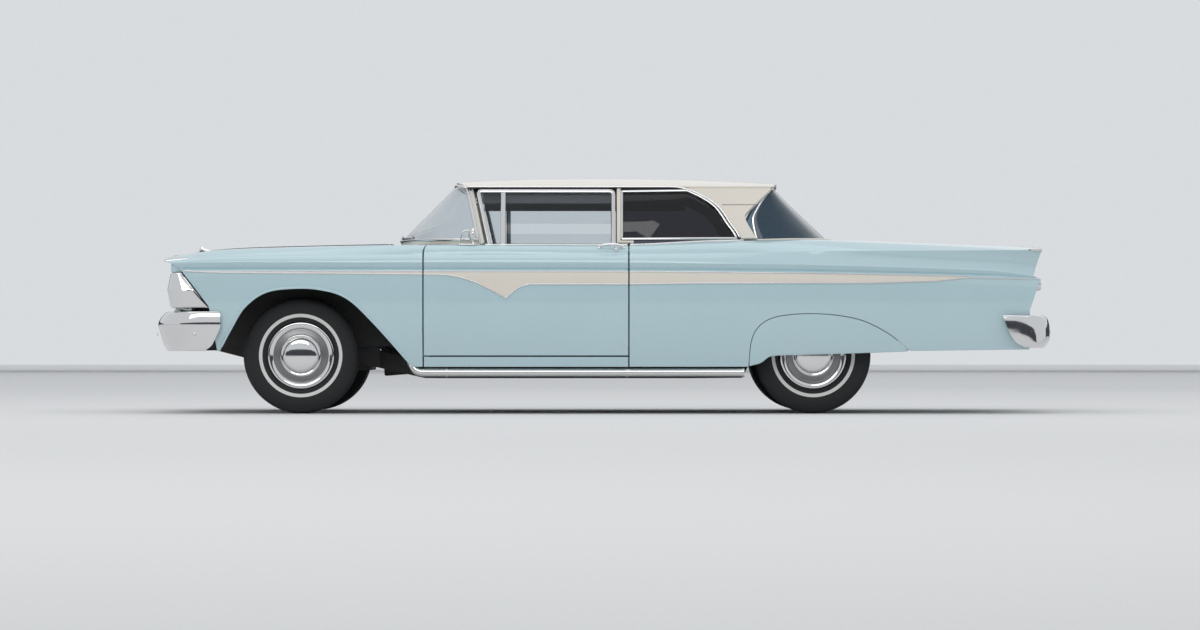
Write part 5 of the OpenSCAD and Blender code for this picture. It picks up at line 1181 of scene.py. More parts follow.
def shoulder(x, e):
    """Point beside the fin line: e below 0 runs down the flank towards the lip, above 0 over the shoulder towards
    the top."""
    low = bow(lip(x), fin(x), HALF * curve(BODY, x / LEN, FIN_SAG), 1 + np.minimum(e, 0))
    high = bow(fin(x), top(x), HALF * curve(BODY, x / LEN, TOP_SAG), np.maximum(e, 0))
    q = np.where((e < 0)[..., None], low, high)
    return coords(x, q[..., 0], q[..., 1])


def fin_tip(x0, over, base, table, down, up, out):
    """Bright tip over the fin from x0 to the panel's edge: its width grows from a point as a root of the way
    along."""
    u, v = plane(np.linspace(0, 1, 25) ** 1.3, np.linspace(-1, 1, 31))
    w = np.sqrt(0.02 + 0.98 * u) * (1 - 0.25 * u**4)
    e = np.where(v < 0, v * down, v * up) * w
    end = np.where(e < 0, mix(table[5], table[4], -e), mix(table[5], table[6], e))
    x = mix(x0, base + over * end, u)
    p = shoulder(x, e)
    n = normals(p)
    n = n * np.sign(n[..., 1:2] + 0.2 * n[..., 2:3])
    raise_by = out * np.sqrt(np.clip(1 - v * v, 0, 1)) * (0.4 + 0.6 * w) + 0.0008
    return shell_arrays(p + n * raise_by[..., None], p - n * 0.004, hem=0)


add_mesh("fender_tips", both(fin_tip(2.452, -FRONT_OVER, NOSE, NOSE_EDGE, 0.22, 0.30, 0.006)), CHROME)
add_mesh("fin_tips", both(fin_tip(-2.520, REAR_OVER, TAIL, TAIL_EDGE, 0.12, 0.16, 0.006)), CHROME)

v = np.linspace(-0.985, 0.985, 81)
tp = top(np.full(81, HOOD_NOSE))
lip_path = coords(HOOD_NOSE + 0.001, v * (tp[:, 0] - GAP), tp[:, 1] + HOOD_CROWN * (1 - v * v) - 0.001)
add_mesh("hood_lip", sweep(lip_path, bar(0.013, 0.011, 0.004), [1, 0, 0]), CHROME, "hood")
x = np.linspace(2.30, 2.50, 40)
base_z = top(x)[:, 1] + HOOD_CROWN
rise = np.interp(x, [2.30, 2.40, 2.445, 2.462, 2.478, 2.50], [0.002, 0.008, 0.030, 0.046, 0.012, 0.003])
wide = np.interp(x, [2.30, 2.40, 2.462, 2.50], [0.003, 0.008, 0.007, 0.004])
a = np.linspace(0, np.pi, 13)
rings = coords(x[:, None], wide[:, None] * np.cos(a),
    (base_z - 0.002)[:, None] + (rise + 0.002)[:, None] * np.sin(a) ** 0.7)
add_mesh("hood_ornament", loft(rings), CHROME, "hood")

# Tail: lamps, bright rings and lid lip

TAIL_X = TAIL + REAR_OVER * 0.1226
bezels, lenses, hubs = [], [], []
for y in (-0.71, -0.52, 0.52, 0.71):
    c, r, h = [TAIL_X - SEAT, y * HALF, ROOF * 0.493], ROOF * 0.0528, 0.042
    bezels.append(lathe([[r * 0.80, 0.002], [r * 1.0, 0.0], [r, h * 0.55], [r * 0.97, h * 0.78], [r * 0.92, h * 0.84],
        [r * 0.86, h * 0.75], [r * 0.80, h * 0.5]], 72, c, [-1, 0, 0]))
    k = np.linspace(0, 1, 28)
    ridge = 0.0012 * (np.arange(28) % 2)
    dome = coords(r * 0.86 * k, h * (0.96 - 0.42 * k**2.2) + ridge)
    lenses.append(turned(np.concatenate([dome, [[r * 0.86, 0.002], [0, 0.002]]]), 64, c, [-1, 0, 0]))
    hubs.append(turned([[0, h * 0.99], [r * 0.12, h * 0.985], [r * 0.17, h * 0.93], [r * 0.17, h * 0.6],
        [0, h * 0.6]], 32, c, [-1, 0, 0]))
add_mesh("tail_lamp_rings", join(*bezels, *hubs), CHROME)
add_mesh("tail_lamp_lenses", join(*lenses), RED, node="tail_lamps", sharp=20)
c = [-2.505, HALF * 0.868, 0.768]
add_mesh("corner_lamp_rings", both(lathe([[0.030, 0], [0.041, 0], [0.0405, 0.05], [0.039, 0.080], [0.0345, 0.0925],
    [0.031, 0.088], [0.030, 0.07]], 48, c, [-1, 0, 0])), CHROME)
add_mesh("corner_lamp_lenses", both(turned([[0, 0.089], [0.015, 0.087], [0.027, 0.080], [0.031, 0.072], [0.031, 0.0],
    [0, 0.0]], 48, c, [-1, 0, 0])), RED)
for name, z in (("upper", ROOF * 0.558), ("lower", ROOF * 0.432)):
    path = coords(TAIL_X - 0.004, np.linspace(-0.79, 0.79, 41), z)
    add_mesh("tail_strip_" + name, sweep(path, bar(0.012, 0.010, 0.004), [-1, 0, 0]), CHROME)
tp = top(np.full(81, TRUNK_R))
lip_path = coords(TRUNK_R - 0.001, v * (tp[:, 0] - GAP), tp[:, 1] + 0.010 * (1 - v * v) - 0.002)
add_mesh("trunk_lip", sweep(lip_path, bar(0.011, 0.009, 0.003), [-1, 0, 0]), CHROME, "trunk_lid")
add_mesh("trunk_lock", turned([[0, 0.012], [0.012, 0.011], [0.019, 0.007], [0.020, 0.0], [0, -0.001]], 32,
    [TAIL_X - SEAT, 0, 0.87], [-1, 0, 0]), CHROME)

# Sill pipes with open flared tips, hangers and front bends

PIPE_Y, PIPE_Z, PIPE_R = HALF - TUCK - 0.030, SILL - 0.033, 0.025
PIPE_B = AXLE_R + ARCH * 0.60
path = rounded([[PIPE_B + 0.012, PIPE_Y, PIPE_Z], [1.125, PIPE_Y, PIPE_Z], [1.145, PIPE_Y - 0.03, PIPE_Z + 0.12]],
    0.06, 12)
pipe = tube(dense(path, 0.02), PIPE_R, 28)
tip = lathe([[0.0245, 0.035], [0.0258, 0.02], [0.0285, 0.006], [0.0290, 0.002], [0.0284, 0.0], [0.0262, 0.004],
    [0.0235, 0.02], [0.0225, 0.035]], 40, [PIPE_B, PIPE_Y, PIPE_Z], [1, 0, 0])
hang = [block([x, PIPE_Y - 0.0125, PIPE_Z + 0.012], [x + 0.025, PIPE_Y + 0.0125, SILL - SEAT],
    0.003) for x in (door_at(0.123), DOOR_R)]
clamp = [lathe([[0.0252, -0.01], [0.0275, -0.009], [0.0275, 0.009], [0.0252, 0.01]], 32, [x + 0.0125, PIPE_Y, PIPE_Z],
    [1, 0, 0]) for x in (door_at(0.123), DOOR_R)]
add_mesh("sill_pipes", both(join(pipe, tip, *clamp)), CHROME, node="exhaust")
add_mesh("pipe_hangers", both(join(*hang)), CHASSIS)
# Near-black discs in the pipe tips: painted shade standing in for the pipes' open bores
add_mesh("pipe_mouths", both(turned([[0, 0.014], [0.0232, 0.014], [0.0232, 0.011], [0, 0.011]], 32,
    [PIPE_B, PIPE_Y, PIPE_Z], [1, 0, 0])), PAINTED_SHADE_BLACK)

# Door handles, mirror, wheel arch lips and wipers

def shoulder_frame(x, t):
    """Place on the door's shoulder at share t of the way from fin to top, with its outward and upward directions."""
    x = np.asarray(float(x))
    e = 1e-3
    p = shoulder(x[None], np.array([t]))[0]
    d = shoulder(x[None], np.array([t + e]))[0] - shoulder(x[None], np.array([t - e]))[0]
    d /= np.linalg.norm(d)
    return p, np.array([0, d[2], -d[1]]), d


def handle():
    """Grip on two feet with a round lock button behind it."""
    p, out, up = shoulder_frame(door_at(0.975), 0.42)
    u = np.linspace(0, 1, 40)
    lift = 0.024 * np.sin(np.pi * np.clip(u, 0.06, 0.94)) ** 0.45
    grip = p + np.c_[u * 0.150, 0 * u, 0 * u] + out * (0.002 + lift)[:, None]
    parts = [sweep(grip, bar(0.018, 0.010, 0.0045), out,
        size=np.interp(u, [0, 0.08, 0.5, 0.92, 1], [0.55, 0.9, 1.0, 0.8, 0.4]))]
    for d, r in ((0.006, 0.015), (0.144, 0.011)):
        parts.append(turned([[0, 0.010], [r * 0.5, 0.009], [r * 0.95, 0.005], [r, SEAT], [0, SEAT]], 32,
            p + [d, 0, 0], out))
    parts.append(turned([[0, 0.016], [0.006, 0.0155], [0.0095, 0.013], [0.010, 0.004], [0.013, 0.003], [0.0135, SEAT],
        [0, SEAT]], 32, p + [0.045, 0, 0] - up * 0.020, out))
    return join(*parts)


def mirror_parts():
    """Long foot on the door top, a bent arm and a shallow round head facing back."""
    p, out, up = shoulder_frame(door_at(0.245), 0.80)
    a = circle(40)
    foot = p + coords(0.035 + 0.074 * np.sign(np.cos(a)) * np.abs(np.cos(a)) ** 0.8, 0,
        0) + (0.016 * np.sin(a))[:, None] * up + out * SEAT
    parts = [plate(foot, out, 0.008, 0.003)]
    arm = rounded([p + [0.085, 0, 0] + out * 0.004, p + [0.068, -0.004, 0.082], p + [0.030, -0.006, 0.090],
        p + [0.012, -0.006, 0.075]], 0.022, 8)
    parts.append(sweep(dense(arm, 0.006), bar(0.009, 0.016, 0.004), [0, 1, 0]))
    c = p + [0.006, -0.006, 0.062]
    parts.append(turned([[0, 0.026], [0.018, 0.024], [0.034, 0.015], [0.043, 0.004], [0.0445, -0.002],
        [0.043, -0.006], [0.040, -0.004], [0, -0.003]], 48, c, [1, 0, 0.06]))
    face = turned([[0, -0.0032], [0.0395, -0.0042], [0.0395, -0.002], [0, -0.002]], 48, c, [1, 0, 0.06])
    stem = tube(np.stack([p + out * 0.006, c + [0.012, 0, -0.030]]), 0.006, 16)
    parts.append(stem)
    return join(*parts), face


for side in SIDES:
    bits = handle()
    if side == "left":
        head, face = mirror_parts()
        bits = join(bits, head)
        add_mesh("mirror_face", face, LAMP, "door_left", slot="chrome")
    add_mesh("door_fittings_" + side, sided(side, bits), CHROME, "door_" + side, node="door_trim_" + side)

x = arch_places(ARCH_F, AXLE_F, 120)[2:-1]
add_mesh("arch_lips", both(sweep(on_side(x, fender_low(x) + 0.006, 0.003), bar(0.014, 0.010, 0.004), [0, 1, 0])),
    PAINT)

blades, arms = [], []
for a0, a1, pivot in ((8, 40, [1.226, 0.10]), (-46, -12, [1.235, -0.40])):
    a = np.linspace(a0, a1, 30)
    q = ws_point(a, np.full(30, 0.055), -0.016)
    blades.append(sweep(q, bar(0.010, 0.006, 0.002), [0.7, 0, 0.7]))
    q2 = ws_point(a, np.full(30, 0.055), -0.008)
    blades.append(sweep(q2, bar(0.003, 0.014, 0.001), [0.8, 0, 0.5]))
    foot_at = np.array([pivot[0], pivot[1], BELT - 0.008])
    arms.append(tube(dense(rounded([foot_at, foot_at + [-0.004, 0, 0.030], q[15] + [0.012, 0, 0.010], q[15]], 0.02),
        0.01), 0.0045, 12))
    arms.append(turned([[0, 0.022], [0.008, 0.021], [0.013, 0.016], [0.014, 0.0], [0, 0.0]], 24,
        foot_at - [0, 0, 0.006], [0, 0, 1]))
add_mesh("wiper_arms", join(*arms, blades[0], blades[2]), STEEL, slot="chrome")
add_mesh("wiper_rubbers", join(blades[1], blades[3]), SEAL)

a = oval_angles(81)
sill_path = rw_point(a, np.zeros(81), -0.012) - [0, 0, 0.001]
add_mesh("rear_window_sill", sweep(sill_path, bar(0.026, 0.016, 0.005), [0, 0, 1]), CREAM)

# Cabin: padded bench seats

BENCH, BENCH_H, SEAT_HALF, FLOOR = LEN * 0.097, ROOF * 0.3944, HALF * 0.681, 0.3304
SEAT_F = np.array([DOOR_F - LEN * 0.1587, 0, FLOOR + ROOF * 0.0507])
SEAT_R = np.array([AXLE_R + LEN * 0.1045, 0, 0.4403])
CUSHION = np.array([[0, 0], [0.92, 0.036], [1, 0.16], [0.94, 0.303], [0.115, 0.25], [0, 0.178]])
BACK = np.array([[0, 0.036], [0, 0.214], [0.077, 0.257], [-0.211, 1], [-0.365, 0.964], [-0.23, 0.036]])


def shrunk(poly, d):
    """Closed outline moved inwards by d; each corner goes to where its two moved edges meet."""
    e = np.roll(poly, -1, 0) - poly
    e /= np.linalg.norm(e, axis=1, keepdims=True)
    area2 = np.sum(poly[:, 0] * np.roll(poly[:, 1], -1) - poly[:, 1] * np.roll(poly[:, 0], -1))
    n = coords(-e[:, 1], e[:, 0]) * np.sign(area2)
    m = np.roll(n, 1, 0)
    return poly + d * (n + m) / (1 + np.sum(n * m, 1, keepdims=True))


def points(me):
    """Corner points of a mesh as an array."""
    co = np.empty(len(me.vertices) * 3, np.float32)
    me.vertices.foreach_get("co", co)
    return co.reshape(-1, 3).astype(float)


def baked(o):
    """Mesh of an object with its modifiers applied."""
    me = bpy.data.meshes.new_from_object(o.evaluated_get(bpy.context.evaluated_depsgraph_get()))
    o.modifiers.clear()
    return me


def puffed(shape, voxel=0.0105, cap=0.022):
    """Stuffed form of a closed mesh: even small faces, rounded corners, then cloth with inner pressure whose moves
    are capped, then one subdivision."""
    o = put("pad", raw_mesh("pad", *shape))
    m = o.modifiers.new("even", "REMESH")
    m.mode, m.voxel_size = "VOXEL", voxel
    m = o.modifiers.new("round", "SMOOTH")
    m.factor, m.iterations = 0.5, 10
    o.data = baked(o)
    start = points(o.data)
    c = o.modifiers.new("cloth", "CLOTH").settings
    c.use_pressure = True
    c.uniform_pressure_force = 4.0
    c.effector_weights.gravity = 0
    for k in range(1, 21):
        bpy.context.scene.frame_set(k)
    o.data = baked(o)
    bpy.context.scene.frame_set(1)
    d = points(o.data) - start
    d -= d.mean(0)
    d *= np.minimum(1, cap / np.maximum(np.linalg.norm(d, axis=1, keepdims=True), 1e-9))
    o.data.vertices.foreach_set("co", (start + d).astype(np.float32).ravel())
    o.data.update()
    m = o.modifiers.new("fine", "SUBSURF")
    m.levels = m.render_levels = 1
    me = baked(o)
    bpy.data.objects.remove(o)
    n = np.empty(len(me.vertices) * 3, np.float32)
    me.vertices.foreach_get("normal", n)
    q = np.empty(len(me.loops), np.int32)
    me.loops.foreach_get("vertex_index", q)
    return points(me), n.reshape(-1, 3).astype(float), q.reshape(-1, 4)


def groove(d, depth, w):
    """Bell-shaped groove: depth times exp of minus (distance over width) squared."""
    return depth * np.exp(-(d / w) ** 2)


def pad_of(shares):
    """Bench pad before sewing: the outline, a little small, carried across the seat."""
    out = dense(np.concatenate([shrunk(shares * [BENCH, BENCH_H], 0.010)] * 2)[: len(shares) + 1], 0.02)[:-1]
    y = np.linspace(-SEAT_HALF + 0.012, SEAT_HALF - 0.012, 60)
    rings = coords(out[:, 0], y[:, None], out[:, 1])
    return puffed(loft(rings))


CHANNEL, PANEL = 0.082, 0.574


def channels(y):
    """Distance to the nearest sewn channel, which repeat across the seat."""
    return np.abs((np.abs(y) + CHANNEL / 2) % CHANNEL - CHANNEL / 2)


def sewn_cushion(v, n):
    """Channels fore and aft in the top, a seam before the front roll and one beside each end roll; the underside
    stays flat."""
    x, y = v[:, 0] / BENCH, v[:, 1]
    topside = smooth(0.2, 0.6, n[:, 2])
    inner = smooth(0.80, 0.77, x) * smooth(PANEL + 0.01, PANEL - 0.01, np.abs(y))
    sink = groove(channels(y), 0.008, 0.008) * topside * inner
    sink = np.maximum(sink, groove(v[:, 0] - 0.79 * BENCH, 0.010, 0.009) * topside * (np.abs(y) < PANEL + 0.012))
    sink = np.maximum(sink, groove(np.abs(y) - PANEL, 0.010, 0.009) * topside)
    v = v - n * sink[:, None]
    v[:, 2] = np.maximum(v[:, 2], 0.0)
    return v, (x < 0.79) & (np.abs(y) < PANEL) & (n[:, 2] > 0.3)


def sewn_back(v, n, split):
    """Upright channels in the front face under a plain top roll; a split back has a deep line at the middle."""
    z, y = v[:, 2] / BENCH_H, v[:, 1]
    face = smooth(0.2, 0.6, n[:, 0])
    inner = smooth(0.84, 0.81, z) * smooth(PANEL + 0.01, PANEL - 0.01, np.abs(y))
    sink = groove(channels(y), 0.008, 0.008) * face * inner
    sink = np.maximum(sink, groove(v[:, 2] - 0.83 * BENCH_H, 0.010, 0.009) * face * (np.abs(y) < PANEL + 0.012))
    sink = np.maximum(sink, groove(np.abs(y) - PANEL, 0.010, 0.009) * face)
    if split:
        sink = np.maximum(sink, groove(y, 0.022, 0.010))
    return v - n * sink[:, None], (z < 0.83) & (np.abs(y) < PANEL) & (n[:, 0] > 0.3)


def pad(name, place, v, quads, inner, node):
    """Sewn pad in two cloths: the inner share of each face picks the cloth."""
    o = add_mesh(name, (v + place, [quads]), CLOTH_B, node=node, sharp=180)
    o.data.materials.append(CLOTH_A)
    o.data.polygons.foreach_set("material_index", (inner[quads].mean(1) > 0.5).astype(np.int32))
    m = o.modifiers.new("lighter", "DECIMATE")
    m.ratio = 0.14


cv, cn, cq = pad_of(CUSHION)
bv, bn, bq = pad_of(BACK)
v, inner = sewn_cushion(cv, cn)
pad("front_seat_cushion", SEAT_F, v, cq, inner, "front_seat")
pad("rear_seat_cushion", SEAT_R, v, cq, inner, "rear_seat")
v, inner = sewn_back(bv, bn, True)
pad("front_seat_back", SEAT_F, v, bq, inner, "front_seat")
v, inner = sewn_back(bv, bn, False)
pad("rear_seat_back", SEAT_R, v, bq, inner, "rear_seat")

tracks = [block([SEAT_F[0] + BENCH * s, 0.463, FLOOR], [SEAT_F[0] + BENCH * s + 0.04, 0.503, SEAT_F[2] + 0.020],
    0.004) for s in (0.115, 0.73)]
tracks.append(block([SEAT_F[0] + 0.02, 0.470, FLOOR + 0.012], [SEAT_F[0] + BENCH * 0.93, 0.496, FLOOR + 0.034],
    0.004))
add_mesh("front_seat_tracks", both(join(*tracks)), CHASSIS)
shield = np.array([[0.02, 0.02], [0.90, 0.045], [0.965, 0.13], [0.93, 0.16], [0.10, 0.14], [0.02, 0.10]]) * [BENCH,
    BENCH_H]
shield = dense(rounded(np.concatenate([shield, shield[:1]]), 0.02), 0.012)[:-1]
p = np.c_[shield[:, 0] + SEAT_F[0], np.full(len(shield), SEAT_HALF - 0.006), shield[:, 1] + SEAT_F[2]]
add_mesh("front_seat_shields", both(plate(p, [0, 1, 0], 0.010, 0.003)), PLASTIC, slot="upholstery")
riser = block([SEAT_R[0], 0.090, FLOOR], [SEAT_R[0] + BENCH * 0.827, SEAT_HALF, SEAT_R[2] + 0.014], 0.012)
add_mesh("rear_seat_risers", both(riser), CARPET)

# Cabin: floor covering, side trim and roof lining

CARPET_R = SEAT_R[0] + BENCH * 0.827 + 0.002


def floor_z(x, y):
    """Top of the floor: level, rising at the toe board, with the round tunnel that widens forwards."""
    z = FLOOR + 0.150 * np.clip((x - 1.004) / 0.180, 0, 1)
    r = 0.064 + 0.074 * np.clip((x - 0.854) / 0.330, 0, 1)
    return np.maximum(z, 0.322 + np.sqrt(np.maximum(r * r - y * y, 0)))


y = np.unique(np.r_[np.linspace(-0.862, 0.862, 30), np.linspace(-0.14, 0.14, 37)])
x, y = plane(np.linspace(CARPET_R, 1.180, 44), y)
z = floor_z(x, y)
p = coords(x, y, z + 0.011)
shell("floor_carpet", p, coords(x, y, z + 0.001), CARPET, hem=0.004, sharp=50)

CARD_Z = np.array([0.36, 0.45, 0.60, 0.80, 0.93, 0.97])
CARD_IN = np.array([0.148, 0.138, 0.133, 0.133, 0.152, 0.190])


def card_y(x, z):
    """Half width of the door card: the body's width less a table by height."""
    return by(x, WIDE) - np.interp(z, CARD_Z, CARD_IN)


def side_card(x0, x1, back):
    """Trim panel: padded look by shallow pleats below a plain upper part."""
    x, z = plane(mix(x0, x1, spread(70)), mix(0.365, 0.965, spread(36)))
    y = card_y(x, z)
    pleat = np.abs((x - x0) / 0.05 % 1 - 0.5) * 2
    y = y + 0.003 * pleat**6 * smooth(0.40, 0.42, z) * smooth(0.60, 0.58, z)
    y = y + 0.005 * np.exp(-((z - 0.615) / 0.006) ** 2) + 0.005 * np.exp(-((z - 0.875) / 0.006) ** 2)
    return shell_arrays(coords(x, y, z), coords(x, back(x, z, y), z), hem=0.004)


CARD_F, CARD_R = DOOR_F - 0.165, DOOR_R + 0.040
card = side_card(CARD_R, CARD_F, lambda x, z, y: y + 0.012)
rest_u = np.linspace(0, 1, 40)
rest_x = mix(0.02, 0.47, rest_u)
rest_k = np.clip(np.sin(np.pi * np.clip(rest_u, 0.015, 0.985)), 0, 1) ** 0.35
a = circle(28)
arm = coords(rest_x[:, None], (by(rest_x, WIDE) - 0.133)[:, None] - 0.036 * rest_k[:, None]
    + 0.038 * rest_k[:, None] * np.sign(np.cos(a)) * np.abs(np.cos(a)) ** 0.6,
    0.665 + 0.030 * rest_k[:, None] * np.sign(np.sin(a)) * np.abs(np.sin(a)) ** 0.6
    + 0.012 * np.sin(np.pi * rest_u)[:, None])
armrest = loft(arm)


def crank(x, z, turn):
    """Window crank: a boss, a bent arm and a round knob."""
    c = np.array([x, card_y(x, z), z])
    d = np.array([np.cos(turn), 0, np.sin(turn)])
    parts = [turned([[0, 0.022], [0.012, 0.021], [0.016, 0.016], [0.018, 0.002], [0.026, 0.0], [0, -0.002]], 32, c,
        [0, -1, 0])]
    path = rounded([c + [0, -0.018, 0], c + d * 0.05 + [0, -0.022, 0], c + d * 0.095 + [0, -0.020, 0]], 0.02)
    parts.append(sweep(dense(path, 0.006), bar(0.013, 0.007, 0.003), [0, -1, 0]))
    return join(*parts), turned([[0, 0.050], [0.009, 0.048], [0.012, 0.040], [0.010, 0.028], [0.006, 0.022],
        [0, 0.021]], 28, c + d * 0.090, [0, -1, 0])


def pull(x, z):
    """Inner door handle: a round base and a flat lever."""
    c = np.array([x, card_y(x, z), z])
    parts = [turned([[0, 0.018], [0.013, 0.017], [0.018, 0.012], [0.024, 0.0], [0, -0.002]], 32, c, [0, -1, 0])]
    path = c + np.c_[np.linspace(0, -0.115, 20), np.full(20, -0.018) - 0.004 * np.sin(np.linspace(0, np.pi, 20)),
        np.zeros(20)]
    parts.append(sweep(path, bar(0.017, 0.007, 0.003), [0, -1, 0], size=np.linspace(0.7, 1.1, 20)))
    return join(*parts)


metal, knob = crank(0.62, 0.71, np.radians(-40))
strip_x = np.linspace(CARD_R + 0.01, CARD_F - 0.01, 60)
strips = [sweep(np.c_[strip_x, card_y(strip_x, np.full(60, zz)) - 0.001, np.full(60, zz)], bar(0.010, 0.006, 0.002),
    [0, -1, 0]) for zz in (0.615, 0.875)]
for side in SIDES:
    add_mesh("door_card_" + side, sided(side, card), CLOTH_B, "door_" + side, sharp=60)
    add_mesh("door_armrest_" + side, sided(side, armrest), PLASTIC, "door_" + side, slot="upholstery")
    add_mesh("door_inner_metal_" + side, sided(side, join(metal, pull(0.66, 0.815), *strips)), CHROME, "door_" + side)
    add_mesh("crank_knob_" + side, sided(side, knob), PLASTIC, "door_" + side, slot="upholstery")
quarter_card = side_card(-0.80, DOOR_R - 0.030, lambda x, z,
    y: np.maximum(np.minimum(side_y(x, np.minimum(z, 0.83)), by(x, FIN_Y) + 0.02) - 0.062, y + 0.004))
add_mesh("quarter_cards", both(quarter_card), CLOTH_B, sharp=60)

# Roof lining and sun visors in the darkened headliner cloth, which is painted shade
t, v = plane(np.linspace(0.035, 0.965, 120), np.linspace(-0.93, 0.93, 26))
p = roof_point(t, v)
seam_at = np.abs((t - 0.035) / 0.155 % 1 - 0.5) * 2
drop = mix(0.0310, 0.0095, v * v)
p1 = p - coords(0, 0, drop + 0.008 - 0.005 * seam_at**8)
shell("roof_lining", p1, p - coords(0, 0, drop), LINER_PAINTED_SHADE, hem=0, sharp=60)
visor = []
for y0, y1 in ((0.10, 0.56), (-0.56, -0.10)):
    t, v = plane(spread(12), spread(24))
    xx, yy = mix(0.615, 0.775, t), mix(y0, y1, v)
    zz = 1.347 - 0.10 * yy**2 - 0.010 * (1 - t)
    visor.append(shell_arrays(coords(xx, yy, zz), coords(xx, yy, zz + 0.014), hem=0.005))
    visor.append(tube(np.array([[0.782, mix(y0, y1, 0.02), 1.352 - 0.10 * y0 * y0],
        [0.782, mix(y0, y1, 0.98), 1.352 - 0.10 * y1 * y1]]), 0.005, 12))
    visor.append(tube(np.array([[0.782, mix(y0, y1, 0.5), 1.335], [0.792, mix(y0, y1, 0.5), 1.380]]), 0.005, 12))
add_mesh("sun_visors", join(*visor), LINER_PAINTED_SHADE)
add_mesh("inner_mirror", join(block([0.760, -0.115, 1.262], [0.778, 0.115, 1.312], 0.008),
    tube(np.array([[0.778, 0, 1.295], [0.800, 0, 1.330], [0.815, 0, 1.372]]), 0.006, 14)), CHROME)
add_mesh("inner_mirror_face", block([0.7588, -0.109, 1.267], [0.7605, 0.109, 1.307], 0.0005), LAMP, slot="chrome")

# Cabin: dashboard, column, steering wheel and pedals

DASH_X, DASH_Z, DASH_Y = DOOR_F + 0.010, 0.9697, HALF * 0.7404
DASH = np.array([[0.286, 0], [-0.619, -0.087], [-0.714, -0.435], [-0.286, -1], [0.286, -1]]) * [LEN * 0.0392,
    ROOF * 0.162] + [DASH_X, DASH_Z]
ring = np.concatenate([[(DASH[-1] + DASH[0]) / 2], DASH, [(DASH[-1] + DASH[0]) / 2]])
ring = dense(rounded(ring, 0.024, 8), 0.010)[:-1]
y = DASH_Y * (-1 + 2 * spread(40))
trim_in = np.where(np.abs(np.abs(y) - DASH_Y) < 1e-9, 0.97, 1.0)
mid = ring.mean(0)
rings = coords(mid[0] + (ring[:, 0] - mid[0]) * trim_in[:, None], y[:, None],
    mid[1] + (ring[:, 1] - mid[1]) * trim_in[:, None])
add_mesh("dash_panel", loft(rings), PAINT, node="dashboard")
FACE_A, FACE_B = DASH[1], DASH[2]
FACE_D = (FACE_A - FACE_B) / np.linalg.norm(FACE_A - FACE_B)
FACE_N = np.array([-FACE_D[1], 0, FACE_D[0]])
FACE_U = np.array([FACE_D[0], 0, FACE_D[1]])


def on_dash(y, h, out=0.0):
    """Point of the dash face: y across, h up from its middle, raised by out."""
    m = (FACE_A + FACE_B) / 2
    y, h, out = np.broadcast_arrays(np.asarray(y, float), np.asarray(h, float), np.asarray(out, float))
    return coords(m[0], y, m[1]) + h[..., None] * FACE_U + out[..., None] * FACE_N


def dash_box(y0, y1, h0, h1, r):
    """Rounded rectangle on the dash face."""
    q = bar(y1 - y0, h1 - h0, r, 6)
    return on_dash(q[:, 0] + (y0 + y1) / 2, q[:, 1] + (h0 + h1) / 2)


chrome_bits, dark_bits, white_bits = [], [], []
for y0, y1, h0, h1 in ((0.20, 0.56, -0.026, 0.030), (-0.10, 0.10, -0.024, 0.020)):
    q = dash_box(y0, y1, h0, h1, 0.016)
    chrome_bits.append(sweep(q + FACE_N * 0.003, bar(0.008, 0.008, 0.003), FACE_N, closed=True))
    dark_bits.append(plate(q - FACE_N * 0.002, FACE_N, 0.004, 0.001))
for yy in (0.245, 0.515):
    c = on_dash(yy, 0.002, 0.002)
    chrome_bits.append(lathe([[0.019, 0], [0.022, 0], [0.0215, 0.004], [0.019, 0.004]], 40, c, FACE_N))
    white_bits.append(sweep(np.stack([c + FACE_N * 0.002 - FACE_U * 0.004,
        c + FACE_N * 0.002 + FACE_U * 0.015 + [0, 0.006, 0]]), bar(0.0016, 0.001, 0.0004), FACE_N))
for k in np.linspace(0.295, 0.465, 15):
    white_bits.append(sweep(np.stack([on_dash(k, 0.008, 0.0025), on_dash(k, 0.018, 0.0025)]),
        bar(0.0014, 0.0008, 0.0003), FACE_N))
white_bits.append(sweep(np.stack([on_dash(0.30, 0.000, 0.0025), on_dash(0.46, 0.000, 0.0025)]),
    bar(0.0020, 0.0008, 0.0003), FACE_N))
knobs = [(-0.125, 0.0), (0.125, 0.0), (0.165, -0.018), (0.165, 0.020), (0.595, 0.018), (0.595, -0.018), (0.645, 0.0),
    (-0.32, 0.024)]
chrome_bits += [turned([[0, 0.026], [0.008, 0.0255], [0.011, 0.023], [0.0115, 0.012], [0.007, 0.008], [0.007, 0.003],
    [0.014, 0.0], [0, -0.002]], 28, on_dash(a, b), FACE_N) for a, b in knobs]
for k in np.linspace(-0.07, 0.07, 5):
    chrome_bits.append(sweep(np.stack([on_dash(k - 0.011, -0.014, 0.003), on_dash(k + 0.011, -0.014, 0.003)]),
        bar(0.008, 0.006, 0.002), FACE_N))
lid_line = dash_box(-0.62, -0.20, -0.034, 0.034, 0.010)
dark_bits.append(sweep(lid_line + FACE_N * 0.0002, bar(0.003, 0.0012, 0.0005), FACE_N, closed=True))
y = np.linspace(-0.735, 0.735, 60)
chrome_bits.append(sweep(on_dash(y, -0.045, 0.001), bar(0.010, 0.010, 0.004), FACE_N))
add_mesh("dash_brightwork", join(*chrome_bits), CHROME)
add_mesh("dash_dials", join(*dark_bits), DIAL, slot="chrome")
add_mesh("dash_marks", join(*white_bits), WHITEWALL, slot="chrome")
pad_v = np.linspace(-1, 1, 60)
pad_ring = np.array([[1.125, 0.971], [0.990, 0.962], [0.952, 0.957], [0.944, 0.951], [0.952, 0.944], [1.00, 0.950],
    [1.125, 0.960]])
pad_ring = dense(rounded(np.concatenate([pad_ring, pad_ring[:1]]), 0.008), 0.008)[:-1] - [0, 0.0015]
rings = coords(pad_ring[:, 0], pad_v[:, None] * (DASH_Y - 0.006), pad_ring[:, 1])
add_mesh("dash_top", loft(rings), BLACK, slot="body_paint")

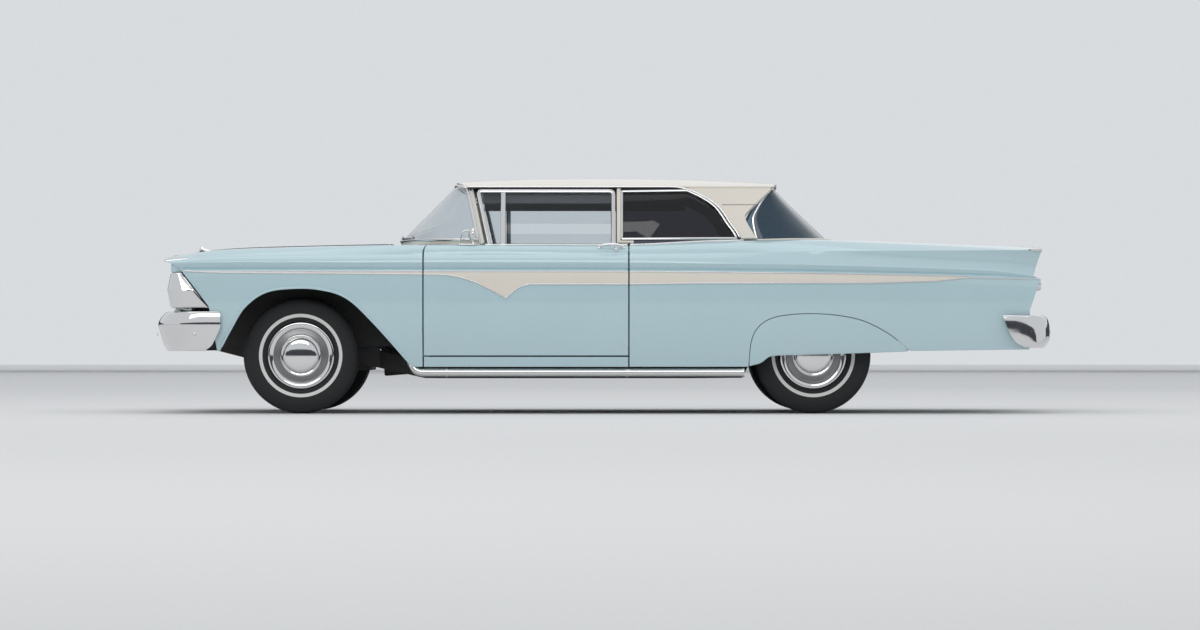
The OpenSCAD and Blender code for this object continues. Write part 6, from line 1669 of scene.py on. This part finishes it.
WHEEL = np.array([DOOR_F - LEN * 0.0747, SEAT_HALF * 0.551, ROOF * 0.6056])
COL_X, COL_Z = np.array([0.46947, 0, 0.88295]), np.array([-0.88295, 0, 0.46947])


def on_column(u, w, h):
    """Point in the steering wheel's own frame: u up its plane, w to the left, h towards the driver."""
    u, w, h = np.broadcast_arrays(np.asarray(u, float), np.asarray(w, float), np.asarray(h, float))
    return WHEEL + u[..., None] * COL_X + w[..., None] * np.array([0, 1.0, 0]) + h[..., None] * COL_Z


col = turned([[0, -0.560], [0.020, -0.560], [0.022, -0.556], [0.022, -0.110], [0.027, -0.104], [0.029, -0.060],
    [0.027, -0.034], [0.022, -0.030], [0.010, -0.030], [0.010, 0.0098], [0, 0.0098]], 40, WHEEL, COL_Z)
bracket = block([DASH_X - 0.115, WHEEL[1] - 0.030, 0.712], [DASH_X - 0.065, WHEEL[1] + 0.030, 0.760], 0.005)
add_mesh("steering_column", join(col, bracket), PAINT)
lever = on_column(np.linspace(0, 0.05, 14), np.linspace(0, -0.21, 14), -0.085 + 0.022 * np.linspace(0, 1, 14) ** 2)
stalk = on_column(np.linspace(0, 0.03, 14), np.linspace(0, 0.15, 14), np.full(14, -0.060))
add_mesh("column_levers", join(tube(lever, 0.0055, 14, COL_Z), tube(stalk, 0.004, 12, COL_Z)), CHROME)
knob = [turned([[0, -0.010], [0.006, -0.009], [0.012, 0.0], [0.013, 0.012], [0.009, 0.022], [0, 0.025]], 28,
    lever[-1], lever[-1] - lever[-2]), turned([[0, -0.006], [0.005, -0.005], [0.008, 0.0], [0.008, 0.010],
    [0, 0.014]], 24, stalk[-1], stalk[-1] - stalk[-2])]
add_mesh("lever_knobs", join(*knob), PLASTIC, slot="wheel_plastic")

a = circle(24)
rim = lathe(coords(0.204 + 0.0105 * np.cos(a), 0.011 * np.sin(a)), 120, WHEEL, COL_Z)
hub = turned([[0, 0.0245], [0.012, 0.0243], [0.024, 0.0225], [0.031, 0.018], [0.034, 0.010], [0.034, -0.012],
    [0.0108, -0.012], [0.0108, 0.0106], [0, 0.0106]], 48, WHEEL, COL_Z)
u = np.linspace(0, 1, 24)
spokes = [sweep(on_column(0.0 - 0.010 * np.sin(np.pi * u), s * mix(0.028, 0.199, u), 0.004 - 0.004 * u),
    bar(0.024, 0.010, 0.004), COL_Z, size=np.interp(u, [0, 0.35, 1], [1.3, 0.8, 1.0])) for s in (-1, 1)]
add_mesh("steering_rim", join(rim, hub, *spokes), PLASTIC, "steering_wheel", node="steering_wheel",
    slot="wheel_plastic")
h = np.linspace(-np.pi * 1.02, 0.02 * np.pi, 60)
horn = tube(on_column(0.112 * np.sin(h), 0.112 * np.cos(h), 0.0135 + 0 * h), 0.0045, 14, COL_Z)
boss = turned([[0, 0.031], [0.010, 0.0305], [0.019, 0.0275], [0.0225, 0.0235], [0.0225, 0.0215], [0, 0.0215]], 40,
    WHEEL, COL_Z)
add_mesh("horn_ring", join(horn, boss), CHROME, "steering_wheel", slot="wheel_plastic")

arms, pads = [], []
for yy, w, h, x in ((0.47, 0.055, 0.055, 1.000), (0.34, 0.055, 0.055, 1.000)):
    path = rounded([[1.184, yy, 0.760], [1.130, yy, 0.700], [x + 0.022, yy, 0.530], [x + 0.010, yy, 0.505]], 0.05)
    arms.append(sweep(dense(path, 0.012), bar(0.008, 0.018, 0.003), [1, 0, 0.3]))
    pads.append(block([x - 0.010, yy - w / 2, 0.470], [x + 0.010, yy + w / 2, 0.470 + h], 0.005, rot("y", -28)))
pads.append(block([1.020, 0.195, 0.400], [1.036, 0.250, 0.600], 0.006, rot("y", 35)))
add_mesh("pedal_arms", join(*arms), CHASSIS)
add_mesh("pedal_pads", join(*pads), BLACK, slot="chassis")

# Roof rails inside the cabin, dark seals at the roof edge, hinge straps and lugs

x = np.linspace(door_at(0.262), DOOR_R - DOOR_LEN * 0.30, 60)
rail = [sweep(on_glass(x, np.full(60, TOP_S - 0.036), 0.052), bar(0.084, 0.018, 0.007), GLASS_OUT)]
h = np.linspace(0.97, 0.20, 24)
bend = coords(DOOR_R - DOOR_LEN * curve(PILLAR_F, h, 1) + 0.006, TOP_S * h)
rail.append(sweep(on_glass(*bend.T, 0.050), bar(0.060, 0.018, 0.007), GLASS_OUT))
rail.append(sweep(on_glass(np.full(20, door_at(0.94) - 0.026), np.linspace(0.02, TOP_S - 0.04, 20), 0.040),
    bar(0.044, 0.016, 0.006), GLASS_OUT))
# The inner rails' dark cloth is painted shade that darkens the top of the side windows
add_mesh("inner_rails", both(join(*rail)), LINER_PAINTED_SHADE)
x = np.linspace(door_at(0.215), DOOR_R - DOOR_LEN * 0.245, 60)
add_mesh("roof_edge_seals", both(sweep(on_glass(x, np.full(60, TOP_S + 0.004), 0.004), bar(0.006, 0.014, 0.002),
    GLASS_OUT)), SEAL)

hinge_x, hinge_y = DOOR_F - 0.075, 0.97996
straps = []
for z in (ROOF * 0.385, ROOF * 0.555):
    straps.append(lathe([[0.00505, -0.012], [0.0098, -0.012], [0.010, -0.0115], [0.010, 0.0115], [0.0098, 0.012],
        [0.00505, 0.012]], 32, [hinge_x, hinge_y, z], [0, 0, 1]))
    straps.append(block([hinge_x - 0.079, hinge_y - 0.020, z - 0.012], [hinge_x - 0.006, hinge_y - 0.0055, z + 0.012],
        0.002))
    straps += [bolt_head([hinge_x - d, hinge_y - 0.020, z], [0, -1, 0], 0.006) for d in (0.035, 0.060)]
for side in SIDES:
    add_mesh("door_hinges_" + side, sided(side, join(*straps)), PAINT, "door_" + side)
for name, x, x_ref, z, body in (("hood_lugs", 1.29072, HOOD_REAR, 0.990748, "hood"),
        ("trunk_lugs", -1.46847, TRUNK_F, 1.01806, "trunk_lid")):
    y = 0.82 * top(np.array(x_ref))[0]
    lug = lathe([[0.00505, -0.015], [0.009, -0.015], [0.009, 0.015], [0.00505, 0.015]], 32, [x, y, z], [0, 1, 0])
    add_mesh(name, both(lug), STEEL, body, slot="body_paint")

# Underside of the lids: pressed frames

def lid_frame(x0, x1, crown, edge, bars):
    """Frame of bars under a lid, raised from its underside, along the edges and across."""
    def place(x, v):
        """Point under the lid at x and share v across."""
        t = top(x)
        return coords(x, v * (t[:, 0] - edge), t[:, 1] + crown * (1 - v * v) - SHEET - 0.003)
    n = 50
    out = []
    for v in (-0.90, 0.90):
        out.append(place(np.linspace(x0, x1, n), np.full(n, v)))
    for k in (x0, x1):
        out.append(place(np.full(n, k), np.linspace(-0.90, 0.90, n)))
    for a, b in bars:
        out.append(place(np.linspace(mix(x0, x1, a[0]), mix(x0, x1, b[0]), n), np.linspace(a[1], b[1], n)))
    return join(*[sweep(q, bar(0.060, 0.012, 0.005), [0, 0, 1]) for q in out])


add_mesh("hood_frame", lid_frame(HOOD_REAR + 0.10, HOOD_NOSE - 0.06, HOOD_CROWN, GAP,
    [[(0, -0.45), (1, -0.45)], [(0, 0.45), (1, 0.45)]]), PAINT, "hood")
add_mesh("trunk_frame", lid_frame(TRUNK_R + 0.06, TRUNK_F - 0.10, 0.010, GAP,
    [[(0, -0.40), (1, -0.40)], [(0, 0.40), (1, 0.40)]]), PAINT, "trunk_lid")

# Engine, gearbox, cooling and battery

ENG_F, ENG_LOW = AXLE_F + LEN * 0.0485, 0.355
ENG_R = ENG_F - LEN * 0.1344
SHAFT_Z = ROOF * 0.2268
parts = [block([ENG_R, -0.135, 0.440], [ENG_F, 0.135, 0.640], 0.02),
    block([ENG_R + 0.03, -0.115, ENG_LOW], [ENG_F - 0.06, 0.115, 0.455], 0.03)]
for s in (-1, 1):
    turn = rot("x", s * -45)
    parts.append(block([ENG_R + 0.02, s * 0.155 - 0.075, 0.600], [ENG_F - 0.03, s * 0.155 + 0.075, 0.750], 0.012,
        turn))
covers, dark, iron, bright, pipes = [], [], [], [], []
for s in (-1, 1):
    turn = rot("x", s * -45)
    c = np.array([0, s * 0.208, 0.728])
    covers.append(block([ENG_R + 0.04, c[1] - 0.058, c[2] - 0.026], [ENG_F - 0.05, c[1] + 0.058, c[2] + 0.030], 0.018,
        turn))
    for x in np.linspace(ENG_R + 0.10, ENG_F - 0.11, 4):
        iron.append(tube(np.array([[x, s * 0.225, 0.640], [x, s * 0.252, 0.615], [x, s * 0.256, 0.560]]), 0.020, 16))
        bright.append(turned([[0, 0.040], [0.006, 0.039], [0.009, 0.030], [0.009, 0.0], [0, 0.0]], 16,
            [x, s * 0.248, 0.672], [0, s, -0.6]))
    iron.append(tube(np.array([[ENG_R + 0.06, s * 0.252, 0.548], [ENG_F - 0.09, s * 0.252, 0.548]]), 0.024, 18))
    iron.append(tube(rounded([[ENG_R + 0.10, s * 0.250, 0.548], [ENG_R + 0.04, s * 0.250, 0.44],
        [ENG_R - 0.04, s * 0.235, 0.36]], 0.05, 8), 0.023, 18))
parts.append(block([ENG_R + 0.10, -0.10, 0.690], [ENG_F - 0.12, 0.10, 0.765], 0.02))
iron.append(block([1.62, -0.055, 0.765], [1.74, 0.055, 0.815], 0.012))
dark.append(lathe([[0.040, 0.800], [0.150, 0.806], [0.166, 0.816], [0.168, 0.866], [0.156, 0.884], [0.080, 0.892],
    [0.020, 0.893], [0.020, 0.888], [0.040, 0.880]], 72, [1.68, 0, 0], [0, 0, 1]))
bright.append(turned([[0, 0.912], [0.006, 0.911], [0.009, 0.905], [0.022, 0.899], [0.024, 0.890], [0, 0.888]], 28,
    [1.68, 0, 0], [0, 0, 1]))
bright.append(lathe([[0.1685, 0.828], [0.1700, 0.831], [0.1700, 0.849], [0.1685, 0.852]], 72, [1.68, 0, 0],
    [0, 0, 1]))
iron.append(turned([[0, 0.62], [0.030, 0.62], [0.030, 0.735], [0.038, 0.740], [0.040, 0.790], [0.030, 0.800],
    [0, 0.802]], 32, [ENG_R + 0.06, 0, 0], [0, 0, 1]))
for z, r, w in ((0.610, 0.075, 0.035), (0.470, 0.090, 0.030)):
    iron.append(turned([[0, 0.0], [r * 0.9, 0.0], [r, 0.004], [r * 0.86, w * 0.5], [r, w - 0.004], [r * 0.9, w],
        [r * 0.4, w], [r * 0.3, w + 0.012], [0, w + 0.012]], 48, [ENG_F, 0, z], [1, 0, 0]))
iron.append(turned([[0, 0.0], [0.040, 0.0], [0.058, 0.010], [0.058, 0.115], [0.045, 0.130], [0, 0.132]], 36,
    [ENG_F - 0.150, 0.205, 0.805], [1, 0, 0]))
iron.append(turned([[0, 0.0], [0.036, 0.0], [0.038, 0.004], [0.033, 0.010], [0.038, 0.018], [0.036, 0.022],
    [0, 0.022]], 36, [ENG_F + 0.002, 0.205, 0.805], [1, 0, 0]))
belt = np.array([[0.0, 0.470, 0.088], [0.0, 0.610, 0.073], [0.205, 0.805, 0.036]])
a = circle(72)
hull = (belt[:, None, :2] + belt[:, None, 2:] * coords(np.cos(a), np.sin(a))[None]).reshape(-1, 2)
far = hull[np.argmax(hull @ np.stack([np.cos(a), np.sin(a)]), 0)]
far = far[np.r_[True, np.linalg.norm(np.diff(far, axis=0), axis=1) > 1e-6]]
pipes.append(sweep(np.c_[np.full(len(far), ENG_F + 0.014), far], bar(0.006, 0.009, 0.002), [1, 0, 0], closed=True))
FAN_X = ENG_F + 0.060
for k in range(4):
    q = rot("x", k * 90 + 20)
    blade = np.array([[0, -0.018, 0.03], [0, -0.034, 0.10], [0, -0.040, 0.17], [0, -0.022, 0.185], [0, 0.030, 0.180],
        [0, 0.034, 0.10], [0, 0.018, 0.03]])
    blade[:, 0] = blade[:, 1] * 0.45
    bright.append(plate(blade @ q.T + [FAN_X, 0, 0.610], np.array([1, -0.45, 0]) @ q.T, 0.003, 0.001))
iron.append(turned([[0, -0.062], [0.020, -0.062], [0.020, -0.008], [0.042, -0.004], [0.042, 0.008], [0.016, 0.012],
    [0, 0.013]], 32, [FAN_X, 0, 0.610], [1, 0, 0]))
RAD_X = 2.315
dark.append(block([RAD_X, -0.290, 0.500], [RAD_X + 0.052, 0.290, 0.800], 0.006))
dark.append(block([RAD_X - 0.006, -0.300, 0.796], [RAD_X + 0.058, 0.300, 0.860], 0.016))
dark.append(block([RAD_X - 0.004, -0.300, 0.452], [RAD_X + 0.056, 0.300, 0.504], 0.012))
dark.append(block([RAD_X + 0.050, -0.330, 0.50], [2.420, -0.296, 0.800], 0.004))
dark.append(block([RAD_X + 0.050, 0.296, 0.50], [2.420, 0.330, 0.800], 0.004))
dark += [block([RAD_X - 0.003, y - 0.0035, 0.506], [RAD_X + 0.001, y + 0.0035, 0.795],
    0.001) for y in np.linspace(-0.275, 0.275, 34)]
bright.append(turned([[0, 0.022], [0.018, 0.021], [0.026, 0.014], [0.027, 0.002], [0.018, 0.0], [0, -0.004]], 28,
    [RAD_X + 0.026, -0.08, 0.859], [0, 0, 1]))
pipes.append(tube(dense(rounded([[RAD_X - 0.004, 0.10, 0.828], [RAD_X - 0.07, 0.10, 0.840],
    [ENG_F - 0.02, 0.05, 0.800], [ENG_F - 0.10, 0.03, 0.765]], 0.06, 10), 0.015), 0.024, 18))
pipes.append(tube(dense(rounded([[RAD_X - 0.002, -0.22, 0.478], [RAD_X - 0.08, -0.22, 0.480],
    [ENG_F + 0.03, -0.10, 0.550], [ENG_F - 0.02, -0.06, 0.575]], 0.06, 10), 0.015), 0.024, 18))
GEAR_L = LEN * 0.0896
iron.append(turned([[0, GEAR_L], [0.100, GEAR_L], [0.104, GEAR_L - 0.01], [0.094, GEAR_L * 0.72],
    [0.080, GEAR_L * 0.66], [0.075, GEAR_L * 0.25], [0.052, GEAR_L * 0.20], [0.040, 0.02], [0.036, 0], [0, 0]], 48,
    [ENG_R - GEAR_L, 0, SHAFT_Z], [1, 0, 0]))
REAR_X = AXLE_R + 0.125 + SEAT
SHAFT_L = ENG_R - GEAR_L - REAR_X
iron.append(turned([[0, 0], [0.022, 0], [0.030, 0.03], [0.036, 0.05], [0.036, 0.07], [0.030, 0.085],
    [0.030, SHAFT_L - 0.09], [0.036, SHAFT_L - 0.07], [0.036, SHAFT_L - 0.04], [0.024, SHAFT_L], [0, SHAFT_L]], 36,
    [REAR_X, 0, SHAFT_Z], [1, 0, 0]))
add_mesh("engine_castings", join(*parts), ENGINE, node="powertrain")
add_mesh("engine_covers", join(*covers), STEEL, slot="castings")
add_mesh("engine_iron", join(*iron), IRON)
add_mesh("engine_black_parts", join(*dark), BLACK, slot="castings")
add_mesh("engine_bright_parts", join(*bright), STEEL, slot="castings")
add_mesh("radiator_pipes_and_belt", join(*pipes), SEAL, slot="castings")
bay = [block([2.12, -0.80, 0.812], [2.36, -0.60, 0.822], 0.004),
    block([2.13, -0.79, 0.822], [2.35, -0.61, 0.930], 0.010)]
add_mesh("battery", join(*bay), BLACK, slot="castings")
caps = [turned([[0, 0.012], [0.010, 0.011], [0.013, 0.006], [0.013, -0.002], [0, -0.002]], 20, [x, -0.70, 0.930],
    [0, 0, 1]) for x in np.linspace(2.16, 2.32, 6)]
post = [turned([[0, 0.022], [0.008, 0.021], [0.009, 0.0], [0, -0.002]], 20, [x, -0.64, 0.930],
    [0, 0, 1]) for x in (2.15, 2.33)]
master = turned([[0, 0.0], [0.026, 0.0], [0.028, 0.006], [0.028, 0.110], [0.018, 0.118], [0, 0.120]], 28,
    [1.199, 0.40, 0.740], [1, 0, 0])
can = turned([[0, 0.0], [0.030, 0.0], [0.030, 0.050], [0.024, 0.056], [0.024, 0.066], [0, 0.068]], 28,
    [1.255, 0.40, 0.760], [0, 0, 1])
add_mesh("bay_metal", join(*caps, *post, master, can), STEEL, slot="castings")

flaps = block([AXLE_F - 0.125, 0.4330, 0.455], [AXLE_F + 0.125, 0.4405, 0.700], 0.002)
add_mesh("splash_flaps", both(flaps), SEAL, slot="chassis")
ends = block([TAIL_X + 0.004, 0.800, 0.420], [TAIL_X + 0.016, 0.885, 0.880], 0.003)
add_mesh("tail_end_fillers", both(ends), PAINT)

# Pans between the bumpers and the body, trunk mat and spare wheel

c_pan = np.linspace(-0.93, 0.93, 60)
edge_x = NOSE - BF + BF * (1 - np.abs(c_pan) ** SQUARE_F) ** (1 / SQUARE_F)
w = np.linspace(0, 1, 8)
front = coords(edge_x - 0.058, c_pan * HALF * 0.96, 0.598)
back = coords(np.minimum(edge_x - 0.062, GRILLE_F - GRILLE_D * 0.30), c_pan * HALF * 0.93, GRILLE_LOW - 0.002)
p = mix(front[:, None], back[:, None], w[None, :, None]) - coords(0, 0, 0.006 * np.sin(np.pi * w))
shell("front_pan", p, p - [0, 0, 0.005], PAINT, hem=0.002)
x, y = plane(np.linspace(-2.50, -1.83, 8), np.linspace(-0.80, 0.80, 60))
z = RAIL_REAR + RAIL_H + SEAT + 0.020 + 0 * x
p = coords(x, y, z + 0.006 + 0.0015 * (np.abs(y / 0.02 % 1 - 0.5) < 0.25))
shell("trunk_mat", p, coords(x, y, z + 0.001), SEAL, hem=0.003, slot="upholstery")
c = np.array([-2.13, -0.42, RAIL_REAR + RAIL_H + 0.030 + TYRE_W / 2])
sv, sf = tyre_mesh(np.zeros(3), 1, 120)
sv = sv[:, [0, 2, 1]] * 0.92
add_mesh("spare_tyre", outward(sv + c, sf), RUBBER, sharp=30)
spare = np.array([[0, 0.010], [0.060, 0.010], [0.075, 0.022], [0.125, 0.026], [0.150, 0.014], [0.158, 0.046],
    [0.166, 0.058], [0.184, 0.062], [0.184, 0.054], [0.170, 0.050], [0.164, -0.050], [0.180, -0.060], [0.160, -0.052],
    [0.150, 0.004], [0, 0.004]])
add_mesh("spare_wheel", turned(spare, 64, c, [0, 0, 1]), CREAM)

# Trunk floor's sides: from the floor's edge out to the quarters, and a strip from each wheel tub to them
BEND, KICK, TUB_R = LEN * 0.0467, ROOF * 0.4225, TYRE / 2 + 0.055
x = np.r_[np.linspace(AXLE_R - 1.18 * BEND, AXLE_R - 2.3 * BEND, 12),
    np.linspace(AXLE_R - 2.42 * BEND, TAIL_X + 0.006, 16)]
z = np.interp(-x, [1.3 * BEND - AXLE_R, 2.3 * BEND - AXLE_R], [KICK, RAIL_REAR + RAIL_H]) + 0.022
inner = np.where(x > AXLE_R - 2.35 * BEND, HALF * 0.568, HALF * 0.835)
v = np.linspace(0, 1, 10)
y = mix(inner[:, None], (side_y(x, z) - SHEET - 0.002)[:, None], v)
p = coords(x[:, None], y, z[:, None])
side_floor = shell_arrays(p, p - [0, 0, 0.0016], 0.0005)
a = np.radians(np.linspace(-50, 50, 40))[:, None]
x, z = AXLE_R + TUB_R * np.sin(a), AXLE_Z + TUB_R * np.cos(a)
y = mix(HALF * 0.903, side_y(x, z) - SHEET - 0.002, v)
away = coords(np.sin(a), 0, np.cos(a))
p = coords(x, y, z)
tub_strip = shell_arrays(p + away * 0.004, p + away * 0.001, 0.0005)
add_mesh("trunk_side_floors", both(join(side_floor, tub_strip)), CHASSIS)

# Camera at the photograph's place: square on to the left side, far off and low
cam = bpy.data.cameras.new("photo_camera")
cam_obj = put("photo_camera", cam)
cam.sensor_width = 36.0
CAM_FAR, CAM_X, CAM_Z, VIEW_MID_Z = 27.0, 0.0177, 0.42, 0.585
VIEW_W = 1200 * 0.005907  # photograph's width in pixels times metres a pixel at the near side
cam.lens = cam.sensor_width / (VIEW_W / CAM_FAR)
cam.shift_y = (VIEW_MID_Z - CAM_Z) / VIEW_W
cam_obj.location = (CAM_X, HALF + CAM_FAR, CAM_Z)
cam_obj.rotation_euler = (np.pi / 2, 0, np.pi)
bpy.context.scene.camera = cam_obj

# Pale floor and soft studio light

def stage_piece(name, corners, finish, seen):
    """Flat faces for the stage, four corners each; seen tells if the camera shows them or only mirrors do."""
    me = bpy.data.meshes.new(name)
    me.from_pydata(corners, [], np.arange(len(corners)).reshape(-1, 4).tolist())
    o = put(name, me)
    me.materials.append(finish)
    o.visible_camera = seen


stage_piece("floor", [(-60, -60, 0), (60, -60, 0), (60, 60, 0), (-60, 60, 0)],
    material("floor_pale", (0.78, 0.775, 0.77), 0.85), True)
world = bpy.data.worlds.new("studio")
bpy.context.scene.world = world
world.use_nodes = True
world.node_tree.nodes["Background"].inputs["Color"].default_value = (0.86, 0.89, 0.92, 1)
world.node_tree.nodes["Background"].inputs["Strength"].default_value = 0.8


def area(name, place, aim, size, power):
    """Soft lamp: a lit rectangle at place that faces the point aim."""
    lamp = bpy.data.lights.new(name, "AREA")
    lamp.shape = "RECTANGLE"
    lamp.size, lamp.size_y = size
    lamp.energy = power
    o = put(name, lamp)
    o.location = place
    d = np.asarray(aim, float) - np.asarray(place, float)
    o.rotation_euler = mathutils.Vector(d).to_track_quat("-Z", "Y").to_euler()


area("sky_panel", (0, 1.0, 8.0), (0, 0, 0), (12, 8), 160)
area("side_panel", (4.0, 20, 10.8), (0, 0, 0.7), (14, 4.6), 560)
area("back_panel", (-2, -12, 5.0), (0, 0, 0.7), (10, 4), 25)
stage_piece("dark_cards", [(-45, 40, 0.0), (45, 40, 0.0), (45, 40, 6.5), (-45, 40, 6.5), (45, -40, 0.0),
    (-45, -40, 0.0), (-45, -40, 4.2), (45, -40, 4.2)], material("card_grey", (0.08, 0.085, 0.10), 0.9), False)
bpy.context.scene.view_settings.view_transform = "Standard"

# Finish of the CAD's own nodes by their slot
FINISH = {"chassis": CHASSIS, "castings": IRON, "chrome": CHROME, "glass": GLASS, "lamp_glass": LAMP,
    "lamp_red": RED, "upholstery": CLOTH_A, "wheel_plastic": PLASTIC, "tyre": RUBBER, "roof_paint": CREAM}
slot_of = {p["node"]: p["material_slot"] for p in frame["record"]["subparts"]}
for name, o in frame["nodes"].items():
    o.data.materials.clear()
    o.data.materials.append(FINISH.get(slot_of[name], PAINT))
